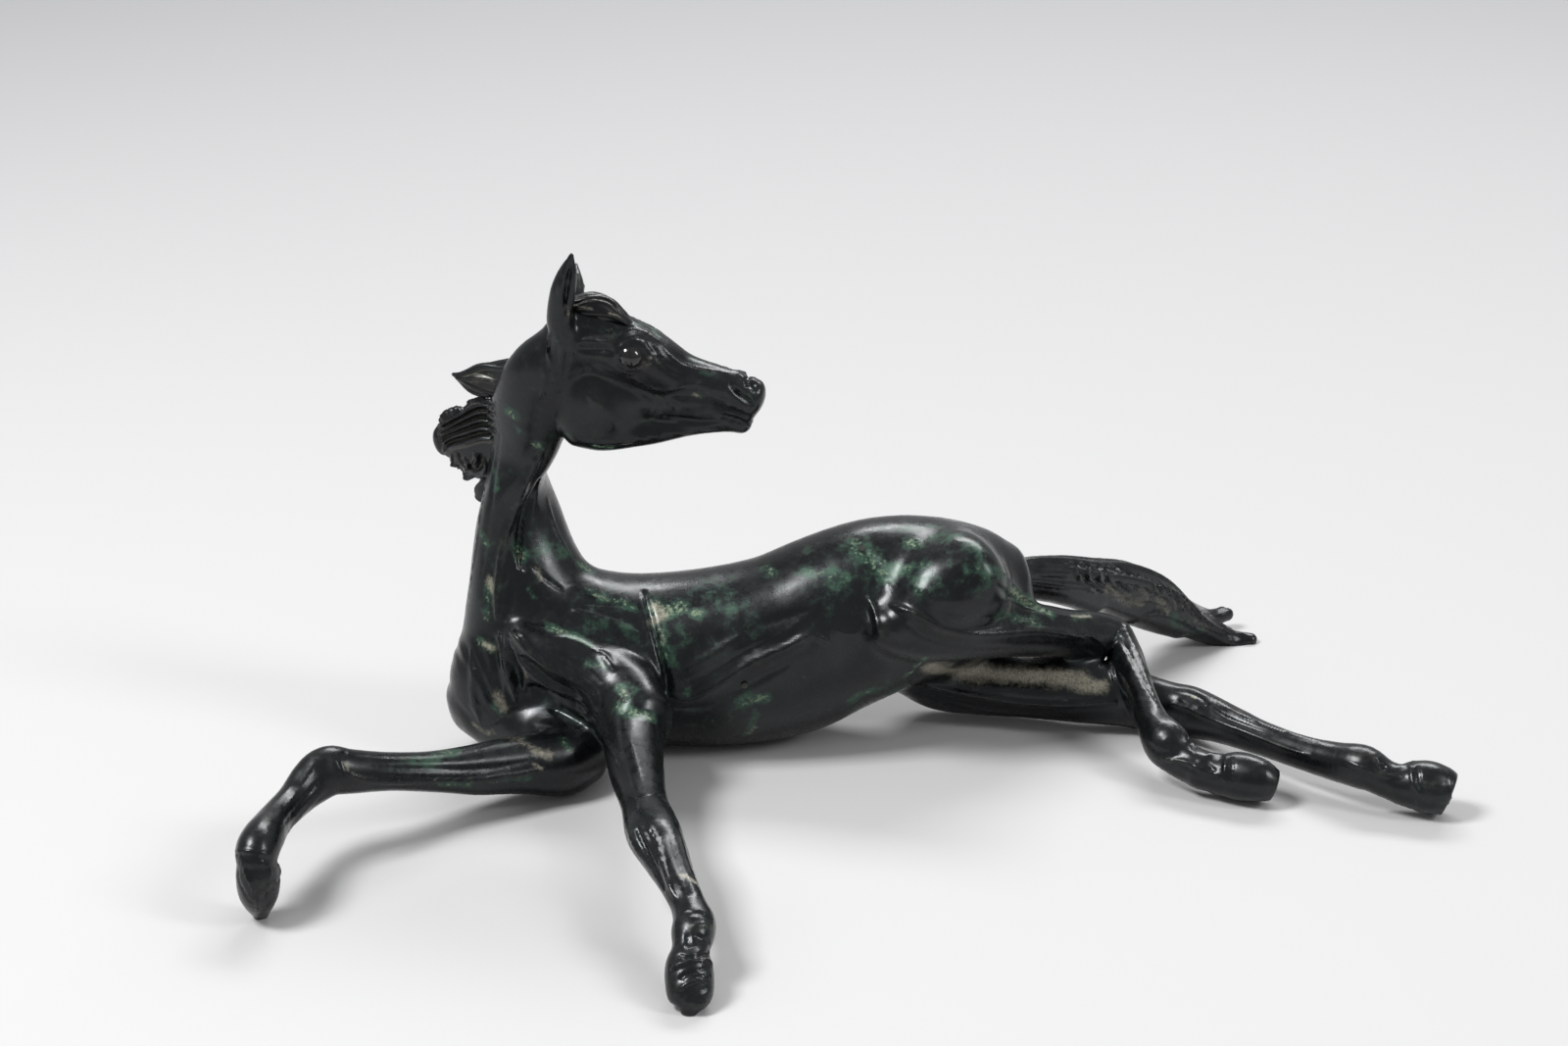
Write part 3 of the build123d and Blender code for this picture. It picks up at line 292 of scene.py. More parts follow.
# ------------------------------------------------------------------ the animal's masses, as sections along each limb
ROWS = {
    'trunk': {'kind': 'tube', 'rows': [[-128.11, -12, 20.77, 12, 12, 12, 16, 0, 0, 1], [-120.16, -12, 27.93, 22, 25, 18, 22, 0, 0, 1], [-105.27, -9, 32.77, 33, 32, 25, 29, 0, 0, 1], [-81.16, -4, 37.6, 37, 38, 30, 33, 0, 0, 1], [-56.97, 0, 38.01, 33.5, 39, 33, 34, 0, 0, 1], [-24.43, 1, 38.45, 36.5, 40, 34, 34, 0, 0, 1], [0, 3, 42.01, 38, 40, 34, 34, 0, 0, 1], [20.35, 5, 49.58, 38.5, 38, 33, 34, 0, 0, 1], [40.69, 7, 55.81, 38.5, 36, 31, 34, 0, 0, 1], [61.06, 9, 59.38, 35, 32, 29, 33, 0, 0, 1], [81.55, 12, 60.75, 28, 27, 26, 30, 0, 0, 1], [94, 15, 60.34, 20, 20, 19, 23, 0, 0, 1]], 'caps': [6, 8], 'per': 5, 'power': 2},
    'neck': {'kind': 'tube', 'rows': [[-104.31, -8, 26.95, 34, 30, 24, 24, 1, 0, 0], [-103.08, -5, 47.83, 32, 29, 24, 24, 1, 0.1, 0], [-103.95, -2, 66.34, 27, 26, 22, 22, 1, 0.3, 0], [-106.52, 2, 84.3, 20.5, 22, 17, 16.5, 0.85, 0.6, 0], [-108.55, 4, 100.82, 19.5, 19.5, 13.5, 12.5, 0.55, 0.85, 0], [-108.86, 4, 115.84, 19, 18, 11, 11, 0.1, 1, 0], [-105.71, 1, 131.85, 18.5, 16.5, 11, 11, -0.6, 0.8, 0], [-99.51, -6, 149.09, 18, 15, 11, 11, -0.9, 0.45, 0], [-92.42, -11, 165.33, 16, 14, 10.5, 10.5, -1, 0.15, 0.25], [-84.98, -13, 177.46, 11, 12, 9, 9, -0.9, 0, 0.6]], 'caps': [8, 8], 'per': 5, 'power': 2},
    'cranium': {'kind': 'tube', 'rows': [[-85.67, -14, 177.8, 9, 9, 8.5, 8.5, 0.36, 0, 0.93], [-77.15, -14, 179.43, 11, 10, 9.8, 9.8, 0.36, 0, 0.93], [-65.62, -14, 176.99, 12.3, 12, 12.5, 12.5, 0.36, 0, 0.93], [-54.13, -14, 172.1, 11.7, 12, 12.3, 12.3, 0.36, 0, 0.93], [-41.85, -14, 164.74, 10.2, 11, 9.6, 9.6, 0.36, 0, 0.93], [-29.1, -14, 160.63, 9.2, 9, 8, 8, 0.36, 0, 0.93], [-19.42, -14, 157.75, 8.8, 9, 7.9, 7.9, 0.36, 0, 0.93], [-13.22, -14, 154.87, 8.8, 9, 7.6, 7.6, 0.36, 0, 0.93]], 'caps': [6, 5], 'per': 5, 'power': 2},
    'cheek': {'kind': 'tube', 'rows': [[-66.8, -14, 157.34, 8, 8, 7, 7, 0.36, 0, 0.93], [-52.47, -14, 154.87, 7.5, 7.5, 7.2, 7.2, 0.36, 0, 0.93], [-38.9, -14, 152.39, 6.5, 6, 6.4, 6.4, 0.36, 0, 0.93], [-26.07, -14, 151.15, 5, 5, 5.6, 5.6, 0.36, 0, 0.93], [-18.69, -14, 149.91, 4, 4, 4.6, 4.6, 0.36, 0, 0.93]], 'caps': [5, 4], 'per': 5, 'power': 2},
    'jowl': {'kind': 'ball', 'c': [-73.11, -14, 153.22], 'r': [18.5, 10.5, 18.5], 'x': [1, 0, 0], 'y': [0, 1, 0]},
    'mandible': {'kind': 'tube', 'rows': [[-81.92, -14, 143.28, 6, 7, 8, 8, 0.36, 0, 0.93], [-68.32, -14, 140.78, 6, 6, 8, 8, 0.36, 0, 0.93], [-52.69, -14, 141.61, 6, 5, 6.5, 6.5, 0.36, 0, 0.93], [-37.05, -14, 144.11, 5, 3.8, 5.5, 5.5, 0.36, 0, 0.93], [-23.39, -14, 145.77, 4.5, 4, 5.2, 5.2, 0.36, 0, 0.93], [-17.15, -14, 144.94, 4, 3.8, 4.8, 4.8, 0.36, 0, 0.93]], 'caps': [5, 4], 'per': 5, 'power': 2},
    'ear_near': {'kind': 'tube', 'rows': [[-85.53, -21, 180.17, 5.5, 5.5, 4, 4, 1, -0.3, 0], [-87.45, -22.5, 190.33, 5.2, 5.2, 4.2, 4.2, 1, -0.3, 0], [-86.3, -24, 200.81, 5.4, 5, 3.6, 3.6, 1, -0.3, 0], [-83.7, -25, 210.25, 4, 4, 2.8, 2.8, 1, -0.3, 0], [-81.92, -26, 218.05, 1, 1, 0.9, 0.9, 1, -0.3, 0]], 'caps': [4, 1.2], 'per': 5, 'power': 2},
    'rf_humerus': {'kind': 'tube', 'rows': [[-127.41, -12, 18.08, 10.14, 10.14, 9.74, 9.74, 0, 0.38, 0.93], [-112.81, -22, 17.06, 14.1, 14.1, 12.09, 12.09, 0, 0.38, 0.93], [-95.59, -38, 15.51, 14.34, 14.34, 11.95, 11.95, 0, 0.38, 0.93], [-83.89, -48, 12.5, 12.66, 12.66, 11.08, 11.08, 0, 0.38, 0.93]], 'caps': [10, 8], 'per': 5, 'power': 2},
    'rf_forearm': {'kind': 'tube', 'rows': [[-80.18, -44, 12.28, 10.32, 10.32, 9.53, 9.53, 0, 0.38, 0.93], [-89.92, -52, 13.61, 13.01, 13.01, 11.83, 11.83, 0, 0.38, 0.93], [-105.73, -60, 16.73, 11.75, 11.75, 10.57, 10.57, 0, 0.38, 0.93], [-122.31, -70, 19.56, 10.1, 10.1, 8.93, 8.93, 0, 0.38, 0.93], [-138.53, -80, 23.71, 8.08, 8.08, 7.31, 7.31, 0, 0.38, 0.93], [-154.25, -91, 29.24, 7.62, 7.62, 6.86, 6.86, 0, 0.38, 0.93], [-166.91, -100, 33.75, 8.69, 8.69, 7.18, 7.18, 0, 0.38, 0.93], [-174.93, -104, 35.76, 9.78, 9.78, 7.9, 7.9, 0, 0.38, 0.93], [-181.13, -109, 33.25, 9, 9, 7.5, 7.5, 0, 0.38, 0.93], [-186.34, -118, 30.32, 7.27, 7.27, 6.34, 6.34, 0, 0.38, 0.93], [-190.93, -132, 29.68, 7.19, 7.19, 6.27, 6.27, 0, 0.38, 0.93], [-193.54, -148, 29.86, 8.37, 8.37, 7.64, 7.64, 0, 0.38, 0.93], [-194.73, -155, 27.86, 8.69, 8.69, 7.96, 7.96, 0, -0.6, 0.8], [-194.71, -157, 23.22, 7.42, 7.42, 6.51, 6.51, 0, -1, 0.3]], 'caps': [8, 3], 'per': 5, 'power': 2},
    'rf_hoof': {'kind': 'tube', 'rows': [[-194.5, -157, 26.49, 7.41, 7.41, 6.51, 6.51, 0, 0.38, 0.93], [-194.53, -157, 20.35, 9.42, 9.42, 7.97, 7.97, 0, 0.38, 0.93], [-194.92, -156, 11.17, 7.64, 7.64, 7.27, 7.27, 0, 0.38, 0.93], [-195.34, -153, 0.8, 2.56, 2.56, 2.93, 2.93, 0, 0.38, 0.93]], 'caps': [3, 2], 'per': 5, 'power': 2},
    'lf_humerus': {'kind': 'tube', 'rows': [[-106.83, -30, 57.3, 5.93, 5.93, 5.54, 5.54, 0, 0.38, 0.93], [-94.99, -32, 51.26, 10.69, 10.69, 8.71, 8.71, 0, 0.38, 0.93], [-79.25, -34, 42.6, 14.66, 14.66, 11.89, 11.89, 0, 0.38, 0.93], [-65.2, -40, 36.68, 16.2, 16.2, 13.44, 13.44, 0, 0.38, 0.93], [-58.03, -52, 32.4, 14.51, 14.51, 13.33, 13.33, 0, 0.38, 0.93]], 'caps': [5, 8], 'per': 5, 'power': 2},
    'lf_forearm': {'kind': 'tube', 'rows': [[-59.82, -48, 30.47, 13.38, 13.38, 14.17, 14.17, 0, 0, 1], [-59.43, -66, 28.38, 12.04, 12.04, 12.04, 12.04, 0, 0, 1], [-57.2, -90, 27.88, 10.3, 10.3, 10.68, 10.68, 0, 0, 1], [-52.96, -118, 28.23, 8.58, 8.58, 9.14, 9.14, 0, 0, 1], [-48.59, -143, 29.67, 8.77, 8.77, 10.59, 10.59, 0, 0, 1], [-44.13, -156, 27.17, 7.6, 7.6, 9.04, 9.04, 0, 0, 1], [-37.7, -177, 25.61, 6.22, 6.22, 6.76, 6.76, 0, 0, 1], [-34.28, -186, 22.55, 6.01, 6.01, 6.54, 6.54, 0, 0, 1], [-32.34, -193, 20.06, 7.38, 7.38, 7.73, 7.73, 0, 0, 1], [-32.58, -198, 18.1, 7.71, 7.71, 7.88, 7.88, 0, 0, 1], [-33.17, -203, 15.37, 6.63, 6.63, 6.63, 6.63, 0, 0, 1]], 'caps': [8, 4], 'per': 5, 'power': 2},
    'lf_hoof': {'kind': 'tube', 'rows': [[-32.9, -200, 16.05, 5.25, 5.25, 5.25, 5.25, 0, 0, 1], [-33.73, -209, 12.07, 7.3, 7.3, 8.35, 8.35, 0, 0, 1], [-33.24, -216, 7.43, 6.92, 6.92, 8.66, 8.66, 0, 0, 1], [-33.17, -220, 3.44, 5.53, 5.53, 7.26, 7.26, 0, 0, 1], [-33.49, -222, 0.67, 2.76, 2.76, 3.11, 3.11, 0, 0, 1]], 'caps': [3, 2], 'per': 5, 'power': 2},
    'lh_thigh': {'kind': 'tube', 'rows': [[74.12, -6, 75.48, 20.03, 20.03, 24.04, 24.04, 0, 0.38, 0.93], [61.92, -12, 70.21, 19.17, 19.17, 21.57, 21.57, 0, 0.38, 0.93], [49.82, -18, 63.25, 12.75, 12.75, 16.74, 16.74, 0, 0.38, 0.93], [41.76, -22, 59.8, 8.75, 8.75, 11.93, 11.93, 0, 0.38, 0.93]], 'caps': [14, 7], 'per': 5, 'power': 2},
    'lh_leg': {'kind': 'tube', 'rows': [[40.58, -22, 59.37, 7.96, 7.96, 9.55, 9.55, 0, 0.38, 0.93], [53.79, -21, 56.74, 10.76, 10.76, 11.95, 11.95, 0, 0.38, 0.93], [69.96, -17, 55.39, 11.19, 11.19, 11.19, 11.19, 0, 0.38, 0.93], [86.47, -10, 52.71, 10.86, 10.86, 10.05, 10.05, 0, 0.38, 0.93], [103.44, 0, 48.69, 10.95, 10.95, 9.33, 9.33, 0, 0.38, 0.93], [118.8, 11, 42.45, 10.04, 10.04, 8.19, 8.19, 0, 0.38, 0.93], [131.32, 20, 37.52, 9.91, 9.91, 7.43, 7.43, 0, 0.38, 0.93], [139.83, 25, 33.47, 8.71, 8.71, 7.05, 7.05, 0, 0.38, 0.93], [144.33, 15, 29.83, 7.42, 7.42, 6.6, 6.6, 0, 0.38, 0.93], [146.32, -2, 27.74, 6.52, 6.52, 5.71, 5.71, 0, 0.38, 0.93], [148.61, -16, 24.01, 6.26, 6.26, 5.65, 5.65, 0, 0.38, 0.93], [151.11, -28, 19.51, 7.21, 7.21, 6.81, 6.81, 0, 0.38, 0.93], [155.2, -39, 16, 9.55, 9.55, 8.75, 8.75, 0, 0.38, 0.93], [161.32, -46, 11.95, 7.93, 7.93, 7.13, 7.13, 0, 0.38, 0.93], [168.82, -53, 10.6, 7.49, 7.49, 7.1, 7.1, 0, 0.38, 0.93]], 'caps': [7, 4], 'per': 5, 'power': 2},
    'lh_hoof': {'kind': 'tube', 'rows': [[166.56, -52, 10.98, 7.1, 7.1, 7.1, 7.1, 0, 0.38, 0.93], [174.9, -55, 9.84, 8.27, 8.27, 8.27, 8.27, 0, 0.38, 0.93], [182.33, -58, 10.48, 9.82, 9.82, 9.04, 9.04, 0, 0.38, 0.93], [189.77, -61, 10.24, 9.02, 9.02, 8.63, 8.63, 0, 0.38, 0.93], [195.61, -62, 8.56, 6.66, 6.66, 6.66, 6.66, 0, 0.38, 0.93]], 'caps': [3, 1.5], 'per': 5, 'power': 2},
    'rh_thigh': {'kind': 'tube', 'rows': [[78.25, 22, 51.51, 18.53, 18.53, 21.42, 21.42, 0, 0.38, 0.93], [68.32, 22, 33.46, 16.56, 16.56, 20.7, 20.7, 0, 0.38, 0.93], [60.21, 20, 18.43, 10.8, 10.8, 14.95, 14.95, 0, 0.38, 0.93]], 'caps': [12, 8], 'per': 5, 'power': 2},
    'rh_leg': {'kind': 'tube', 'rows': [[52.89, 14, 20.3, 6.61, 6.61, 9.09, 9.09, 0, 0.38, 0.93], [66.45, 19, 15.24, 13.71, 10.8, 12.46, 12.46, 0, 0.38, 0.93], [83.02, 18, 14.79, 14.94, 12.04, 13.28, 13.28, 0, 0.38, 0.93], [103.53, 15, 15.28, 15.32, 12.42, 12.42, 12.42, 0, 0.38, 0.93], [123.77, 10, 15.8, 14.85, 12.79, 11.14, 11.14, 0, 0.38, 0.93], [144.29, 8, 13.56, 12.37, 11.54, 9.89, 9.89, 0, 0.38, 0.93], [160.51, 5, 11.79, 10.29, 10.29, 8.64, 8.64, 0, 0.38, 0.93], [171.16, -2, 11.95, 10.65, 10.65, 8.19, 8.19, 0, 0.38, 0.93], [182.29, -16, 13.72, 8.51, 8.51, 7.29, 7.29, 0, 0.38, 0.93], [196.47, -30, 13.37, 7.02, 7.02, 6.42, 6.42, 0, 0.38, 0.93], [210.25, -44, 14.05, 6.94, 6.94, 6.35, 6.35, 0, 0.38, 0.93], [222.38, -54, 15.05, 7.87, 7.87, 7.48, 7.48, 0, 0.38, 0.93], [231.71, -61, 15.92, 8.81, 8.81, 8.61, 8.61, 0, 0.38, 0.93], [239.61, -66, 13.2, 6.83, 6.83, 6.63, 6.63, 0, 0.38, 0.93]], 'caps': [7, 4], 'per': 5, 'power': 2},
    'rh_hoof': {'kind': 'tube', 'rows': [[237.39, -65, 14.01, 6.64, 6.64, 6.64, 6.64, 0, 0.38, 0.93], [245.57, -68, 12.04, 8.19, 8.19, 8.19, 8.19, 0, 0.38, 0.93], [253.74, -70, 12.18, 10.51, 10.51, 9.34, 9.34, 0, 0.38, 0.93], [259.87, -71, 10.95, 10.11, 10.11, 9.34, 9.34, 0, 0.38, 0.93], [263.66, -72, 9.72, 8.94, 8.94, 8.17, 8.17, 0, 0.38, 0.93]], 'caps': [3, 1], 'per': 5, 'power': 2},
    'tail': {'kind': 'tube', 'rows': [[90.69, 16, 64.36, 6.94, 6.94, 6.13, 6.13, 0, -0.35, 0.94], [102.19, 27, 62.36, 7.83, 7.42, 5.77, 5.77, 0, -0.35, 0.94], [115.65, 38, 56.8, 8.74, 8.32, 6.24, 6.24, 0, -0.35, 0.94], [130.56, 52, 48.56, 9.27, 10.11, 7.16, 7.16, 0, -0.35, 0.94], [145.86, 66, 38.89, 11.52, 12.37, 8.1, 8.53, 0, -0.35, 0.94], [160.47, 78, 28.1, 12.08, 11.22, 8.63, 9.49, 0, -0.35, 0.94], [174.1, 87, 18.03, 8.71, 9.14, 7.83, 10.45, 0, -0.35, 0.94], [187.54, 93, 8.7, 5.26, 7.45, 5.7, 8.76, 0, -0.35, 0.94], [200.58, 96, 2.07, 3.08, 5.28, 4.4, 5.28, 0, -0.35, 0.94], [209.4, 96, 1.59, 2.64, 3.52, 3.08, 3.08, 0, -0.35, 0.94]], 'caps': [6, 3], 'per': 5, 'power': 2},
    'tail_tip': {'kind': 'tube', 'rows': [[165.23, 88, 24.23, 6.52, 7.39, 5.22, 6.09, 0, -0.35, 0.94], [179.07, 98, 15.11, 4.83, 5.71, 4.83, 5.71, 0, -0.35, 0.94], [191.9, 106, 7.75, 3.54, 3.98, 3.98, 4.42, 0, -0.35, 0.94], [200.57, 111, 7, 3.11, 3.11, 2.66, 3.11, 0, -0.35, 0.94]], 'caps': [5, 3], 'per': 5, 'power': 2},
    'mane_tuft': {'kind': 'tube', 'rows': [[-108.36, 1, 159.5, 7.6, 7.6, 3, 3, 0, 0, 1], [-115.87, 5, 156.85, 7.4, 7.2, 2.6, 2.6, 0, 0, 1], [-123.69, 8, 155.38, 5.6, 5.2, 2.2, 2.2, 0, 0, 1], [-129.79, 10, 155.94, 2.6, 3, 1.6, 1.6, 0, 0, 1], [-133.42, 11, 156.84, 0.9, 0.9, 0.8, 0.8, 0, 0, 1]], 'caps': [3, 1], 'per': 5, 'power': 2},
    'mane_main': {'kind': 'tube', 'rows': [[-110.82, 1, 133.12, 15, 15, 5, 5, 0, 0, 1], [-118.45, 6, 131.26, 15.5, 16.5, 6, 6, 0, 0, 1], [-126.07, 10, 128.92, 14.5, 16.5, 6.5, 6.5, 0, 0, 1], [-133.56, 13, 128.65, 10.5, 12.5, 5.5, 5.5, 0, 0, 1], [-139.72, 14, 127.43, 6, 6.5, 4, 4, 0, 0, 1]], 'caps': [3, 3.5], 'per': 5, 'power': 2},
    'mane_low': {'kind': 'tube', 'rows': [[-117.53, 6, 112.5, 4.5, 4.5, 3, 3, 0, 0, 1], [-122.27, 8, 107.85, 4.2, 5.2, 3, 3, 0, 0, 1], [-124.9, 9, 104.44, 2.2, 3.2, 2, 2, 0, 0, 1]], 'caps': [2, 1.5], 'per': 5, 'power': 2},
    'mane_roots': {'kind': 'tube', 'rows': [[-94.48, -9, 179.38, 2.5, 2.5, 3.4, 3.4, -0.9, 0, 0.5], [-102.22, -3, 169.98, 2.5, 2.5, 3.6, 3.6, -0.95, 0.2, 0.2], [-109.54, 4, 155.12, 2.5, 2.5, 3.8, 3.8, -1, 0.3, 0], [-113.62, 12, 136.25, 2.5, 2.5, 4, 4, -0.8, 0.6, 0], [-115.17, 18, 117.77, 2.5, 2.5, 3.8, 3.8, -0.5, 0.9, 0], [-113.68, 22, 100.19, 2.2, 2.2, 3, 3, 0.2, 1, 0]], 'caps': [2, 2], 'per': 5, 'power': 2},
    'forelock': {'kind': 'tube', 'rows': [[-81.36, -14, 194.3, 3.4, 3.4, 4.6, 4.6, 0, 0, 1], [-75.53, -15, 195.02, 4, 4, 6, 6, 0, 0, 1], [-69.76, -16, 193.33, 3.8, 3.6, 6, 6, 0.2, 0, 1], [-64.45, -16, 190.52, 2.6, 2.6, 5, 5, 0.3, 0, 1], [-60.28, -16, 187.7, 1.2, 1.2, 3, 3, 0.4, 0, 1]], 'caps': [2, 1.5], 'per': 5, 'power': 2},
    'eye_near': {'kind': 'ball', 'c': [-60.02, -22.6, 176.46], 'r': [5.3, 4.4, 5], 'x': [0.93, 0, -0.36], 'y': [0, 1, 0]},
    'eye_far': {'kind': 'ball', 'c': [-60.02, -5.4, 176.46], 'r': [5.3, 4.4, 5], 'x': [0.93, 0, -0.36], 'y': [0, 1, 0]},
    'ear_far': {'kind': 'tube', 'rows': [[-86.59, -7, 175.44, 5.5, 5.5, 4, 4, 0.9, 0.3, 0.2], [-85.79, 0.53, 181.97, 5.2, 5.2, 4.2, 4.2, 0.9, 0.3, 0.2], [-84.98, 8.06, 188.49, 5.2, 5.2, 3.6, 3.6, 0.9, 0.3, 0.2], [-84.26, 14.84, 194.37, 4, 4, 2.8, 2.8, 0.9, 0.3, 0.2], [-83.62, 20.87, 199.59, 1, 1, 0.9, 0.9, 0.9, 0.3, 0.2]], 'caps': [4, 1.2], 'per': 5, 'power': 2},
}

# centre of the belly plug in the tables' own axes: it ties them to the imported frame
PLUG_AT = (-26.57, 2.0)
_lo, _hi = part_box("belly_plug")
SHIFT = np.array([(_lo.x + _hi.x) * 500 - PLUG_AT[0], (_lo.y + _hi.y) * 500 - PLUG_AT[1], 0.0])


def shape(n):
    r = ROWS[n]
    if r["kind"] == "tube":
        return Tube(r["rows"], r["caps"], r["per"], r["power"])
    if r["kind"] == "ball":
        return Ball(r["c"], r["r"], r["x"], r["y"])
    return Line(r["rows"], r["per"])


SH = {n: shape(n) for n in ROWS}
BODY = Sculpt()
for n, k in [("trunk", 0), ("neck", 14), ("cranium", 8), ("cheek", 5), ("jowl", 5), ("mandible", 6), ("ear_near", 3), ("rf_humerus", 12),
             ("rf_forearm", 6), ("rf_hoof", 2), ("lf_humerus", 12), ("lf_forearm", 6), ("lf_hoof", 2), ("lh_thigh", 14), ("lh_leg", 8),
             ("lh_hoof", 3), ("rh_thigh", 14), ("rh_leg", 8), ("rh_hoof", 3), ("tail", 4), ("tail_tip", 5), ("mane_roots", 1), ("ear_far", 2)]:
    BODY.add(SH[n], k)


def strands(base, n, r, lift, spread, wave, seed, drop=0.0):
    """A lock: its mass, with wavy cords of hair laid over it from root to tip."""
    rs = np.random.RandomState(seed)
    T = SH[base]
    out = Sculpt().add(T, 0)
    m = len(T.c)
    for j in range(n):
        a = -spread + 2 * spread * j / max(n - 1, 1) + rs.uniform(-0.12, 0.12)
        ph, fq, rr, end = rs.uniform(0, 6.3), rs.uniform(5.0, 8.0), r * rs.uniform(0.75, 1.25), rs.uniform(0.80, 1.0)
        rows = []
        for i in range(m):
            k = i / (m - 1)
            if k > end:
                break
            ang = a + wave * math.sin(fq * k + ph)
            up = lift * (1 + 0.10 * math.sin(fq * 1.3 * k + ph * 2))
            q = T.c[i] + T.n[i] * T.r[i, 0] * up * math.cos(ang) + T.b[i] * (T.r[i, 2] if math.sin(ang) > 0 else T.r[i, 3]) * up * math.sin(ang)
            rows.append([q[0], q[1], q[2] - drop, rr * (0.35 + 0.65 * math.sin(math.pi * min(k / end * 0.85 + 0.15, 1.0)))])
        if len(rows) > 3:
            out.add(Line(rows, 1), 0.5)
    return out


def between(a, b, share=0.9, ia=-1, ib=0):
    """Round filler from one body's end section to the next one's first."""
    ra, rb = ROWS[a]["rows"][ia], ROWS[b]["rows"][ib]
    return Line([[*ra[:3], min(ra[3:7]) * share], [*rb[:3], min(rb[3:7]) * share]])


BODY.add(between("rf_forearm", "rf_hoof", 0.96), 2.5)
BODY.add(between("rf_forearm", "rf_hoof", 0.9, -1, 1), 2.0)
for _op in strands("tail", 16, 1.5, 0.93, 3.05, 0.22, 11).ops[1:]:
    BODY.ops.append(("add", _op[1], 0.8))
_t = ROWS["tail"]["rows"]
BODY.add(Line([[r[0], r[1] - 1.0, r[2] - 0.55 * r[4], 0.72 * min(r[3:7])] for r in _t[1:7]]), 4)
BODY.add(Line([[r[0] + 2.0, r[1], r[2] - 1.05 * r[4], 0.62 * min(r[3:7])] for r in _t[0:4]]), 5)
BODY.add(Line([[-81.0, -14.0, 188.0, 7.0], [-73.0, -14.0, 187.5, 7.2], [-65.0, -14.0, 183.5, 6.0]]), 7)
for _n_ in ("eye_near", "eye_far"):
    _e = ROWS[_n_]
    _out = -1.0 if _n_ == "eye_near" else 1.0
    _e["r"] = [5.5, 5.2, 5.0]
    _e["c"][1] += _out * 0.4
    SH[_n_] = shape(_n_)
    BODY.cut(Ball([_e["c"][0], _e["c"][1] + _out * 5.0, _e["c"][2]], (5.2, 2.6, 3.9), _e["x"], _e["y"]), 0.7)
GROUPS = {
    "trunk_casting": ["trunk", "rf_humerus", "lf_humerus", "lh_thigh", "rh_thigh"], "neck_casting": ["neck", "mane_roots"],
    "head_casting": ["cranium", "cheek", "jowl", "mandible"], "ear_right": ["ear_near"], "ear_left": ["ear_far"],
    "foreleg_right": ["rf_forearm", "rf_hoof"], "foreleg_left": ["lf_forearm", "lf_hoof"],
    "hind_leg_left": ["lh_leg", "lh_hoof"], "hind_leg_right": ["rh_leg", "rh_hoof"], "tail_casting": ["tail", "tail_tip"]}



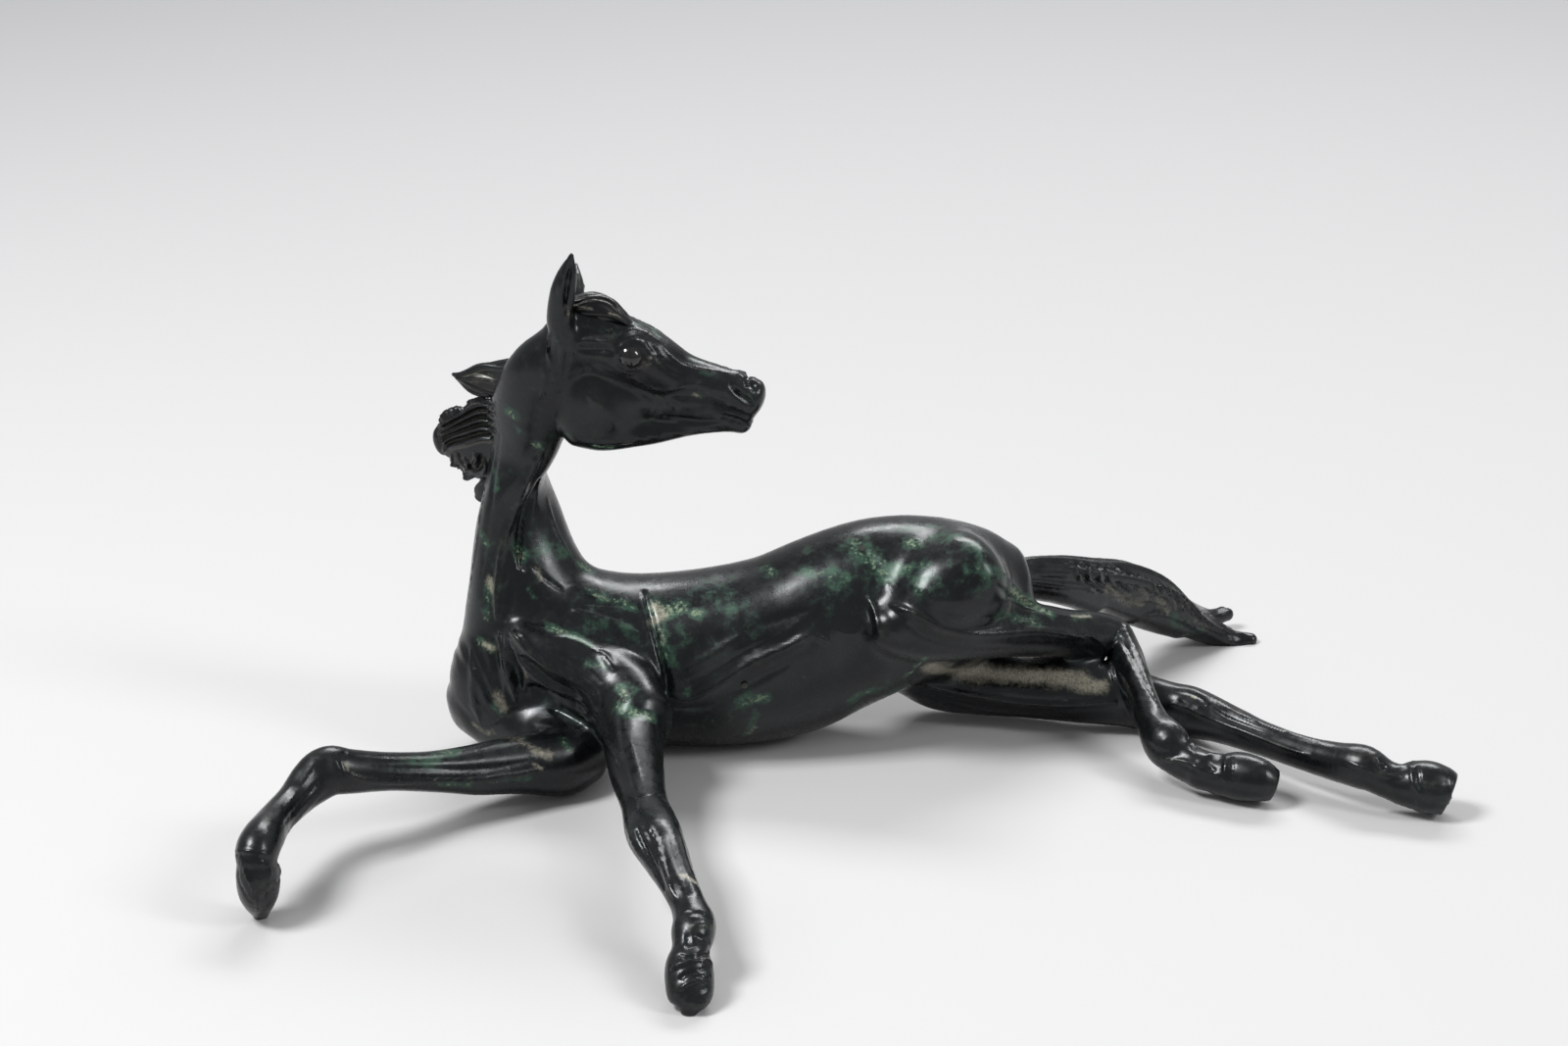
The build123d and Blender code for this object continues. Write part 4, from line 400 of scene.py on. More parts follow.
# ------------------------------------------------------------------ modelled ridges (+) and grooves (-): height, crisp or soft, half width, taper, path
STROKES = [
    (0.9,0,1.22,0.25,[[-81.4,-24.3,182.5],[-76.5,-23.5,182.8],[-70.7,-24.5,182.8],[-65,-24.8,183]]),
    (0.9,0,1.22,0.25,[[-81.4,-3.7,182.5],[-76.5,-4.5,182.8],[-70.7,-3.5,182.8],[-65,-3.2,183]]),
    (-1.1,0,1.61,0.25,[[-81.1,-24.4,179.7],[-75.8,-24.2,179.2],[-70,-25.5,179.7],[-66.1,-26.3,178.7]]),
    (-1.1,0,1.61,0.25,[[-81.1,-3.6,179.7],[-75.8,-3.8,179.2],[-70,-2.5,179.7],[-66.1,-1.7,178.7]]),
    (-0.5,0,2.1,0.25,[[-80.5,-19.1,188.4],[-76.5,-21.3,186.7],[-71.1,-22.8,185.6],[-65.8,-22.9,185.7]]),
    (-0.5,0,2.1,0.25,[[-80.5,-8.9,188.4],[-76.5,-6.7,186.7],[-71.1,-5.2,185.6],[-65.8,-5.1,185.7]]),
    (0.55,0,0.77,0.25,[[-65,-24.4,183.7],[-62,-22.4,185.5],[-58.2,-20,185.9],[-54.8,-19.6,184.5]]),
    (0.55,0,0.77,0.25,[[-65,-3.6,183.7],[-62,-5.6,185.5],[-58.2,-8,185.9],[-54.8,-8.4,184.5]]),
    (-0.5,1,0.42,0.25,[[-63.4,-25.1,182.3],[-61.2,-23.5,184],[-57.8,-21.6,184.6],[-54.4,-21.5,183.1]]),
    (-0.5,1,0.42,0.25,[[-63.4,-2.9,182.3],[-61.2,-4.5,184],[-57.8,-6.4,184.6],[-54.4,-6.5,183.1]]),
    (1,0,0.52,0.12,[[-64.6,-26.6,176.4],[-64,-26.1,179.9],[-61.5,-24.9,182.3],[-57.8,-23.5,182.8],[-54.5,-23.5,181.2],[-52.1,-24.5,178.1]]),
    (1,0,0.52,0.12,[[-64.6,-1.4,176.4],[-64,-1.9,179.9],[-61.5,-3.1,182.3],[-57.8,-4.5,182.8],[-54.5,-4.5,181.2],[-52.1,-3.5,178.1]]),
    (0.75,0,0.48,0.12,[[-64.4,-26.6,176],[-62.6,-26.5,173.4],[-59.5,-26.5,172.1],[-56.5,-26.6,173.2],[-54,-26.1,175],[-51.7,-24.8,177.2]]),
    (0.75,0,0.48,0.12,[[-64.4,-1.4,176],[-62.6,-1.5,173.4],[-59.5,-1.5,172.1],[-56.5,-1.4,173.2],[-54,-1.9,175],[-51.7,-3.2,177.2]]),
    (-0.35,1,0.46,0.25,[[-63.7,-25.1,169.8],[-59.5,-25.3,168.7],[-55.6,-26.1,170.2]]),
    (-0.35,1,0.46,0.25,[[-63.7,-2.9,169.8],[-59.5,-2.7,168.7],[-55.6,-1.9,170.2]]),
    (-0.5,0,0.96,0.25,[[-65.7,-25.4,181.7],[-66.9,-26.3,177.9],[-65.9,-25.9,173]]),
    (-0.5,0,0.96,0.25,[[-65.7,-2.6,181.7],[-66.9,-1.7,177.9],[-65.9,-2.1,173]]),
    (-0.45,0,0.96,0.25,[[-53.6,-22.7,181.5],[-50.9,-23.2,179.3],[-49,-23.7,177.1]]),
    (-0.45,0,0.96,0.25,[[-53.6,-5.3,181.5],[-50.9,-4.8,179.3],[-49,-4.3,177.1]]),
    (0.7,0,0.88,0.25,[[-59.1,-25.4,168.7],[-55.4,-24.1,165.4],[-50.8,-23.1,162.6],[-46.2,-23.2,161.8]]),
    (0.7,0,0.88,0.25,[[-59.1,-2.6,168.7],[-55.4,-3.9,165.4],[-50.8,-4.9,162.6],[-46.2,-4.8,161.8]]),
    (0.6,0,0.77,0.25,[[-46.2,-23.2,161.8],[-40.8,-23.4,163.5],[-36.2,-22.6,164.9],[-30.1,-21.8,163.8]]),
    (0.6,0,0.77,0.25,[[-46.2,-4.8,161.8],[-40.8,-4.6,163.5],[-36.2,-5.4,164.9],[-30.1,-6.2,163.8]]),
    (-0.6,0,1.16,0.25,[[-47.1,-21.9,159.3],[-42.4,-23.1,161.4],[-37,-22.7,161.3],[-30.8,-22.2,160.7]]),
    (-0.6,0,1.16,0.25,[[-47.1,-6.1,159.3],[-42.4,-4.9,161.4],[-37,-5.3,161.3],[-30.8,-5.8,160.7]]),
    (0.55,0,0.85,0.25,[[-61.3,-18.4,187.8],[-55.3,-18.3,185.3],[-49.1,-20,181],[-43,-21.4,174.6],[-37,-20.1,170.9],[-29.3,-18.6,168.8],[-20.9,-16.8,167]]),
    (0.55,0,0.85,0.25,[[-61.3,-9.6,187.8],[-55.3,-9.7,185.3],[-49.1,-8,181],[-43,-6.6,174.6],[-37,-7.9,170.9],[-29.3,-9.4,168.8],[-20.9,-11.2,167]]),
    (-0.6,0,1.92,0.25,[[-50.5,-24.3,177.3],[-45.3,-24.1,171.5],[-38.5,-22.5,167.7],[-29.3,-20.9,165.9]]),
    (-0.6,0,1.92,0.25,[[-50.5,-3.7,177.3],[-45.3,-3.9,171.5],[-38.5,-5.5,167.7],[-29.3,-7.1,165.9]]),
    (-1.2,0,0.93,0.25,[[-49.7,-23.1,162.2],[-49.4,-21,157.4],[-50.7,-20.8,152.4],[-52.8,-18.5,146.6]]),
    (-1.2,0,0.93,0.25,[[-49.7,-4.9,162.2],[-49.4,-7,157.4],[-50.7,-7.2,152.4],[-52.8,-9.5,146.6]]),
    (0.5,0,1.93,0.25,[[-86.2,-21.6,167.4],[-77,-20.6,170.3],[-66.2,-22.1,166.7],[-57.9,-20.6,161.3],[-53.3,-21.1,156.6]]),
    (0.5,0,1.93,0.25,[[-86.2,-6.4,167.4],[-77,-7.4,170.3],[-66.2,-5.9,166.7],[-57.9,-7.4,161.3],[-53.3,-6.9,156.6]]),
    (0.9,0,3.48,0.25,[[-77,-23.2,161.4],[-71.7,-24.4,156.1],[-67.2,-23.7,149.3],[-64.3,-22.4,144.7]]),
    (0.9,0,3.48,0.25,[[-77,-4.8,161.4],[-71.7,-3.6,156.1],[-67.2,-4.3,149.3],[-64.3,-5.6,144.7]]),
    (-0.25,0,0.5,0.25,[[-80.9,-21.4,164.1],[-77.1,-24,157.6],[-74.1,-24.4,150.4]]),
    (-0.25,0,0.5,0.25,[[-80.9,-6.6,164.1],[-77.1,-4,157.6],[-74.1,-3.6,150.4]]),
    (1,0,1.62,0.25,[[-45.6,-21.4,157.9],[-44.1,-21,155.7],[-41.8,-20.8,154]]),
    (1,0,1.62,0.25,[[-45.6,-6.6,157.9],[-44.1,-7,155.7],[-41.8,-7.2,154]]),
    (0.45,0,1.55,0.25,[[-41.8,-20.8,154.8],[-34.8,-20.5,154.3],[-27.8,-20.7,154.8]]),
    (0.45,0,1.55,0.25,[[-41.8,-7.2,154.8],[-34.8,-7.5,154.3],[-27.8,-7.3,154.8]]),
    (-0.9,0,1.24,0.25,[[-48.4,-20.1,150.5],[-38.8,-19.5,148.6],[-30.3,-19.6,147.8],[-24,-19.8,149.1]]),
    (-0.9,0,1.24,0.25,[[-48.4,-7.9,150.5],[-38.8,-8.5,148.6],[-30.3,-8.4,147.8],[-24,-8.2,149.1]]),
    (-1.9,1,0.45,0.1,[[-26,-20,150.6],[-22.5,-19.9,149.8],[-18.6,-19.7,148.5],[-14.8,-18.7,146.5],[-10.9,-14.6,143.1]]),
    (-1.9,1,0.45,0.1,[[-26,-8,150.6],[-22.5,-8.1,149.8],[-18.6,-8.3,148.5],[-14.8,-9.3,146.5],[-10.9,-13.4,143.1]]),
    (0.45,0,0.54,0.25,[[-24,-20.2,151.7],[-19.4,-20.2,150.7],[-14.7,-19.7,148.9],[-11.3,-14.7,145.4]]),
    (0.45,0,0.54,0.25,[[-24,-7.8,151.7],[-19.4,-7.8,150.7],[-14.7,-8.3,148.9],[-11.3,-13.3,145.4]]),
    (-0.6,0,0.58,0.25,[[-27.9,-20,150.9],[-26,-20,150.2],[-24.8,-19.8,148.7]]),
    (-0.6,0,0.58,0.25,[[-27.9,-8,150.9],[-26,-8,150.2],[-24.8,-8.2,148.7]]),
    (0.5,0,1.01,0.25,[[-23.3,-19.6,147],[-19.4,-19.2,144.8],[-15.5,-18.5,143.9]]),
    (0.5,0,1.01,0.25,[[-23.3,-8.4,147],[-19.4,-8.8,144.8],[-15.5,-9.5,143.9]]),
    (-0.6,0,0.7,0.25,[[-32.2,-19.3,144],[-28,-19.3,144.4],[-24.5,-19.2,144.6]]),
    (-0.6,0,0.7,0.25,[[-32.2,-8.7,144],[-28,-8.7,144.4],[-24.5,-8.8,144.6]]),
    (-2.2,0,1,0.3,[[-21.2,-20.2,164.1],[-19.3,-21.1,161.9],[-16.6,-21.5,159.4],[-13.9,-21.6,157.2],[-11.6,-21.3,155.4]]),
    (-2.2,0,1,0.3,[[-21.2,-7.8,164.1],[-19.3,-6.9,161.9],[-16.6,-6.5,159.4],[-13.9,-6.4,157.2],[-11.6,-6.7,155.4]]),
    (1.1,0,0.42,0.25,[[-17.4,-17.6,165.4],[-15.1,-19.3,162.9],[-13.1,-20.7,159.7],[-12,-21.3,157.1]]),
    (1.1,0,0.42,0.25,[[-17.4,-10.4,165.4],[-15.1,-8.7,162.9],[-13.1,-7.3,159.7],[-12,-6.7,157.1]]),
    (-2,0,0.95,0.25,[[-20.3,301.5,56.6],[-13.9,-14.7,165],[-12.2,-17.5,163.1],[-11.4,-19.4,160.9]]),
    (-2,0,0.95,0.25,[[-20.3,-329.5,56.6],[-13.9,-13.3,165],[-12.2,-10.5,163.1],[-11.4,-8.6,160.9]]),
    (0.6,0,0.62,0.25,[[-20.1,-15.9,167.1],[-16.7,-10.9,166.7],[-13.2,-11.1,165.8],[-10.5,-11.8,163.2]]),
    (0.6,0,0.62,0.25,[[-20.1,-12.1,167.1],[-16.7,-17.1,166.7],[-13.2,-16.9,165.8],[-10.5,-16.2,163.2]]),
    (-0.7,1,0.42,0.25,[[-27.8,-21.9,161],[-25.1,-21.9,159.9],[-22,-21.9,159.3]]),
    (-0.7,1,0.42,0.25,[[-27.8,-6.1,161],[-25.1,-6.1,159.9],[-22,-6.1,159.3]]),
    (0.45,0,0.46,0.25,[[-28.1,-21.8,162.2],[-24.7,-21.7,161.3],[-21.2,-21.8,160.1]]),
    (0.45,0,0.46,0.25,[[-28.1,-6.2,162.2],[-24.7,-6.3,161.3],[-21.2,-6.2,160.1]]),
    (0.55,0,1.24,0.25,[[-22.8,-21.7,156.8],[-18.5,-21.6,154.7],[-14.7,-21.4,153],[-12.4,-20.4,151.4]]),
    (0.55,0,1.24,0.25,[[-22.8,-6.3,156.8],[-18.5,-6.4,154.7],[-14.7,-6.6,153],[-12.4,-7.6,151.4]]),
    (0.7,1,0.39,0.1,[[-80.7,-22.1,140.3],[-73.7,-22.7,139.9],[-64.8,-22,139.5],[-56.3,-20.8,140.6],[-49.3,-20.3,142.1],[-42,-19.7,142.7],[-33.4,-19,143]]),
    (0.7,1,0.39,0.1,[[-80.7,-5.9,140.3],[-73.7,-5.3,139.9],[-64.8,-6,139.5],[-56.3,-7.2,140.6],[-49.3,-7.7,142.1],[-42,-8.3,142.7],[-33.4,-9,143]]),
    (-0.55,0,0.7,0.25,[[-77.7,-21,137.8],[-68,-21.3,137.5],[-58.3,-20.2,138.3],[-49.8,-19.8,140]]),
    (-0.55,0,0.7,0.25,[[-77.7,-7,137.8],[-68,-6.7,137.5],[-58.3,-7.8,138.3],[-49.8,-8.2,140]]),
    (0.6,1,0.35,0.1,[[-89.1,-26.2,189.2],[-91.5,-22,182.9],[-91.7,-21.7,176.4],[-90.8,-21.9,168.3],[-89.9,-21.2,162.4],[-88.8,-20.9,160.6],[-87.2,-21,162.3],[-86.1,-22,169.2],[-86.2,-24.2,177.2],[-85.5,-26,184.7]]),
    (0.6,1,0.35,0.1,[[-89.1,-1.8,189.2],[-91.5,-6,182.9],[-91.7,-6.3,176.4],[-90.8,-6.1,168.3],[-89.9,-6.8,162.4],[-88.8,-7.1,160.6],[-87.2,-7,162.3],[-86.1,-6,169.2],[-86.2,-3.8,177.2],[-85.5,-2,184.7]]),
    (-0.5,0,1,0.25,[[-88.3,-25,182.3],[-88.7,-22.7,173.5],[-88.6,-21.6,164.9]]),
    (-0.5,0,1,0.25,[[-88.3,-3,182.3],[-88.7,-5.3,173.5],[-88.6,-6.4,164.9]]),
    (0.8,0,0.5,0.25,[[-93.1,-20.9,176.9],[-93.6,-21.5,170.6],[-94.5,-21.1,163.2],[-95.8,-19.6,154.8]]),
    (-0.6,0,0.5,0.25,[[-91.6,-21.9,174.8],[-92.4,-21.7,167],[-93.4,-20.9,160.6]]),
    (-0.5,0,1.15,0.25,[[-85.2,-26.7,190.9],[-82.4,-24.2,188.9],[-79.7,-19.1,188.4]]),
    (-0.5,0,1.15,0.25,[[-85.2,-1.3,190.9],[-82.4,-3.8,188.9],[-79.7,-8.9,188.4]]),
    (-2.6,0,1.14,0.25,[[-84.4,-26.9,194.2],[-84.5,-27.8,200.8],[-83.6,-28,207.2],[-82.3,-27.5,213.4],[-81.5,-26.9,217.2]]),
    (0.6,0,0.42,0.25,[[-80.2,-19.4,196.5],[-81.4,9.6,192.9],[-82.4,15.7,197.6],[-80.8,-26.2,216.9]]),
    (0.6,0,0.38,0.25,[[-86.8,-27.6,201.6],[-86.7,-27.3,207],[-85.4,-26.9,212.4],[-83,-26.1,218.1]]),
    (0.9,0,0.61,0.25,[[-90.8,-25,188],[-91.6,-21.4,180.3],[-91,-22.1,173.2],[-89.7,-21.7,165.8],[-88.7,-21,161]]),
    (-0.8,0,0.69,0.25,[[-84.6,-26.1,187.5],[-84.4,-25.4,181.7],[-85.6,-22.9,172.7],[-87.5,-21.3,164]]),
    (2.1,0,1.5,0.12,[[-96.6,-14,134.5],[-99.2,-12.8,128.6],[-102.5,-13.3,122.1],[-106.3,-13.1,114.4],[-110.2,-13,104.6],[-113.2,-14.4,94.5],[-114.9,-17.1,83.6],[-115.7,-20.8,74],[-116.2,-24.2,64.3]]),
    (0.7,1,0.39,0.25,[[-97.7,-12.5,128.5],[-99.8,-12.5,122.6],[-104,-12.1,115.7],[-108.2,-12.2,106.9],[-111.2,-13.6,98],[-112.1,-15,91.3]]),
    (-2.9,0,1.82,0.25,[[-98.5,-9.9,120.4],[-101.7,-7.6,112.7],[-104.5,-9.6,105.4],[-106.6,-12.3,96.7],[-107,-15,89.2],[-105.8,-18.4,82]]),
    (0.45,0,0.52,0.25,[[-114.3,-7.2,147.5],[-116.9,-1.9,132.9],[-119.1,0,119.5],[-121.4,-5.8,108.2],[-123.6,-8.8,95.2],[-126.1,-9.1,80.3],[-128,-11.1,67.2]]),
    (-0.45,0,1.58,0.25,[[-113,-7.8,139.3],[-115.2,-5.9,126],[-117.2,-11.5,111.2],[-120.1,-12.8,94.7],[-122.5,-15,78.4]]),
    (0.5,0,1.2,0.25,[[-97.4,2.2,108],[-95.1,-0.7,98.4],[-91.5,-3.3,90],[-86.5,-4.4,82.6]]),
    (0.5,0,1.19,0.25,[[-110.9,-19.3,80.3],[-112.5,-22.3,72.9],[-114.1,-24.8,65.4]]),
    (-0.5,0,1.19,0.25,[[-103.1,-15.8,85.2],[-96.8,-17.6,79.5],[-89.3,-18.3,74.2]]),
    (-0.5,0,0.63,0.25,[[-109.3,-21.2,76.8],[-110.1,-24,70.2],[-112.4,-26.8,63.6]]),
    (1.8,0,1.27,0.25,[[-114.9,-26.6,61],[-113.6,-31.1,54.3],[-111.8,-32.2,45.3],[-109.9,-33.6,38],[-108,-35,32.6]]),
    (-1.4,0,1.59,0.25,[[-117.4,-26.2,58.2],[-117.1,-29,49.9],[-115.9,-31.6,41.5],[-114.5,-32.8,35.9]]),
    (-2.4,0,1.74,0.25,[[-110.8,-32.8,60.3],[-109.8,-34.1,52.2],[-108.2,-33.6,43.3],[-106.7,-34.2,37.5]]),
    (2.4,0,1.73,0.12,[[-110.1,-30.9,62.4],[-106.7,-35,60.4],[-102.3,-37.8,56.5],[-96.3,-40.6,52.6],[-89.6,-42.7,49.2],[-82.4,-45,46],[-77.3,-47.5,42.8],[-74.9,-49.7,39.1],[-74.5,-51.2,34.2]]),
    (-2.8,0,2.75,0.25,[[-106.4,-36.8,54.3],[-101.2,-39.3,49.4],[-95.3,-41.6,45.3],[-88.5,-43.9,42.5],[-81.7,-46.5,39.8]]),
    (-3,0,3.55,0.25,[[-103,-35.1,39.6],[-94.9,-38.5,36.8],[-86.7,-43.7,35.8],[-79.4,-47.3,34.9]]),
    (-1.6,0,2.37,0.25,[[-95.1,-38.2,31.5],[-84.9,-43,30.3],[-78.9,-46.1,28.3]]),
    (0.7,0,2,0.25,[[-127.7,-21.5,50],[-126.7,-26.4,42.6],[-126.8,-28.3,34.7],[-125.8,-29.4,27.3],[-124.1,-29.4,20.2]]),
    (0.5,0,2.79,0.25,[[-125.9,-25.9,44.1],[-123.4,-29.7,37.1],[-121.1,-31.5,30]]),
    (-0.7,0,0.88,0.25,[[-125.9,-27.9,18.6],[-119.8,-32.4,21.6],[-112.9,-35.5,26.7],[-107.2,-36.1,30.4]]),
    (0.7,0,2.57,0.25,[[-102.9,-41.5,26.5],[-97.9,-44.9,26.4],[-92.2,-47.3,27.1]]),
    (0.6,0,0.59,0.25,[[-90.3,-25.9,65.4],[-90.5,-28.9,62.9],[-91.9,-32.6,61.5]]),
    (-0.5,1,0.64,0.25,[[-88.1,-20.2,71.6],[-82.6,-20,70.2],[-76.3,-19.7,69.2],[-70,-18.9,68.4],[-61.7,-17.9,67.1]]),
    (1.3,0,2.97,0.25,[[-86,-22.9,68],[-77.7,-24.2,65.1],[-69,-25.1,62.5],[-58.7,-25.8,59.3]]),
    (0.5,0,1.97,0.25,[[-92.2,-34,60.8],[-82.8,-33.9,58.6],[-74,-37.9,54.8],[-67.5,-43.7,51.4]]),
    (-0.4,0,1.18,0.25,[[-94.4,-38.2,57.5],[-86.5,-40.3,54.2],[-78.5,-43.2,50.3],[-72.1,-47.6,46.3]]),
    (1,0,1.97,0.25,[[-74.1,-35.9,55.6],[-70.8,-40.2,53.3],[-67.4,-45.2,50.4]]),
    (-2,0,1.19,0.15,[[-58.1,-7.4,70.9],[-54.9,-18.2,66],[-52.4,-25.6,59.2],[-49.9,-30.3,51.4],[-47.6,-33.1,43.1],[-46.9,-33.6,36.3],[-47.3,-54.2,39.1]]),
    (0.6,0,1.19,0.25,[[-54.8,-24.2,60.8],[-52.3,-29.7,52.8],[-49.9,-33.2,44.9],[-49.1,-46.6,43.3]]),
    (1,0,1,0.25,[[-76.2,-49.3,33.3],[-73.6,-54.9,30.8],[-70.4,-69,32.4],[-66.9,-83.4,34.4],[-62.8,-97.6,35.5]]),
    (0.4,0,1.52,0.25,[[-61.5,-74.9,39.2],[-57.6,-94,37.9],[-54.1,-112.9,36.9]]),
    (-0.4,0,1,0.25,[[-51.2,-63.1,37.8],[-49.2,-78,34.3],[-48,-98.5,33.8]]),
    (1,0,0.92,0.12,[[-93.5,-66.2,18.1],[-102.9,-70.4,18],[-114,-76,18.7],[-125.1,-81.4,20.1],[-137.7,-88.1,23.5],[-149.9,-96.3,27.3],[-160.1,-104.1,32],[-167.8,-108.7,37.3]]),
    (-0.6,0,1.53,0.25,[[-99.2,-66.8,22.3],[-112.2,-73.8,22.7],[-125,-80.2,24.7],[-137.6,-86.8,28.4],[-149.8,-95.1,32.6],[-159,-101.3,36.9]]),
    (0.5,0,0.82,0.25,[[-167.8,-108.7,37.3],[-170.3,-108.8,40.3],[-171.5,-106.6,43.3]]),
    (-0.6,0,0.9,0.25,[[-168.4,-102,43.6],[-169,-106.6,41.7],[-167.8,-108.8,36.9]]),
    (0.45,0,1.11,0.25,[[-178.7,-109.1,43.3],[-180.8,-114.2,39.6],[-184.3,-121.8,36],[-187.2,-134.7,35.2]]),
    (-0.6,0,0.89,0.25,[[-175.5,-112.5,38.8],[-179.5,-117.5,34.6],[-183.9,-128.5,32],[-186.1,-142.8,32.9]]),
    (0.5,0,0.74,0.25,[[-173.1,-112.4,34.6],[-178.3,-117,30.6],[-183.1,-126.2,27.5],[-185.8,-140,27.3]]),
    (0.9,0,0.54,0.08,[[-202.1,-157.8,30.2],[-197.7,-161.9,32.3],[-193.3,-162.4,32],[-189.6,-161.1,30.3],[-184.7,-168.8,32.8]]),
    (-0.9,0,0.43,0.08,[[-201.9,-159.2,28.9],[-196.8,-163.3,30.9],[-191.7,-167.3,32.4],[-188.8,-161,27.4]]),
    (1,0,0.43,0.25,[[-199,-163.2,27.8],[-197.7,-164.5,24.8],[-195.5,-166.3,20.9],[-193.9,-165.5,14.8]]),
    (-0.6,0,0.65,0.25,[[-200.7,-161.5,25.7],[-200.8,-162.6,21.4],[-198.9,-164.6,17.6],[-196.3,-164.6,12.6]]),
    (0.4,0,0.58,0.25,[[-189.1,-161.6,26.5],[-188.7,-162.9,23.1],[-190,-164.8,20.9]]),
    (0.9,0,0.4,0.25,[[-187.4,-151.2,15.1],[-188,-162.5,19.3],[-190.5,-165.1,18.2],[-193.1,-165.6,15.7],[-194.2,-163.5,9.6],[-194.6,-157.2,1.9]]),
    (-1,0,0.51,0.25,[[-185.9,-155.7,16.4],[-187.6,-161.4,16.6],[-190.1,-164.2,15.7],[-191.8,-164.1,12.4]]),
    (0.6,0,0.72,0.25,[[-187.5,-158.2,26.3],[-186.2,-154.8,20.4],[-186.7,-159,19.4]]),
    (0.6,0,0.59,0.25,[[-56.1,-128.2,36.4],[-55.4,-134.8,36.9],[-55.1,-141.1,36.9]]),
    (-0.55,0,0.89,0.25,[[-59.5,-118.4,34.3],[-54.7,-126.8,36.9],[-48.8,-126.1,37],[-45.5,-115.8,32.9]]),
    (-0.7,1,0.48,0.25,[[-45.9,-123.4,35.2],[-43,-133.8,35.6],[-40.1,-142.1,34.9],[-38.2,-147.6,32.9]]),
    (0.5,0,0.48,0.25,[[-47.6,-119.2,35.5],[-43.9,-128.2,34.8],[-40.6,-138.1,34.5]]),
    (1.3,0,0.72,0.15,[[-51.1,-149.8,36.9],[-48.4,-154.2,35.6],[-46.4,-160,33.8],[-44.2,-171.1,31.6],[-41.4,-181.4,29.2],[-38.7,-188.8,26.1]]),
    (-1.5,0,0.93,0.15,[[-54.8,-148.2,35.7],[-52.8,-154.7,33.4],[-50,-162,30.8],[-46.4,-172.1,29],[-42.5,-182.5,26.6]]),
    (0.6,0,0.87,0.25,[[-58.4,-143.6,33.3],[-56.2,-152.1,31.2],[-53.5,-157.4,28.4],[-49.5,-166.2,27.4]]),
    (0.5,0,0.93,0.25,[[-39.3,-145.8,34.4],[-37.2,-156.8,32.1],[-34.3,-170.9,30.8],[-31.1,-182.6,28.3]]),
    (-0.5,0,0.86,0.25,[[-41.9,-153.4,35.1],[-39.4,-166.5,33.2],[-36.1,-180.5,31.1],[-33.8,-188.7,28.1]]),
    (-0.8,0,0.77,0.25,[[-37.1,-196.5,25.2],[-32.8,-197.5,26.6],[-28.7,-197.4,25.7],[-25.5,-197.3,22.9]]),
    (0.6,0,1.05,0.25,[[-32.7,-202.9,24.1],[-29.3,-201.6,24.1],[-25.9,-199.8,21.9]]),
    (-0.8,0,0.83,0.25,[[-34.8,-204,22.7],[-34,-207.2,20.5],[-34.6,-210.4,19.2]]),
    (-0.9,0,0.7,0.25,[[-31.6,-205.1,22.1],[-29.2,-205.5,20.4],[-26.2,-203.1,17.4]]),
    (-1.5,0,0.66,0.25,[[-38.1,-211.4,17.8],[-33.9,-214,17.8],[-29.8,-212.4,17.6],[-25.8,-203.9,14.3]]),
    (1.3,0,0.83,0.25,[[-40.1,-216.5,13.3],[-38.3,-215.9,15.3],[-35.2,-215.6,16.7],[-31.1,-214.5,17.1],[-27,-212.2,15.5],[-25.3,-211.6,12.8]]),
    (-1.3,0,0.55,0.25,[[-37.9,-220.5,11.3],[-34.5,-219.1,14],[-30.4,-217.5,14.7],[-26.3,-214.6,13.4]]),
    (1.3,0,0.55,0.25,[[-38.2,-222.7,7],[-36.5,-222.2,9.9],[-33.4,-221.4,11.8],[-29.3,-219.6,12.4],[-25.3,-215.1,11.3]]),
    (-0.5,0,0.69,0.25,[[-36.5,-223.6,4],[-33,-223.8,8.1],[-28.9,-222,9.4],[-25.2,-218.2,8.7]]),
    (0.5,0,0.9,0.25,[[-31.6,-224.6,5.4],[-28.9,-223.9,4.2],[-26.9,-222.2,5.6]]),
    (1.7,0,2.38,0.1,[[-46.1,-33.3,35.3],[-42.2,-32.9,33.5],[-37,-32.9,33.8],[-31,-33.1,36.9],[-24.6,-33,40.8],[-19,-32.4,44.5],[-12.7,-31.4,48.4],[-5.9,-30.3,51.4],[0.8,-29.3,54],[7.1,-28.1,57.3],[11.9,-27.3,59.6]]),
    (-1,0,2.78,0.25,[[-43.8,-32.1,28.5],[-33.9,-32.1,28.6],[-21.9,-32.8,35],[-9.9,-32.1,41.7],[2,-30.6,47.2]]),
    (1,0,1.19,0.25,[[11.9,-27.3,59.6],[15.1,-27.8,57.6],[18.2,-27.9,55.5]]),
    (0.9,0,2.58,0.25,[[-39.6,-32.2,46.1],[-31.7,-31.2,50],[-23.8,-29.6,54.5],[-16.6,-27.3,59.1]]),
    (-0.7,0,1.59,0.25,[[-39.7,-33,40.4],[-30.9,-32.7,43.7],[-21.8,-31.5,49.3],[-12.7,-29.8,53.7],[-4,-27.9,58.1]]),
    (-0.5,0,2.38,0.25,[[-11.9,-25.9,61.5],[0,-24.3,65.1],[9.9,-23.5,68.3]]),
    (0.4,0,1.58,0.25,[[-7.9,-28.7,56.3],[0.8,-27.1,59.9],[7.9,-25.2,64.7]]),
    (0.9,0,3.17,0.25,[[19,-26.4,61.8],[24.6,-26.6,59.2],[30.1,-26.8,59.3]]),
    (1.1,0,1.03,0.25,[[33.3,-21,74.1],[35.6,-23.8,70.6],[37.1,-28.2,67.8],[38.3,-31.7,64.1],[39.1,-32.6,60.2]]),
    (-0.9,0,1.42,0.25,[[31.3,-22.1,72],[33.3,-25,68],[34.8,-28.6,64.5],[35.6,-30.4,60.1]]),
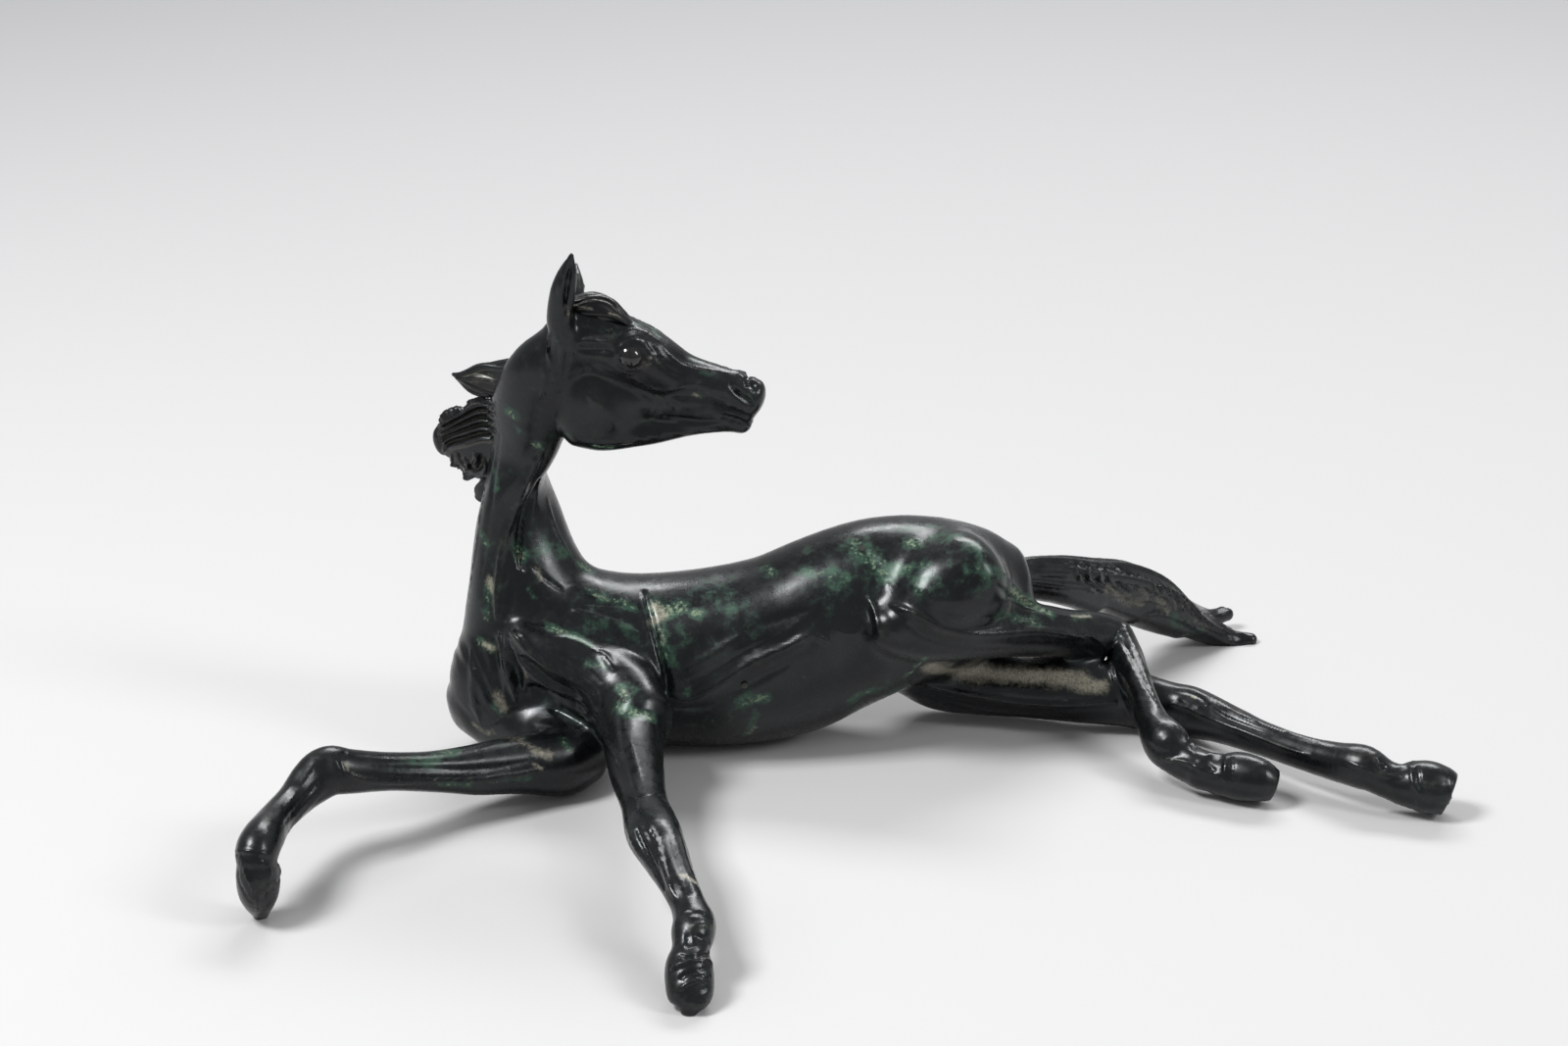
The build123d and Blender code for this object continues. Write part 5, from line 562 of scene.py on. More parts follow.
    (1.4,0,1.59,0.1,[[42.7,-26.3,71.6],[48.1,-30.4,71.3],[55.1,-33.1,69.5],[63.1,-31.6,64.1],[71.2,-28.5,60.5],[81.1,-24.1,57.7],[91.9,-18,55.8],[103.7,-10.5,53.4],[115.4,-2.2,48.3],[126.6,6.7,42.1]]),
    (-0.8,0,1.98,0.25,[[49.2,-33,66.4],[52,-33.5,64.9],[54.4,-33.4,62.7],[63.2,-31.3,57.9],[75.5,-26.7,53.2],[92,-18.2,49.4]]),
    (0.5,0,3.54,0.25,[[51.3,-25.3,80.3],[58.9,-30.8,78.3],[67.6,-31.9,75.4],[76.3,-29.9,75.4]]),
    (0.8,0,1.58,0.25,[[63.7,-32.6,70.5],[67.8,-31.4,68.3],[72.6,-30,68.1]]),
    (-0.6,0,3.18,0.25,[[31.9,-8.3,88.6],[37.7,-15.1,82.8],[41.6,-20.5,76.5]]),
    (-1,0,1.44,0.25,[[82.6,-26.9,83.5],[87.7,-23.9,77.1],[94.6,-8.7,66.2],[101.5,-4.5,60.8],[109.1,-1.6,56.9]]),
    (0.9,0,0.97,0.25,[[86.9,-22,83.5],[92.8,-8.9,73.2],[98.2,-3.6,65.7],[105,-1.6,59.6],[112.6,0.3,55.2],[121.5,7.4,50.8],[130.5,15.3,47.3]]),
    (-0.5,0,1.6,0.25,[[79.1,-26.6,67],[91.9,-15.4,60.4],[104.6,-8.4,55.5],[117.7,1.3,50.3]]),
    (0.25,0,0.48,0.25,[[51.9,-4.3,92.1],[55,-7.3,91.6],[54,-11,90.1],[51.3,-10.5,89.5],[50.6,-7.3,90.8],[52.2,-6,91.5]]),
    (0.9,0,0.74,0.25,[[121.2,3.1,46.8],[127.5,7.8,43],[133,11.6,37.7],[134.5,13.1,33.4]]),
    (0.9,0,0.9,0.12,[[134.5,12.9,34.4],[136.7,8.4,28.3],[139.1,1.1,22.7],[142.8,-2,14.2],[147.7,4.4,2],[145.8,-38.2,15.6]]),
    (-0.8,0,0.98,0.25,[[138.9,19.1,41.5],[142.6,13.5,36.9],[145.7,-1.2,34.5],[148.6,-13.5,31.3],[152.4,-24.2,27.5]]),
    (0.5,0,0.82,0.25,[[142.9,21.6,40.4],[146.9,11,36.2],[150.4,-4.2,32.3],[154.7,-9.1,23.9]]),
    (-0.4,0,1.23,0.25,[[130.3,13,46],[135.9,18.5,44.5],[141.3,22,41.2]]),
    (0.6,0,1.35,0.25,[[154.4,-28.3,25.9],[158,-38.8,25.2],[160.6,-43.9,22.8],[163.2,-46.7,19.8]]),
    (-1.6,0,0.71,0.25,[[162,-42.8,22.3],[164.6,-45.6,19.2],[164.9,-52.5,18.2]]),
    (1.1,0,0.87,0.25,[[149,-45.4,13.4],[154.1,-49.7,13.3],[159.6,-52.8,14.9],[164.1,-57.5,15],[169.3,-60.5,13.5],[173.7,-62.7,13.7]]),
    (-0.5,0,1.19,0.25,[[146.9,-41.4,18.1],[150.3,-46.8,16.3],[155.9,-49.7,16.9]]),
    (0.8,0,0.59,0.25,[[177.4,-56,19.1],[176,-61.8,16.8],[175.5,-64.4,12.4],[176.8,-65.2,8]]),
    (-0.7,0,0.59,0.25,[[179.4,-58.2,19.8],[178.5,-63.5,16.7],[178.4,-66,12.3]]),
    (0.6,0,1.18,0.25,[[168.8,-56,17.8],[173.2,-52.6,17.9],[177.4,-56,19.1]]),
    (-0.8,0,0.78,0.25,[[167.2,-57.1,17],[170.1,-59,15.8],[172.2,-61.6,14]]),
    (1.5,0,0.9,0.08,[[49.1,-16.7,34.5],[57.3,1.7,23.8],[65.8,6.4,19.3],[74,6.1,17.4],[86.3,4.5,15.7],[101.8,2.7,14],[115.5,-0.2,14.7],[128.1,-1.6,15.9],[139.5,-1.3,17.1]]),
    (-1.3,0,3.68,0.25,[[60.4,-14.4,37.9],[76,7.9,24.9],[92.4,6.8,23.6],[108.6,4.4,23.9],[124.8,1.7,23.8]]),
    (0.9,0,0.72,0.25,[[57.1,-30.5,51],[53.7,-18.9,41.3],[49.5,-17.2,35.7]]),
    (-0.5,0,1.65,0.25,[[55.4,4.8,18.3],[74.2,7,10.8],[95,7.2,6.6],[119.1,0.6,8.9]]),
    (1,0,0.96,0.12,[[161.4,-3.1,16.6],[167,-7.6,16.9],[172.2,-14.2,16.9],[179.3,-22.1,17.1],[187.5,-29.6,16.7],[196.3,-38,16.4],[204.2,-46.2,16.5],[212.4,-53.9,17.6]]),
    (0.8,0,0.64,0.25,[[177.2,-7.9,22.4],[184.1,-20.1,21.5],[192.4,-27.4,20.6],[201.5,-36.1,20.3],[211.6,-45,21.2],[220.8,-53.5,22.7]]),
    (-0.8,0,0.72,0.25,[[173.7,-10.6,21],[181.2,-21.7,19.6],[192,-31.2,18.8],[202.4,-41.5,19]]),
    (-0.55,0,1.06,0.25,[[162.1,1.3,20.8],[168.2,-2.2,21.5],[173.2,-8.1,21.6],[175,-13.4,20.5]]),
    (0.5,0,1.22,0.25,[[164.5,-3,19.2],[167.8,-7,18.4],[171.3,-11.3,18.6]]),
    (0.9,0,0.86,0.25,[[222.5,-62.7,20.3],[227.6,-67.4,20],[233,-70,18.7],[239,-72,17.6],[244.1,-73.2,18.1]]),
    (-1.6,0,0.7,0.25,[[235,-65.7,23.1],[237.1,-68.1,21.2],[238.4,-70.5,19]]),
    (1.1,0,0.54,0.25,[[249.8,-64.9,20.9],[247.9,-73.2,19.9],[248.2,-76.8,16.5],[250,-78.5,13.9],[250.4,-78.5,8.7]]),
    (-0.8,0,0.58,0.25,[[251.2,-69,22.1],[250.3,-74.8,19.8],[250.8,-77.5,16.9],[252.2,-79.2,13.4]]),
    (0.45,0,1.24,0.25,[[251.9,-77.6,17.3],[256.3,-78.5,16.9],[261.9,-78.4,16]]),
    (0.5,0,0.46,0.25,[[262.7,-70.3,20.6],[262.3,-77.7,16.9],[263.1,-78.6,9.6],[262.3,-83.5,7]]),
    (0.5,0,1.17,0.25,[[242.7,-69.6,19.8],[247.7,-65.8,20.1],[252.4,-65,21.8]]),
    (1.5,0,1.03,0.15,[[-114.6,-6.9,151.1],[-121.7,8.9,146.7],[-129.7,12.2,142.5],[-136.5,14.3,138.4],[-141.5,15.5,135.4]]),
    (1.5,0,1.04,0.15,[[-116.4,10.5,144.8],[-121.7,8.7,146.7],[-129.8,12.7,142.4],[-136.5,14.4,138.3],[-141.5,15.5,135.4]]),
    (1.5,0,1.03,0.15,[[-114.8,-6.5,147.6],[-121.4,5.2,145.5],[-129.4,8.3,141.4],[-136.2,10.6,136.8],[-141.4,13.6,133.1]]),
    (1.5,0,1.04,0.15,[[-116.8,13,140.5],[-122.1,11.9,143.1],[-130.2,15.1,139],[-137,17.2,134.4],[-141.7,15.8,132.3]]),
    (1.5,0,1.03,0.15,[[-115,-5.9,144.1],[-121.3,3.4,143.2],[-129.3,6.4,139.2],[-136.1,9.3,134.7],[-141.3,11.3,131.4]]),
    (1.5,0,1.04,0.15,[[-117,14.8,136.5],[-122.4,13.7,139.4],[-130.5,17,135.3],[-137.2,18,131.5],[-142,17.1,129.3]]),
    (1.5,0,1.03,0.15,[[-115.2,-5.1,140.4],[-121.3,2.1,140.3],[-129.3,5.4,136.6],[-136.1,8.6,132.8],[-141.3,10.5,129.6]]),
    (1.5,0,1.04,0.15,[[-117.3,15.7,132.8],[-122.7,15,135.6],[-130.7,17.9,132],[-137.3,18.2,129.3],[-142,16.9,127.2]]),
    (1.5,0,1.03,0.15,[[-115.3,-4.5,136.8],[-121.4,1.4,137.2],[-129.4,4.8,133.8],[-136.2,8.3,130.4],[-138.8,9.5,127.4]]),
    (1.5,0,1.04,0.15,[[-117.4,15.9,129.3],[-122.9,15.6,132],[-130.9,18.1,128.9],[-137.4,18.1,126.8],[-139.8,17.4,124.4]]),
    (1.5,0,1.03,0.15,[[-115.5,-4.2,132.9],[-121.5,0.9,133.2],[-129.5,4.5,129.7],[-136.4,8.6,126.5],[-139.2,11,123]]),
    (1.5,0,1.04,0.15,[[-117.6,16.7,125.1],[-123.1,15.8,127.6],[-131,17.8,124.7],[-137.4,17.1,123.3],[-139.7,15.1,121.5]]),
    (-1.6,0,0.67,0.15,[[-114.7,-6.9,149.4],[-121.5,6.6,146.3],[-129.7,11.5,141.5],[-135.8,11.2,137.8],[-140.7,14.2,134.2]]),
    (-1.6,0,0.68,0.15,[[-116.6,11.9,142.7],[-121.9,10.5,144.8],[-129.8,12.6,141.1],[-136.4,16.5,135.9],[-140.7,14.5,134.1]]),
    (-1.6,0,0.67,0.15,[[-114.9,-6.3,145.9],[-121.4,4.1,144.4],[-129.3,7.1,140.4],[-135.7,9.6,135.9],[-140.4,11.5,132.6]]),
    (-1.6,0,0.68,0.15,[[-116.9,14.1,138.5],[-122.3,13,141.2],[-130.4,16.3,137],[-136.7,17.8,132.9],[-141.1,17.3,130.5]]),
    (-1.6,0,0.67,0.15,[[-115.1,-5.5,142.2],[-121.3,2.7,141.8],[-129.3,5.8,137.9],[-135.7,8.6,133.7],[-140.4,10.4,130.5]]),
    (-1.6,0,0.68,0.15,[[-117.2,15.3,134.6],[-122.6,14.4,137.5],[-130.6,17.6,133.6],[-136.8,18.3,130.1],[-141.3,17.6,127.8]]),
    (-1.6,0,0.67,0.15,[[-115.3,-4.8,138.6],[-121.4,1.7,138.8],[-129.3,5,135.2],[-135.7,8.2,131.7],[-140.5,10.1,128.5]]),
    (-1.6,0,0.68,0.15,[[-117.3,15.6,131.1],[-122.8,15.3,133.8],[-130.8,18.1,130.4],[-136.9,18.3,128],[-141.3,17.2,125.8]]),
    (-1.6,0,0.67,0.15,[[-115.4,-4.3,134.9],[-121.4,1.1,135.2],[-129.4,4.5,131.8],[-135.9,8.1,128.4],[-138.1,9.6,125.2]]),
    (-1.6,0,0.68,0.15,[[-117.5,16,127.3],[-123,15.8,129.8],[-130.9,18,126.8],[-137,17.8,124.7],[-139,16.6,122.6]]),
    (1.3,0,1.04,0.2,[[-135.3,8.8,123.4],[-134.5,10.7,118.9],[-132,8.6,117.1]]),
    (1.3,0,1.04,0.2,[[-136.2,15.7,120.8],[-134.5,10.6,118.9],[-132.3,11.7,115.9]]),
    (1.3,0,1.03,0.2,[[-125.4,2.6,127],[-124.4,2.4,123.7],[-126.7,4.4,119.5]]),
    (1.3,0,1.04,0.2,[[-127,16.5,121.8],[-125.8,15.3,118.8],[-127.8,14.4,115.7]]),
    (1.3,0,1.04,0.2,[[-132.2,9.3,114.2],[-129.9,9.5,112.4],[-126.3,6.9,114.3]]),
    (1.3,0,1.04,0.2,[[-132.3,10,114],[-129.9,9.6,112.4],[-126.8,10.8,112.8]]),
    (1.3,0,1.03,0.2,[[-121.4,1,125.1],[-120.8,1.7,120.6],[-122.8,4.1,116.2]]),
    (1.3,0,1.04,0.2,[[-122.8,14.5,119.9],[-122,12.6,116.4],[-123.6,11.3,113.5]]),
    (1.3,0,1.04,0.2,[[-129.8,5,123.6],[-128.3,5,120.2],[-130.5,8.6,115.4]]),
    (1.3,0,1.04,0.2,[[-131.1,16.3,119.3],[-129.4,14.9,116.4],[-130.8,11.6,114.2]]),
    (-1.5,0,0.72,0.2,[[-132.2,6.2,125.3],[-131.6,6.5,121.3],[-129.2,5.8,119]]),
    (-1.5,0,0.72,0.2,[[-133.5,17,121.2],[-132.6,15.1,118],[-130.2,14.4,115.7]]),
    (-1.5,0,0.72,0.2,[[-127.8,4.5,121.2],[-126,4.8,117.7],[-123.4,3.1,119.2]]),
    (-1.5,0,0.72,0.2,[[-129,15.3,117.1],[-126.9,13.2,114.4],[-124.5,13.2,115.3]]),
    (-1.5,0,0.72,0.2,[[-134.2,7.2,118.5],[-132.9,8.7,114.5],[-130.6,9.7,114.1]]),
    (-1.5,0,0.72,0.2,[[-134.5,10,117.4],[-132.9,9.1,114.3],[-130.6,9.8,114]]),
    (-1.5,0,0.72,0.2,[[-123,1.6,126.6],[-122.8,2.1,122.1],[-124.7,4.1,117.9]]),
    (-1.5,0,0.72,0.2,[[-124.5,15.5,121.3],[-124.1,14.2,117.5],[-125.7,13.1,114.5]]),
    (0.9,0,1,0.2,[[116.7,34.8,65.8],[122.9,36.2,60.3],[127.6,39.8,52.9],[134.4,46.7,45.3]]),
    (0.9,0,1.02,0.2,[[117.6,44,61.9],[124.9,55.7,52],[130,62.6,43.1],[137,69.9,35.4]]),
    (0.9,0,1,0.2,[[121.4,39.5,63.8],[127.5,40.6,58.4],[132.2,43.7,51.2],[139,50.1,43.9]]),
    (0.9,0,1.02,0.2,[[122.2,47.4,60.5],[129.6,60.1,50.2],[134.8,67.6,41],[141.8,74.8,33.2]]),
    (0.9,0,1.01,0.2,[[126.2,45.9,61.1],[132.1,45.2,56.5],[136.8,47.6,49.5],[143.6,53.7,42.3]]),
    (0.9,0,1.02,0.2,[[126.6,49.7,59.6],[134.3,64.5,48.3],[139.6,72.3,39],[146.7,79.2,31.3]]),
    (0.9,0,1.01,0.2,[[131.1,52.4,58.4],[136.9,49.9,54.5],[141.5,51.5,47.8],[148.3,57.2,40.8]]),
    (0.9,0,1.03,0.2,[[131.1,52.4,58.4],[139,68.6,46.6],[144.4,76.5,37.2],[151.5,83.2,29.6]]),
    (0.9,0,1.01,0.2,[[135.9,57.7,56.2],[141.6,54.3,52.6],[146.2,55.5,46.2],[153,60.8,39.3]]),
    (0.9,0,1.03,0.2,[[135.8,57.3,56.4],[143.7,72.1,45.1],[149.2,80.2,35.6],[156.3,86.9,28]]),
    (0.9,0,1.02,0.2,[[140.4,60.2,53.8],[146.2,57.4,49.9],[150.9,59.2,43.1],[157.7,64.4,36.3]]),
    (0.9,0,1.03,0.2,[[140.7,62.7,52.7],[148.5,76.7,41.7],[154,84.3,32.4],[161.5,93.3,23.8]]),
    (0.9,0,1.02,0.2,[[144.6,59,52.2],[150.9,60.4,46.6],[155.7,62.9,39.5],[162.6,68.1,32.6]]),
    (0.9,0,1.04,0.2,[[146.1,71.5,47],[153.5,81.4,37.7],[159,88.8,28.4],[166.4,96.7,20.2]]),
    (0.9,0,1.02,0.2,[[149.1,60.9,49.4],[155.7,63.7,43.1],[160.6,66.6,35.9],[167.5,71.8,29]]),
    (0.9,0,1.04,0.2,[[151.1,77,42.6],[158.5,85.7,33.8],[164.3,95.1,23.6],[171.3,99.9,16.7]]),
    (0.9,0,1.03,0.2,[[153.8,63.7,46.2],[160.5,67.2,39.6],[165.4,70.2,32.2],[172.4,75.6,25.2]]),
    (0.9,0,1.05,0.2,[[156.1,81.6,38.6],[163.8,92.5,28.7],[169.3,98.6,19.9],[176.2,102.7,13.4]]),
    (0.9,0,1.03,0.2,[[158.6,66.9,42.7],[165.3,70.8,36],[170.3,73.9,28.5],[177.4,79.5,21.4]]),
    (0.9,0,1.05,0.2,[[161,85.7,34.8],[168.7,96.2,25],[174.2,101.7,16.5],[181,105,10.2]]),
    (0.9,0,1.03,0.2,[[163.4,70.4,39.2],[170.2,74.7,32.2],[175.3,78,24.7],[182.4,83.4,17.6]]),
    (0.9,0,1.05,0.2,[[166.2,91.6,30.2],[173.7,99.7,21.4],[179.1,104.6,13.1],[185.9,107,7.2]]),
    (0.9,0,1.04,0.2,[[168.3,74.1,35.5],[175.3,79.4,28.1],[180.3,82.2,20.7],[187.4,87.3,13.8]]),
    (0.9,0,1.06,0.2,[[171.1,94.7,26.7],[178.6,102.9,17.9],[184,107,9.9],[190.6,108.1,4.6]]),
    (0.9,0,1.04,0.2,[[173.4,79,31.4],[180.6,85.4,23.4],[185.4,86.7,16.7],[192.4,90.6,10.2]]),
    (0.9,0,1.06,0.2,[[175.9,96.8,23.7],[183.6,105.7,14.6],[188.8,109,6.9],[194.2,102.3,5]]),
    (-1,0,0.75,0.2,[[119,37,64.9],[125.2,38.3,59.4],[129.9,41.7,52],[136.7,48.4,44.6]]),
    (-1,0,0.76,0.2,[[119.9,45.8,61.2],[127.2,57.9,51.1],[132.4,65.2,42],[139.4,72.4,34.3]]),
    (-1,0,0.75,0.2,[[123.7,42.3,62.6],[129.8,42.9,57.5],[134.5,45.6,50.4],[141.3,51.9,43.1]]),
    (-1,0,0.77,0.2,[[124.4,48.8,59.9],[131.9,62.3,49.2],[137.2,70,40],[144.2,77,32.3]]),
    (-1,0,0.76,0.2,[[128.7,50.2,59.4],[134.5,47.6,55.5],[139.2,49.6,48.7],[145.9,55.4,41.6]]),
    (-1,0,0.77,0.2,[[128.7,50.1,59.4],[136.6,66.6,47.4],[142,74.4,38.1],[149.1,81.3,30.4]]),
    (-1,0,0.76,0.2,[[133.5,55.1,57.3],[139.2,52.1,53.6],[143.8,53.5,47],[150.6,59,40.1]]),
    (-1,0,0.77,0.2,[[133.5,55.3,57.2],[141.3,70.4,45.8],[146.8,78.4,36.4],[153.9,85.1,28.8]]),
    (-1,0,0.76,0.2,[[138.2,59.7,55],[143.9,56.1,51.4],[148.5,57.4,44.9],[155.3,62.6,38.1]]),
    (-1,0,0.77,0.2,[[138.2,59.6,55],[146.1,74.1,43.8],[151.6,82.1,34.4],[158.8,89.4,26.5]]),
    (-1,0,0.76,0.2,[[142.4,58.8,53.3],[148.6,58.8,48.3],[153.3,61.1,41.3],[160.2,66.3,34.4]]),
    (-1,0,0.78,0.2,[[143.5,68.1,49.4],[151,79.1,39.7],[156.5,86.4,30.5],[163.9,95.1,22]]),
    (-1,0,0.77,0.2,[[146.9,59.9,50.8],[153.3,62,44.9],[158.1,64.7,37.7],[165,69.9,30.8]]),
    (-1,0,0.78,0.2,[[148.6,74.4,44.7],[156,83.6,35.7],[161.9,93.3,25.4],[168.9,98.4,18.4]]),
    (-1,0,0.77,0.2,[[151.5,62.3,47.8],[158.1,65.5,41.4],[163,68.4,34.1],[169.9,73.6,27.1]]),
    (-1,0,0.78,0.2,[[153.6,79.3,40.6],[161,87.8,31.8],[166.8,96.9,21.7],[173.8,101.4,15]]),
    (-1,0,0.77,0.2,[[156.2,65.3,44.5],[162.9,69,37.8],[167.9,72,30.4],[174.9,77.5,23.3]]),
    (-1,0,0.79,0.2,[[158.6,83.7,36.6],[166.3,94.4,26.9],[171.7,100.2,18.2],[178.6,103.9,11.8]]),
    (-1,0,0.77,0.2,[[161,68.6,41],[167.8,72.7,34.1],[172.8,76,26.6],[179.9,81.4,19.5]]),
    (-1,0,0.79,0.2,[[163.5,87.7,32.8],[171.2,98,23.2],[176.6,103.2,14.7],[183.5,106.1,8.7]]),
    (-1,0,0.78,0.2,[[165.8,72.2,37.4],[172.7,76.9,30.2],[177.8,80.1,22.7],[184.9,85.4,15.7]]),
    (-1,0,0.79,0.2,[[168.7,93.2,28.4],[176.2,101.3,19.7],[181.5,105.8,11.5],[188.2,107.7,5.8]]),
    (-1,0,0.78,0.2,[[170.8,76.4,33.6],[177.9,82.3,25.8],[182.9,84.4,18.7],[189.9,89.1,11.9]]),
    (-1,0,0.79,0.2,[[173.5,95.9,25.1],[181.1,104.4,16.2],[186.4,108,8.4],[192.8,107.8,3.6]]),
    (0.55,0,0.57,0.2,[[172.7,76.4,20.8],[183.6,84.1,12.6],[195.2,90.2,5.6],[205.4,92.7,1.6]]),
    (0.55,0,0.57,0.2,[[176,100,10.4],[186.1,101,5.2],[196.9,100.9,0.8],[206.5,99.2,-1.3]]),
    (0.55,0,0.57,0.2,[[175.4,77.9,23],[187.4,86.9,12.8],[199.2,93.8,5.9],[209.3,96.3,4.3]]),
    (0.55,0,0.57,0.2,[[179.1,104.2,11.5],[190.4,106.7,4.1],[200.4,101.2,2.6],[209.7,98.5,3.4]]),
    (0.55,0,0.57,0.2,[[167.6,72.2,26.4],[178.6,80.5,17.1],[190.5,88.2,8],[202.8,92.2,0.4]]),
    (0.55,0,0.57,0.2,[[171.3,99.2,14.6],[181.7,102.3,7.5],[192.4,100.7,2.4],[203.8,98.6,-2.5]]),
    (0.55,0,0.57,0.2,[[183.5,85.9,19.4],[193.7,107.8,10.8],[200.6,112.8,10.6]]),
    (0.55,0,0.58,0.2,[[186.8,108.5,9.6],[194.2,110.7,9.6],[200.6,112.9,10.5]]),
    (0.55,0,0.57,0.2,[[185.4,86.4,16.4],[195.1,104.5,9.4],[202,109.4,9.1]]),
    (0.55,0,0.58,0.2,[[188.8,108.8,6.5],[196.4,112.4,5.9],[202.6,113.2,7.5]]),
    (-0.65,0,0.44,0.2,[[171.6,75.3,23.2],[182.5,83.3,14.5],[194.3,90.2,7.1],[206.3,93.6,3.1]]),
    (-0.65,0,0.44,0.2,[[175.2,100.9,11.9],[185.4,103,5.7],[196,101.2,2.1],[207.3,99.7,0.4]]),
    (-0.65,0,0.44,0.2,[[170,75.3,20.3],[180.9,83.4,11.5],[192.6,89.6,4],[202.9,92.8,-0.8]]),
    (-0.65,0,0.44,0.2,[[173,96.7,10.9],[183.1,98.3,4.9],[194.1,99.1,-0.3],[203.7,97.6,-3]]),
    (-0.65,0,0.44,0.2,[[184.5,86.2,17.9],[194.3,105.4,10.4],[201.2,110.7,10.1]]),
    (-0.65,0,0.44,0.2,[[187.8,108.8,8],[195.4,112.2,7.4],[201.6,113.1,9]]),
    (1,0,0.69,0.1,[[139.3,57.3,32.9],[148.6,66.6,25.1],[154.2,67,25.4],[159.9,68.4,26.2],[165.9,71.7,24.7],[172.7,76.4,20.8],[179.6,81.4,15.8],[186.7,86.3,9.3]]),
    (-1,0,2.13,0.25,[[143.8,54.7,39.6],[151.5,61.1,34],[160,66.8,30.6],[168.6,72.9,26.1]]),
]

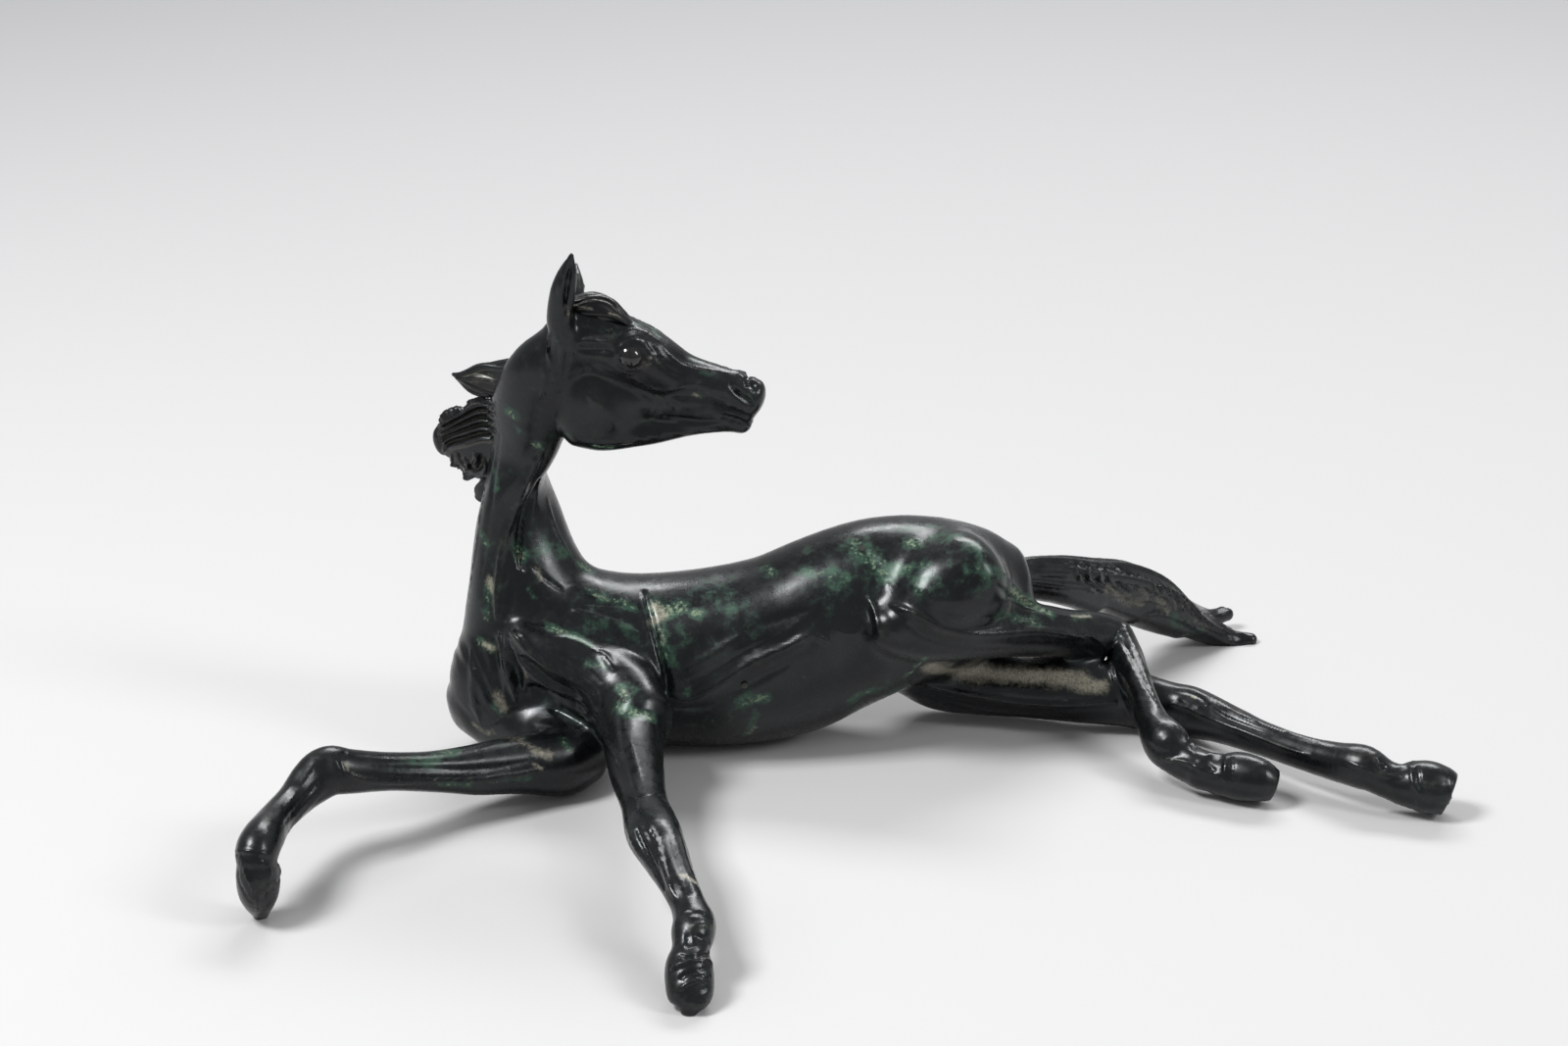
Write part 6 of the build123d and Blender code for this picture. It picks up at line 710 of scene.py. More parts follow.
# ------------------------------------------------------------------ where the patina is green or dusty: kind, strength, half width, path
BLOOM = [
    ('green',0.9,5.17,[[27.9,-6,89.4],[35.8,-12.2,85.9],[41.7,-16.7,81.3]]),
    ('green',0.75,3.56,[[41.7,-14.2,84.1],[49.5,-18.3,84.1],[57.2,-21.7,87.3]]),
    ('green',0.7,3.58,[[8,-12.3,80.3],[17.9,-15,80.6],[23.8,-17.1,79.3]]),
    ('green',0.9,2.8,[[-7.2,-3.7,78.9],[-4.8,-8.3,78.2]]),
    ('green',1,3.58,[[51,-6.9,91],[54.1,-9.3,90.7]]),
    ('green',0.55,5.54,[[63.8,-5.7,93.9],[73.2,-15.4,94.9],[78.8,-21.3,91.8]]),
    ('green',0.6,5.53,[[72.7,-26.2,87.5],[82.6,-26,85.3],[91.8,-12.4,73]]),
    ('green',1.2,1.77,[[53.5,-28.5,78.6],[55.4,-29.5,78.6]]),
    ('green',0.5,4,[[24.1,1.4,91.1],[34,-1.5,92.3]]),
    ('green',0.35,4.01,[[40,0.8,93.5],[64.2,4,94.3]]),
    ('green',1.1,2.82,[[91.8,-12.4,73],[98.6,-3.9,64.1],[105,-1.6,59.6],[110,-0.9,56.6]]),
    ('cream',0.5,1.61,[[92.8,-10.1,71.1],[99.9,-3.4,63.4]]),
    ('green',0.9,2.8,[[87.6,-19.2,64.7],[98.3,-11.2,58.5],[105.5,-7.9,55.3]]),
    ('green',0.7,2.04,[[120.1,6.6,51.6],[127.8,13.6,48.5]]),
    ('cream',0.9,1.39,[[119.7,6.7,51.9],[127.9,14.2,48.7]]),
    ('green',0.35,6.3,[[65.2,-17.2,92.3],[68.8,-28.5,84.2],[78.7,-29.1,77.6]]),
    ('green',1.1,3.98,[[-52.6,-16.6,67],[-47.8,-18.4,66.1],[-42.2,-18.1,66.8]]),
    ('cream',0.9,2.79,[[-52.6,-16.6,67],[-49.3,-19.9,64.9],[-52.5,-21.8,63.2]]),
    ('green',1.3,2.38,[[-36.6,-20.4,65.6],[-34.2,-20.6,65.7]]),
    ('green',0.8,3.17,[[-50.8,-24.2,60.8],[-48.4,-28.9,54.2],[-46,-31.5,48.4]]),
    ('cream',0.45,1.98,[[-50.8,-24.2,60.8],[-48.8,-27.9,55.9]]),
    ('green',0.45,3.18,[[-25.8,-20.3,66.9],[-15.9,-19.1,68.9]]),
    ('green',1.1,3.21,[[-83.3,-4.4,79.6],[-80.3,-2.4,77.4]]),
    ('green',0.5,3.99,[[-92.5,-7.5,87.4],[-87.2,-5.3,83]]),
    ('green',0.8,2.19,[[-78.8,-15.4,72.6],[-72.4,-17.1,70.2],[-66.9,-16.7,69.2],[-61.7,-17.9,67.1]]),
    ('cream',0.45,1.35,[[-77.2,-16.4,71.7],[-70.9,-16.7,70.1]]),
    ('green',1,2.37,[[-94.8,-29.7,63.2],[-90,-30.7,61.9]]),
    ('green',0.9,1.97,[[-88.8,-31.3,61.4],[-82.9,-32.5,59.3],[-78.1,-34.9,56.9]]),
    ('green',0.4,4.76,[[-71.3,-26.2,61.7],[-59.5,-27.1,57.7]]),
    ('green',0.6,2.75,[[-78.6,-41,52.8],[-72.2,-43.2,51.2]]),
    ('green',1.1,2.34,[[-65.6,-52.2,46.8],[-62.2,-57.5,44.9]]),
    ('green',1,3.49,[[-66.1,-59.5,41.6],[-60.1,-63.8,41.1],[-52.8,-63.1,39]]),
    ('cream',0.6,1.17,[[-63.9,-54.4,46.1],[-61.5,-56.8,45.5]]),
    ('cream',0.45,1.16,[[-58.1,-64.8,40.7],[-52.7,-63.7,38.9]]),
    ('green',1.2,2.77,[[-107.8,-14.4,91.1],[-105.4,-15.1,87.9]]),
    ('green',0.6,3.58,[[-99.3,-11.4,89.8],[-91.8,-6.2,87.7]]),
    ('green',0.7,1.98,[[-103,-21.1,76.7],[-101,-22.3,73.8]]),
    ('cream',0.55,1.59,[[-100,-16.2,83.2],[-98.3,-18.5,79.1]]),
    ('cream',0.8,2.38,[[-119.1,-17.5,78.6],[-117.4,-19.7,75.2]]),
    ('green',0.8,2.38,[[-119.9,-18.7,74],[-119.1,-20.8,69.7],[-120.4,-21.9,64.1]]),
    ('green',1,2.78,[[-123.4,-23.6,54],[-119.1,-27.1,52.5]]),
    ('cream',0.95,1.79,[[-121.6,-25.1,53.8],[-118.3,-27.4,52.7]]),
    ('cream',0.8,1.19,[[-104.6,-36.7,47.8],[-104,-35.8,44.3]]),
    ('cream',0.75,2.78,[[-116.1,-32.6,34.1],[-113.8,-34.2,29.6]]),
    ('green',0.6,2.39,[[-117.1,-33.1,29],[-114.6,-34.7,26.3]]),
    ('green',1,2.83,[[-132.6,-19.7,12.4],[-129.4,-20.2,9.5]]),
    ('cream',0.6,1.59,[[-127.1,-27.2,19.1],[-119.9,-32.5,17.3],[-109.3,-58.9,28.4]]),
    ('cream',0.65,2.73,[[-109.3,-58.9,28.4],[-99.3,-64.3,25],[-93.6,-63.5,22.8]]),
    ('cream',0.7,1.56,[[-99.2,-67.7,20.6],[-96.5,-67.3,18.6]]),
    ('green',0.8,2.35,[[-88.1,-55.9,25.6],[-86.1,-58.8,23.1]]),
    ('green',0.9,3.08,[[-136.2,-80.5,31.2],[-130.3,-75.2,30.4]]),
    ('green',0.6,3.06,[[-143,-87.9,32.3],[-137.7,-85.1,30.1]]),
    ('green',0.9,1.54,[[-134.2,-85.9,21.1],[-123.3,-80.4,18.3]]),
    ('green',0.5,1.55,[[-115.9,-76.9,17.4],[-101.1,-69.6,15]]),
    ('cream',0.9,0.9,[[-167.9,-106.6,40.8],[-166.8,-107.5,38.4]]),
    ('green',0.3,3.04,[[-141.1,-88.6,30.2],[-151.6,-95.4,34.4]]),
    ('cream',0.4,0.76,[[-158.4,-102.8,31.4],[-144.7,-92.7,25.9]]),
    ('green',0.95,3.19,[[-17.1,-32,30.7],[-12.7,-31.9,32.4],[-8,-31.5,32.7]]),
    ('green',0.6,2.41,[[-12,-30.4,26],[-12.8,-28,19.5],[-15.3,-24.9,13.5]]),
    ('cream',0.6,1.21,[[-12,-26.7,17.1],[-14.1,-24.6,13.4]]),
    ('green',0.8,2.81,[[28.1,-20.8,26.7],[32.1,-20.6,29.3],[38.2,-18.5,30.1]]),
    ('green',0.5,1.99,[[-39.7,-33,36.5],[-37.4,-32.9,33.3]]),
    ('green',1.2,2.34,[[-99.2,-14.8,136.9],[-96.9,-14.5,136]]),
    ('green',1.2,2.34,[[-108.2,-13.7,149.8],[-106.7,-14.7,148.5]]),
    ('green',0.8,1.56,[[-106.8,-14,144.9],[-105.3,-14.4,142.6]]),
    ('green',0.6,2.76,[[-116.1,-6.4,122],[-115.1,-11.6,115.5]]),
    ('green',0.9,2.38,[[-122.2,-10.7,96],[-120.5,-12.8,92.6]]),
    ('green',0.4,2.33,[[-93.6,-15.3,140],[-85.4,-20.9,142.1]]),
    ('green',0.5,1.55,[[-91.6,-18.5,149.9],[-89.3,-18.5,147.4]]),
    ('cream',0.3,1.56,[[-101.2,-16.3,144.1],[-93.4,-16.4,143.3]]),
    ('green',1,2.68,[[-82.6,-15.6,189.3],[-76.6,-19.5,188.5]]),
    ('green',1,2.68,[[-82.6,-12.4,189.3],[-76.6,-8.5,188.5]]),
    ('cream',0.9,1.92,[[-81.3,-17.9,188.8],[-77.3,-20.2,188]]),
    ('cream',0.9,1.92,[[-81.3,-10.1,188.8],[-77.3,-7.8,188]]),
    ('green',0.6,2.68,[[-70.8,-21.8,186.9],[-65.8,-22.4,186.3]]),
    ('green',0.6,2.68,[[-70.8,-6.2,186.9],[-65.8,-5.6,186.3]]),
    ('cream',0.8,0.69,[[-80.3,-19.4,195.7],[-74.8,-21.3,195.1]]),
    ('cream',0.8,0.69,[[-80.3,-8.6,195.7],[-74.8,-6.7,195.1]]),
    ('cream',0.8,0.69,[[-67.9,-21.8,193.3],[-64.9,-21.2,192.3]]),
    ('cream',0.8,0.69,[[-67.9,-6.2,193.3],[-64.9,-6.8,192.3]]),
    ('cream',0.6,0.76,[[-83.9,-27.4,198.3],[-83.6,-26.5,194.1]]),
    ('green',0.7,1.38,[[-59.1,-17.7,188.7],[-53.1,-13.9,185.1],[-49.2,-17.5,182.2]]),
    ('green',0.7,1.38,[[-59.1,-10.3,188.7],[-53.1,-14.1,185.1],[-49.2,-10.5,182.2]]),
    ('green',0.7,1.54,[[-37,-17,173.1],[-29,-13.8,170.4]]),
    ('green',0.7,1.54,[[-37,-11,173.1],[-29,-14.2,170.4]]),
    ('green',0.5,1.16,[[-32.4,-20.6,167.9],[-28.5,-19.9,167.2]]),
    ('green',0.5,1.16,[[-32.4,-7.4,167.9],[-28.5,-8.1,167.2]]),
    ('cream',1.3,0.42,[[-54.7,-26.3,174.5],[-52.8,-25.6,176.1],[-51.3,-24.8,177]]),
    ('cream',1.3,0.42,[[-54.7,-1.7,174.5],[-52.8,-2.4,176.1],[-51.3,-3.2,177]]),
    ('cream',0.35,2.3,[[-61.3,-25.8,170.5],[-53.6,-26.2,173.9],[-47.5,-23.8,175.5]]),
    ('cream',0.35,2.3,[[-61.3,-2.2,170.5],[-53.6,-1.8,173.9],[-47.5,-4.2,175.5]]),
    ('green',0.5,1.53,[[-89.8,-24.7,184.2],[-91.3,-21.9,177.2]]),
    ('green',0.5,1.53,[[-89.8,-3.3,184.2],[-91.3,-6.1,177.2]]),
    ('green',1.3,1.17,[[-75.7,-21.7,138.3],[-68,-21.1,137.2]]),
    ('green',1.3,1.17,[[-75.7,-6.3,138.3],[-68,-6.9,137.2]]),
    ('cream',0.7,0.93,[[-35.5,-22.4,160.3],[-33.9,-22.1,159.4]]),
    ('cream',0.7,0.93,[[-35.5,-5.6,160.3],[-33.9,-5.9,159.4]]),
    ('cream',0.3,2.32,[[-25.1,-21.7,157.6],[-15.5,-21.4,153.4]]),
    ('cream',0.3,2.32,[[-25.1,-6.3,157.6],[-15.5,-6.6,153.4]]),
    ('cream',0.25,1.16,[[-88.5,-21.8,167.1],[-87.9,-21.1,162.3]]),
    ('cream',0.25,1.16,[[-88.5,-6.2,167.1],[-87.9,-6.9,162.3]]),
    ('cream',0.45,1.97,[[-124.7,6,156.1],[-118.8,3.6,158.6],[-116,2.1,156.6]]),
    ('cream',0.35,1.15,[[-77.2,-17.3,199.9],[-71.8,-19.1,198.8]]),
    ('cream',0.35,1.15,[[-77.2,-10.7,199.9],[-71.8,-8.9,198.8]]),
    ('cream',0.55,3.39,[[138.8,49.4,46.5],[147.6,57.7,37.4],[156.2,64.1,32.8]]),
    ('cream',0.5,2.56,[[155.2,62.6,40.8],[158.8,65.4,34]]),
    ('cream',0.55,3,[[162.6,68.1,32.9],[168.6,72.9,26.1]]),
    ('green',0.45,3.47,[[170.4,75,21.4],[185.3,85.7,9.6]]),
    ('cream',0.4,2.17,[[175,77.7,21.1],[187.4,86.6,11.5]]),
    ('cream',0.25,2.92,[[124.7,37.4,58.4],[134,45.3,51.9]]),
    ('cream',1.15,4.49,[[60.3,-15.4,39.3],[76,7.7,25.9],[92.4,7.9,25],[108.7,5.4,25.2],[124.8,2.4,24.8]]),
    ('cream',1.1,3.27,[[114.7,4.4,25.6],[124.8,1,22.7],[133,1.1,22.7]]),
    ('cream',0.6,3.25,[[64.3,-15.1,40.9],[82.2,10.1,27.5]]),
    ('green',1.3,1.2,[[57.1,-29.6,49.7],[53.7,-18.5,40.7],[49.9,-17,35.6]]),
    ('cream',0.9,0.8,[[56.1,-19.6,43],[52.2,-17.2,37.4]]),
    ('cream',1,1.2,[[-36.9,-178.5,31.6],[-34,-179.6,30.6],[-31.2,-180.6,28.4]]),
    ('cream',0.3,0.55,[[-38.2,-222.2,8.3],[-37.5,-223.1,6.9]]),
    ('cream',2,0.53,[[169.6,-4.5,21.3],[170.9,-6.8,21]]),
    ('green',0.34,10.31,[[15.9,-19,75.8],[19.8,-20.3,74.6]]),
    ('green',0.3,7.93,[[-15.9,-25.8,61.5],[-11.9,-26.7,60.2]]),
    ('green',0.36,8.72,[[31.7,-19.7,76.1],[35.7,-20.6,74.8]]),
    ('green',0.4,8.66,[[55.1,-25.6,83],[59,-28.3,82.4]]),
    ('green',0.35,7.08,[[74.7,-29.6,80.4],[78.7,-29,78.4]]),
    ('green',0.36,6.34,[[-39.6,-27.2,57.8],[-35.7,-28.2,56.5]]),
    ('green',0.34,7.99,[[-32,-10.1,72],[-27.9,-12.9,71.5]]),
    ('green',0.34,7.14,[[-95.2,-19.5,76.1],[-91.3,-19.3,74.2]]),
    ('green',0.28,7.92,[[-79.2,-27.2,62.1],[-75.2,-27.8,60.7]]),
    ('green',0.38,5.46,[[-62.4,-52.4,47.7],[-58.4,-54.6,47]]),
    ('green',0.34,6.4,[[8,-0.9,85.5],[12,-5.1,85.5]]),
    ('green',0.4,4.84,[[42.3,-17.6,31.5],[46.6,-11.3,26.7]]),
    ('green',0.3,7.2,[[-32,-30.2,21.9],[-28,-29.2,19.6]]),
    ('green',0.3,3.96,[[-106.7,-11.3,106.9],[-103.1,-8.3,104]]),
    ('green',0.36,5.57,[[-97.4,-10.3,89.4],[-93.6,-8.9,87.1]]),
    ('green',0.36,3.17,[[-119.1,-18.6,75.7],[-114.9,-20.8,74.9]]),
    ('green',0.42,6.36,[[63.8,-5.7,93.9],[67.4,-11.3,94.5]]),
    ('green',0.4,5.64,[[-56.5,1.2,71.6],[-52.3,-3,71.6]]),
    ('green',0.6,5.8,[[-41.4,30.6,54.5],[-38.1,31.6,52.8]]),
    ('green',0.8,4.98,[[-8.3,32.8,58.1],[-5,34.3,56.1]]),
    ('green',0.7,6.64,[[16.6,36.8,63.2],[19.9,38,61.3]]),
    ('green',0.8,5.81,[[41.5,39.4,68.8],[44.9,40.1,67.2]]),
    ('green',0.6,4.99,[[66.5,41,68.2],[69.9,41.5,66.6]]),
    ('green',0.7,4.97,[[-62,28.8,55.3],[-58.8,30.2,53.4]]),
    ('green',0.8,4.07,[[-93.7,18.3,77.6],[-90.4,16.7,76.9]]),
    ('green',0.6,4.99,[[-83.2,29.6,36.9],[-79.9,30.4,35.1]]),
    ('green',0.8,3.26,[[-110.1,18.6,77.4],[-106.9,19.4,75.8]]),
    ('green',0.5,5.01,[[33.4,40.3,50.4],[36.7,40.3,49]]),
    ('green',0.6,5.02,[[83.6,42.4,49.5],[86.9,41.3,48.6]]),
    ('cream',0.6,3.32,[[-24.9,32,54],[-22.4,33.1,51.7]]),
    ('cream',0.6,3.32,[[-74.7,30.9,45.4],[-72.3,31.8,43.2]]),
    ('cream',0.5,3.29,[[-98.6,21.9,58.3],[-96.3,22.8,56.1]]),
    ('cream',0.5,3.76,[[54.3,41.5,54.4],[56.8,41.3,52.7]]),
]


def curve(pts, per=4):
    a = np.array(pts, float)
    if len(a) == 1:
        return np.vstack([a, a + 0.01])
    if len(a) == 2:
        t = np.linspace(0, 1, 5)[:, None]
        return a[0] * (1 - t) + a[1] * t
    return _resample(a, per)


def gradient(f, p, e=0.2):
    g = np.stack([f(p + np.eye(3)[i] * e, far=6.0) - f(p - np.eye(3)[i] * e, far=6.0) for i in range(3)], 1)
    return g / np.maximum(np.linalg.norm(g, axis=1), 1e-9)[:, None]


def normals(V, Q):
    a, b, c, d = (V[Q[:, i]] for i in range(4))
    fn = np.cross(c - a, d - b)
    N = np.stack([sum(np.bincount(Q[:, i], fn[:, k], len(V)) for i in range(4)) for k in range(3)], 1)
    return N / np.maximum(np.linalg.norm(N, axis=1), 1e-12)[:, None]


def edges_of(Q):
    e = np.sort(np.vstack([Q[:, [0, 1]], Q[:, [1, 2]], Q[:, [2, 3]], Q[:, [3, 0]]]), axis=1)
    return np.unique(e, axis=0)


def smooth(V, E, n):
    cnt = np.maximum(np.bincount(E.ravel(), minlength=len(V)), 1)
    for _ in range(n):
        S = np.stack([np.bincount(E[:, 0], V[E[:, 1], k], len(V)) + np.bincount(E[:, 1], V[E[:, 0], k], len(V)) for k in range(V.shape[1])], 1)
        V = S / cnt[:, None]
    return V


def nearest(p, c, w):
    """Smallest distance in units of the local half width, and where along the path it is."""
    best = np.full(len(p), 1e9)
    at = np.zeros(len(p))
    for i in range(len(c) - 1):
        a, d = c[i], c[i + 1] - c[i]
        s = np.clip((p - a) @ d / (d @ d + 1e-9), 0, 1)
        x = np.linalg.norm(p - a - s[:, None] * d, axis=1) / (w[i] * (1 - s) + w[i + 1] * s)
        m = x < best
        best[m], at[m] = x[m], i + s[m]
    return best, at


def lattice_noise(p, size, seed):
    rs = np.random.RandomState(seed)
    tab = rs.rand(64, 64, 64)
    q = p / size + 500.0
    i = np.floor(q).astype(int)
    f = q - i
    f = f * f * (3 - 2 * f)
    out = np.zeros(len(p))
    for a in (0, 1):
        for b in (0, 1):
            for c in (0, 1):
                w = np.where(a, f[:, 0], 1 - f[:, 0]) * np.where(b, f[:, 1], 1 - f[:, 1]) * np.where(c, f[:, 2], 1 - f[:, 2])
                out += w * tab[(i[:, 0] + a) % 64, (i[:, 1] + b) % 64, (i[:, 2] + c) % 64]
    return out - 0.5


READY = []
_all = Sculpt()
_all.ops = BODY.ops + [("add", SH[n], 0.5) for n in ("mane_tuft", "mane_main", "mane_low", "forelock", "eye_near", "eye_far")]
_cat = [curve(s[4]) for s in STROKES]
_pts = np.vstack(_cat)
_prj = project(_all, _pts, 2, 0.1, 1.5)
_nrm = gradient(_all, _prj)
_k = 0
for s, c in zip(STROKES, _cat):
    P, NP = _prj[_k:_k + len(c)], _nrm[_k:_k + len(c)]
    _k += len(c)
    x = np.linspace(0, 1, len(P))
    f = np.clip(np.minimum(x, 1 - x) / max(s[3], 1e-3), 0, 1) ** 0.7 * 0.85 + 0.15
    READY.append((s[0], s[1], P, s[2] * f, f, NP))


def detail(V, N, grain=1.0):
    d = np.zeros(len(V))
    for amp, sharp, P, w, f, NP in READY:
        R = w.max() * 3.0
        m = np.where(np.all((V > P.min(0) - R) & (V < P.max(0) + R), axis=1))[0]
        if not len(m):
            continue
        x, at = nearest(V[m], P, w)
        i = np.clip(np.round(at).astype(int), 0, len(P) - 1)
        face = np.clip(((N[m] * NP[i]).sum(1) + 0.35) / 0.6, 0, 1)
        prof = np.exp(-1.8 * x) if sharp else np.exp(-1.3 * x * x)
        d[m] += amp * (0.3 + 0.7 * f[i]) * prof * face * (x < 3)
    d += grain * (0.26 * lattice_noise(V, 13.0, 3) + 0.09 * lattice_noise(V, 5.0, 4) + 0.04 * lattice_noise(V, 2.2, 5))
    return V + N * d[:, None]


def bloom(V, kind):
    out = np.zeros(len(V))
    for k, s, w, pts in BLOOM:
        if k != kind:
            continue
        c = curve(pts)
        R = w * 2.4 + 4
        m = np.where(np.all((V > c.min(0) - R) & (V < c.max(0) + R), axis=1))[0]
        if len(m):
            x, _ = nearest(V[m], c, np.full(len(c), w))
            out[m] = np.maximum(out[m], s * np.exp(-x * x * 0.9))
    return out


def finish_mesh(name, V, faces, N, A, mat):
    me = bpy.data.meshes.new(name)
    me.from_pydata(((V + SHIFT) * 0.001).tolist(), [], faces)
    me.polygons.foreach_set("use_smooth", [True] * len(me.polygons))
    for k, a in A.items():
        at = me.attributes.new(k, "FLOAT", "POINT")
        at.data.foreach_set("value", a.astype(np.float32))
    me.update()
    me.normals_split_custom_set_from_vertices(N.tolist())
    me.materials.append(mat)
    o = bpy.data.objects.new(name, me)
    bpy.context.scene.collection.objects.link(o)
    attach(o, "root")
    return o


def surface(f, lo, hi, h, grain=1.0, levels=4, soften=None):
    V, Q = polygonise(f, lo, hi, h, levels)
    V = project(f, V, 1, 0.1, 0.6)
    N = normals(V, Q)
    E = edges_of(Q)
    if soften is not None:
        # the broad muscle masses are smoothed along their normals before anything is modelled on them
        n = int(26 * (1.05 / h) ** 2)
        w = smooth(soften(V)[:, None].astype(float), E, max(4, int(10 / h)))[:, 0]
        a = smooth(V, E, n)
        a = a + 0.85 * (a - smooth(a, E, n))
        V = V + N * (np.clip(((a - V) * N).sum(1), -2.5, 2.5) * w)[:, None]
        N = normals(V, Q)
    V = detail(V, N, grain)
    V[:, 2] = np.maximum(V[:, 2], 0.0)
    N = normals(V, Q)
    near, wide = smooth(V, E, max(2, int(3.0 / h))), smooth(V, E, max(8, int(22.0 / h)))
    A = {"fine": ((V - near) * N).sum(1), "relief": ((V - wide) * N).sum(1), "green": bloom(V, "green"), "cream": bloom(V, "cream")}
    return V, Q, N, A


# ------------------------------------------------------------------ patinated bronze
class Nodes:
    def __init__(self, name):
        self.mat = bpy.data.materials.new(name)
        self.mat.use_nodes = True
        self.t = self.mat.node_tree
        self.p = self.t.nodes["Principled BSDF"]
        self.co = self.t.nodes.new("ShaderNodeTexCoord").outputs["Object"]

    def link(self, a, b):
        self.t.links.new(a, b)

    def noise(self, scale, detail=4.0, rough=0.55, distortion=0.0):
        n = self.t.nodes.new("ShaderNodeTexNoise")
        n.inputs["Scale"].default_value, n.inputs["Detail"].default_value = scale, detail
        n.inputs["Roughness"].default_value, n.inputs["Distortion"].default_value = rough, distortion
        self.link(self.co, n.inputs["Vector"])
        return n.outputs["Fac"]

    def cells(self, scale, out="Distance"):
        n = self.t.nodes.new("ShaderNodeTexVoronoi")
        n.inputs["Scale"].default_value = scale
        self.link(self.co, n.inputs["Vector"])
        return n.outputs[out]

    def attr(self, name):
        n = self.t.nodes.new("ShaderNodeAttribute")
        n.attribute_name = name
        return n.outputs["Fac"]

    def put(self, sock, v):
        if hasattr(v, "is_linked"):
            self.link(v, sock)
        else:
            sock.default_value = v

    def math(self, op, a, b=0.0, c=0.0, clamp=False):
        n = self.t.nodes.new("ShaderNodeMath")
        n.operation, n.use_clamp = op, clamp
        for i, v in enumerate((a, b, c)):
            self.put(n.inputs[i], v)
        return n.outputs[0]

    def ramp(self, v, a, b, lo=0.0, hi=1.0):
        n = self.t.nodes.new("ShaderNodeMapRange")
        n.interpolation_type = "SMOOTHSTEP"
        self.put(n.inputs["Value"], v)
        for k, x in (("From Min", a), ("From Max", b), ("To Min", lo), ("To Max", hi)):
            n.inputs[k].default_value = x
        return n.outputs[0]

    def mix(self, f, a, b):
        n = self.t.nodes.new("ShaderNodeMix")
        n.data_type = "RGBA"
        self.put(n.inputs[0], f)
        for i, v in ((6, a), (7, b)):
            self.put(n.inputs[i], v if hasattr(v, "is_linked") else (*v, 1.0))
        return n.outputs[2]

    def bump(self, height, strength, dist, normal=None):
        n = self.t.nodes.new("ShaderNodeBump")
        n.inputs["Strength"].default_value, n.inputs["Distance"].default_value = strength, dist
        self.link(height, n.inputs["Height"])
        if normal:
            self.link(normal, n.inputs["Normal"])
        return n.outputs[0]


def bronze(name, dust=1.0, strands=0.0, rough=0.26):
    m = Nodes(name)
    broad, mid, small, tiny = m.noise(38, 5, 0.6), m.noise(190, 6, 0.62), m.noise(620, 4, 0.6), m.noise(2100, 3, 0.5)
    relief, fine, green, cream = m.attr("relief"), m.attr("fine"), m.attr("green"), m.attr("cream")
    low = m.ramp(m.math("MULTIPLY_ADD", mid, 0.35, m.math("MULTIPLY", relief, -1.0)), 0.45, 1.3)
    ridge = m.math("MULTIPLY", m.ramp(relief, 0.25, 0.95), m.ramp(mid, 0.46, 0.70))
    col = m.mix(m.ramp(broad, 0.38, 0.62), (0.0045, 0.0055, 0.0065), (0.0090, 0.0115, 0.0130))
    col = m.mix(m.math("MULTIPLY", m.ramp(mid, 0.54, 0.74), 0.4), col, (0.016, 0.018, 0.017))
    col = m.mix(m.math("MULTIPLY", ridge, 0.35), col, (0.040, 0.036, 0.028))
    # green patina: dark and mottled, with paler crusts where it is thick
    cloud = m.math("MULTIPLY_ADD", m.math("SUBTRACT", broad, 0.5), 0.9, m.math("MULTIPLY", m.math("SUBTRACT", mid, 0.5), 1.7))
    g = m.ramp(m.math("ADD", green, cloud), 0.16, 0.80)
    g = m.math("MAXIMUM", m.math("MULTIPLY", g, m.ramp(small, 0.26, 0.60, 0.35, 1.0)), m.math("MULTIPLY", low, 0.16 * dust))
    thick = m.ramp(m.math("ADD", green, m.math("MULTIPLY", m.math("SUBTRACT", small, 0.5), 2.6)), 0.78, 1.45)
    leaf = m.mix(m.ramp(mid, 0.40, 0.62), (0.0085, 0.034, 0.023), (0.018, 0.060, 0.036))
    col = m.mix(g, col, leaf)
    col = m.mix(m.math("MULTIPLY", thick, 0.8), col, m.mix(m.ramp(small, 0.4, 0.62), (0.075, 0.135, 0.080), (0.190, 0.240, 0.145)))
    c = m.ramp(m.math("ADD", cream, m.math("MULTIPLY", m.math("ADD", m.math("SUBTRACT", mid, 0.5), m.math("SUBTRACT", small, 0.5)), 0.75)), 0.20, 1.15)
    c = m.math("MULTIPLY", c, m.ramp(tiny, 0.30, 0.60, 0.35, 1.0))
    if strands:
        c = m.math("MAXIMUM", c, m.math("MULTIPLY", m.ramp(fine, -0.04, -0.20), strands))
    col = m.mix(c, col, m.mix(small, (0.20, 0.185, 0.135), (0.36, 0.335, 0.265)))
    m.link(col, m.p.inputs["Base Color"])
    patina = m.math("MAXIMUM", m.math("MULTIPLY_ADD", thick, 0.6, m.math("MULTIPLY", g, 0.35)), c)
    m.link(m.math("SUBTRACT", 0.62, m.math("MULTIPLY", patina, 0.62), clamp=True), m.p.inputs["Metallic"])
    r = m.math("ADD", m.ramp(mid, 0.3, 0.7, rough - 0.05, rough + 0.12), m.math("MULTIPLY", patina, 0.34))
    m.link(m.math("ADD", r, m.ramp(small, 0.4, 0.7, 0.0, 0.06), clamp=True), m.p.inputs["Roughness"])
    m.p.inputs["Specular IOR Level"].default_value = 0.5
    m.p.inputs["Coat Weight"].default_value = 0.30
    m.p.inputs["Coat Roughness"].default_value = 0.24
    pits = m.ramp(m.cells(520), 0.0, 0.30)
    b = m.bump(mid, 0.08, 0.0006)
    b = m.bump(small, 0.10, 0.0004, b)
    b = m.bump(m.math("MULTIPLY", pits, m.ramp(broad, 0.3, 0.6)), 0.12, 0.0003, b)
    b = m.bump(tiny, 0.10, 0.0002, b)
    m.link(b, m.p.inputs["Normal"])
    return m.mat


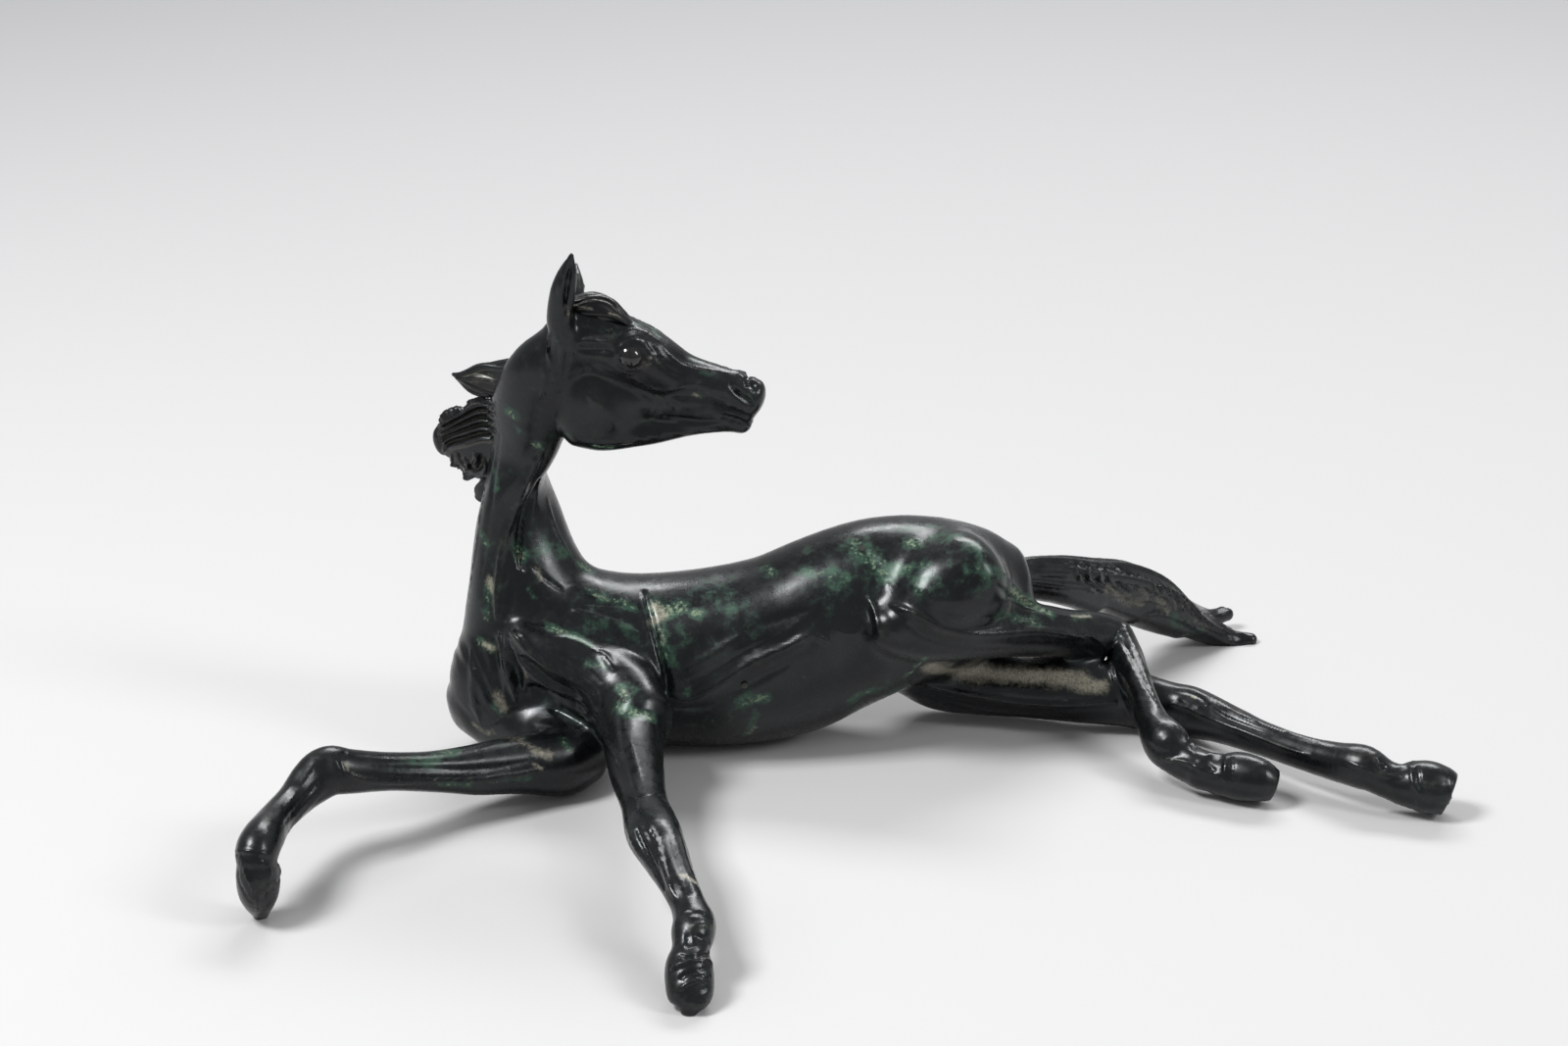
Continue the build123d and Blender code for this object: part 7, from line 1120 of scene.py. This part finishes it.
BRONZE, HAIR = bronze("bronze_patina"), bronze("bronze_hair_patina", 1.0, 0.16, 0.30)


def plain(name, col_a, col_b, rough, metal, scale, coat=0.0, bump=0.2):
    m = Nodes(name)
    a, b = m.noise(scale, 5, 0.6), m.noise(scale * 5, 3, 0.5)
    m.link(m.mix(m.ramp(a, 0.4, 0.62), col_a, col_b), m.p.inputs["Base Color"])
    m.link(m.ramp(b, 0.3, 0.7, rough, rough + 0.14), m.p.inputs["Roughness"])
    m.p.inputs["Metallic"].default_value = metal
    m.p.inputs["Coat Weight"].default_value = coat
    m.p.inputs["Coat Roughness"].default_value = 0.08
    m.link(m.bump(b, bump, 0.0003), m.p.inputs["Normal"])
    return m.mat


EYE = plain("bronze_eye_polish", (0.006, 0.0065, 0.007), (0.014, 0.013, 0.012), 0.10, 0.5, 300, 0.7, 0.05)
RAW = plain("raw_bronze_turned", (0.42, 0.24, 0.10), (0.50, 0.31, 0.14), 0.28, 1.0, 260, 0.0, 0.15)
PLUG = plain("bronze_plug_patina", (0.022, 0.022, 0.020), (0.060, 0.055, 0.040), 0.34, 0.5, 320, 0.1, 0.3)


# ------------------------------------------------------------------ one skin for body, neck, head, limbs, tail and ears, then cut at the cast seams
H = 1.05
lo = np.min([s.lo for _, s, _ in BODY.ops], axis=0) - 4
hi = np.max([s.hi for _, s, _ in BODY.ops], axis=0) + 4


def broad(V):
    near = {g: np.min([SH[n](V) for n in ns], axis=0) for g, ns in GROUPS.items()}
    mass = np.minimum(near["trunk_casting"], near["neck_casting"])
    small = np.min([near[g] for g in near if g not in ("trunk_casting", "neck_casting")], axis=0)
    return (mass < 1.5) & (small > mass + 3.0)


V, Q, N, A = surface(BODY, lo, hi, H, soften=broad)
cx = V[Q].mean(1)
dist = {g: np.min([SH[n](cx) for n in ns], axis=0) for g, ns in GROUPS.items()}
names = list(GROUPS)
label = np.argmin(np.stack([dist[g] for g in names]), axis=0)
ix = {g: i for i, g in enumerate(names)}
for g in ("foreleg_right", "foreleg_left", "hind_leg_left", "hind_leg_right", "tail_casting"):
    a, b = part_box(g)
    a, b = np.array(a) * 1000 - SHIFT - 1.5, np.array(b) * 1000 - SHIFT + 1.5
    label[(label == ix[g]) & ~np.all((cx > a) & (cx < b), axis=1)] = ix["trunk_casting"]
nk = np.array([r[:3] for r in ROWS["neck"]["rows"]])
seam, seam_dir = nk[3], _n(nk[4] - nk[2])
poll, poll_dir = np.array([-90.8, -11, 153.79]), _n(np.array([35.17, 0, 5.37]))
front = np.isin(label, [ix["neck_casting"], ix["trunk_casting"], ix["head_casting"]]) & (dist["neck_casting"] < 14) & (np.linalg.norm(cx - seam, axis=1) < 120)
up = (cx - seam) @ seam_dir
label[front & (label == ix["neck_casting"]) & (up < 0)] = ix["trunk_casting"]
label[front & (label == ix["trunk_casting"]) & (up >= 0)] = ix["neck_casting"]
past = (cx - poll) @ poll_dir
label[(label == ix["head_casting"]) & (past < 0)] = ix["neck_casting"]
label[(label == ix["neck_casting"]) & (past >= 0) & (cx[:, 2] > poll[2] - 45)] = ix["head_casting"]
PATCH_AT = np.array([-11.6, -28.0, 26.6])
pz = _n((0, -1, -0.35)); px = np.array([1.0, 0, 0]); py = np.cross(pz, px)
q = cx - PATCH_AT
names.append("belly_patch"); ix["belly_patch"] = len(names) - 1
label[(np.abs(q @ px) < 6.5) & (np.abs(q @ py) < 5.0) & (np.abs(q @ pz) < 12) & (label == ix["trunk_casting"])] = ix["belly_patch"]

# faces that share an edge; a stray island of a label goes to the label around it
fe = np.sort(np.stack([Q, np.roll(Q, -1, 1)], -1).reshape(-1, 2), axis=1)
fid = np.repeat(np.arange(len(Q)), 4)
o_ = np.lexsort((fe[:, 1], fe[:, 0]))
se, sf = fe[o_], fid[o_]
same = np.all(se[1:] == se[:-1], axis=1)
pa, pb = sf[:-1][same], sf[1:][same]
for _round in range(4):
    comp = np.arange(len(Q))
    m = label[pa] == label[pb]
    a_, b_ = pa[m], pb[m]
    while True:
        low = np.minimum(comp[a_], comp[b_])
        before = comp.copy()
        np.minimum.at(comp, a_, low)
        np.minimum.at(comp, b_, low)
        comp = comp[comp]
        if np.array_equal(before, comp):
            break
    ids, inv, cnt = np.unique(comp, return_inverse=True, return_counts=True)
    main = {}
    for g in range(len(names)):
        sel = inv[label == g]
        if len(sel):
            c = np.bincount(sel, minlength=len(ids))
            main[g] = int(np.argmax(c))
    stray = np.array([inv[i] != main[label[i]] for i in range(len(Q))])
    if not stray.any():
        break
    new = label.copy()
    x = stray[pa] & ~stray[pb]
    new[pa[x]] = label[pb[x]]
    x = stray[pb] & ~stray[pa]
    new[pb[x]] = label[pa[x]]
    for g in np.unique(inv[stray]):
        mem = np.where(inv == g)[0]
        got = new[mem][new[mem] != label[mem]]
        if len(got):
            new[mem] = np.bincount(got).argmax()
    label = new


def cap_loops(faces):
    """Boundary loops of a patch of faces, in order."""
    nxt = {}
    seen = set()
    for f in faces:
        for i in range(len(f)):
            seen.add((f[i], f[(i + 1) % len(f)]))
    for a, b in seen:
        if (b, a) not in seen:
            nxt.setdefault(b, []).append(a)
    loops = []
    while nxt:
        start = next(iter(nxt))
        loop, cur = [start], start
        while True:
            opts = nxt.get(cur)
            if not opts:
                break
            nx = opts.pop()
            if not opts:
                del nxt[cur]
            if nx == start:
                break
            loop.append(nx)
            cur = nx
        if len(loop) > 2:
            loops.append(loop)
    return loops


def whole(v, F, n, att, cap=True):
    """Close any open loop, then keep the one largest connected body."""
    if cap:
        extra = []
        for L in cap_loops(F):
            c = len(v) + len(extra)
            extra.append((v[L].mean(0), n[L].mean(0)))
            F = F + [[L[i], L[(i + 1) % len(L)], c] for i in range(len(L))]
        if extra:
            v, n = np.vstack([v, [e[0] for e in extra]]), np.vstack([n, [e[1] for e in extra]])
            att = {k: np.concatenate([a, np.zeros(len(extra))]) for k, a in att.items()}
    ea = np.array([f[0] for f in F for _ in f[1:]])
    eb = np.array([i for f in F for i in f[1:]])
    comp = np.arange(len(v))
    while True:
        before = comp.copy()
        low = np.minimum(comp[ea], comp[eb])
        np.minimum.at(comp, ea, low)
        np.minimum.at(comp, eb, low)
        comp = comp[comp]
        if np.array_equal(before, comp):
            break
    first = comp[np.array([f[0] for f in F])]
    ids, cnt = np.unique(first, return_counts=True)
    best = ids[np.argmax(cnt)]
    F = [f for f, c in zip(F, first) if c == best]
    used = np.unique([i for f in F for i in f])
    to = np.full(len(v), -1)
    to[used] = np.arange(len(used))
    return v[used], [[int(to[i]) for i in f] for f in F], n[used], {k: a[used] for k, a in att.items()}


for g in names:
    sel = Q[label == ix[g]]
    if not len(sel):
        continue
    used, inv = np.unique(sel, return_inverse=True)
    F = inv.reshape(-1, 4).tolist()
    v, n = V[used], N[used]
    att = {k: a[used] for k, a in A.items()}
    if g == "belly_patch":
        m = len(v)
        inner = v - n * 2.2
        loops = cap_loops(F)
        F2 = F + [[i + m for i in reversed(f)] for f in F]
        for L in loops:
            for i in range(len(L)):
                a, b = L[i], L[(i + 1) % len(L)]
                F2.append([a, b, b + m, a + m])
        v, n, F = np.vstack([v, inner]), np.vstack([n, -n]), F2
        att = {k: np.concatenate([a, a]) for k, a in att.items()}
    else:
        extra, en = [], []
        for L in cap_loops(F):
            c = len(v) + len(extra)
            extra.append(v[L].mean(0)); en.append((0, 0, 1))
            F += [[L[i], L[(i + 1) % len(L)], c] for i in range(len(L))]
        if extra:
            v, n = np.vstack([v, extra]), np.vstack([n, en])
            att = {k: np.concatenate([a, np.zeros(len(extra))]) for k, a in att.items()}
    v, F, n, att = whole(v, F, n, att, False)
    finish_mesh(g + "_skin", v, F, n, att, BRONZE)
    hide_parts(g)
    print("PIECE", g, len(F), flush=True)

LOCKS = {"forelock": strands("forelock", 9, 1.25, 0.92, 2.3, 0.35, 5, 0.0), "mane_tuft": strands("mane_tuft", 9, 1.15, 0.90, 3.0, 0.30, 6),
         "mane_low": strands("mane_low", 6, 1.0, 0.85, 3.0, 0.3, 8)}

# ------------------------------------------------------------------ hair and eyes, each its own closed piece set into the skin
for name, part, slot, mat, k, h in [
        ("mane_upper_tuft", ["mane_tuft"], "bronze_hair", "hair", 0, 0.5), ("mane_main_lock", ["mane_main"], "bronze_hair", "hair", 0, 0.55),
        ("mane_lower_lock", ["mane_low"], "bronze_hair", "hair", 0, 0.5), ("forelock", ["forelock"], "bronze_hair", "hair", 0, 0.45),
        ("eye_right", ["eye_near"], "bronze_eye", "eye", 0, 0.4), ("eye_left", ["eye_far"], "bronze_eye", "eye", 0, 0.4)]:
    s = LOCKS[part[0]] if part[0] in LOCKS else Sculpt().add(SH[part[0]], 0)
    v, q, n, att = surface(s, SH[part[0]].lo - 4, SH[part[0]].hi + 4, h * (1), 0.0 if mat == "eye" else 0.6, 3)
    v, F, n, att = whole(v, q.tolist(), n, att)
    o = finish_mesh(name + "_skin", v, F, n, att, HAIR if mat == "hair" else EYE)
    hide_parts(name)

for name, mat in [("neck_sleeve", RAW), ("head_sleeve", RAW), ("joint_pins", PLUG), ("core_pin_plugs", PLUG), ("belly_plug", PLUG)]:
    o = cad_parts[name]
    o.data.materials.clear()
    o.data.materials.append(mat)

# ------------------------------------------------------------------ floor, light, camera
def floor():
    me = bpy.data.meshes.new("floor")
    n = 24
    g = np.linspace(-5, 5, n + 1)
    verts = [(x, y, 0.0) for y in g for x in g]
    faces = [(j * (n + 1) + i, j * (n + 1) + i + 1, (j + 1) * (n + 1) + i + 1, (j + 1) * (n + 1) + i) for j in range(n) for i in range(n)]
    me.from_pydata(verts, [], faces)
    m = Nodes("pale_floor")
    sep = m.t.nodes.new("ShaderNodeSeparateXYZ")
    m.link(m.co, sep.inputs[0])
    # painted shade: the floor colour darkens towards the back, standing in for the lamps' light falling off with
    # distance
    back = m.ramp(m.math("ADD", sep.outputs[1], m.math("MULTIPLY", m.noise(3, 3), 0.05)), -0.6, 1.9)
    m.link(m.mix(back, (0.505, 0.505, 0.505), (0.365, 0.365, 0.370)), m.p.inputs["Base Color"])
    m.p.inputs["Roughness"].default_value = 0.75
    m.p.inputs["Specular IOR Level"].default_value = 0.2
    me.materials.append(m.mat)
    o = bpy.data.objects.new("floor", me)
    bpy.context.scene.collection.objects.link(o)


floor()
CAM_AT = (np.array([0.0, -1153.4, 562.6]) + SHIFT) * 0.001
cam = bpy.data.objects.new("camera", bpy.data.cameras.new("camera"))
bpy.context.scene.collection.objects.link(cam)
cam.data.sensor_width, cam.data.lens, cam.data.clip_start = 36.0, 70.0, 0.01
cam.location = Vector(CAM_AT)
cam.rotation_euler = (math.radians(90 - 22.0), 0, 0)
bpy.context.scene.camera = cam


def area(name, at, size, power, colour=(1, 1, 1), aim=(0, 0, 0.07)):
    L = bpy.data.lights.new(name, "AREA")
    L.shape, L.size, L.size_y, L.energy, L.color = "RECTANGLE", size[0], size[1], power, colour
    o = bpy.data.objects.new(name, L)
    o.location = at
    o.rotation_mode = "QUATERNION"
    o.rotation_quaternion = (Vector(aim) - Vector(at)).to_track_quat("-Z", "Y")
    bpy.context.scene.collection.objects.link(o)


area("key_softbox", (-1.35, -0.45, 2.05), (0.75, 0.75), 62)
area("back_softbox", (0.45, 1.70, 1.90), (1.8, 0.60), 46)
area("right_softbox", (2.05, -0.80, 1.70), (0.55, 1.05), 27)
world = bpy.data.worlds.new("studio")
bpy.context.scene.world = world
world.use_nodes = True
world.node_tree.nodes["Background"].inputs[0].default_value = (0.80, 0.81, 0.82, 1)
world.node_tree.nodes["Background"].inputs[1].default_value = 0.46

bpy.context.scene.view_settings.view_transform = "Standard"
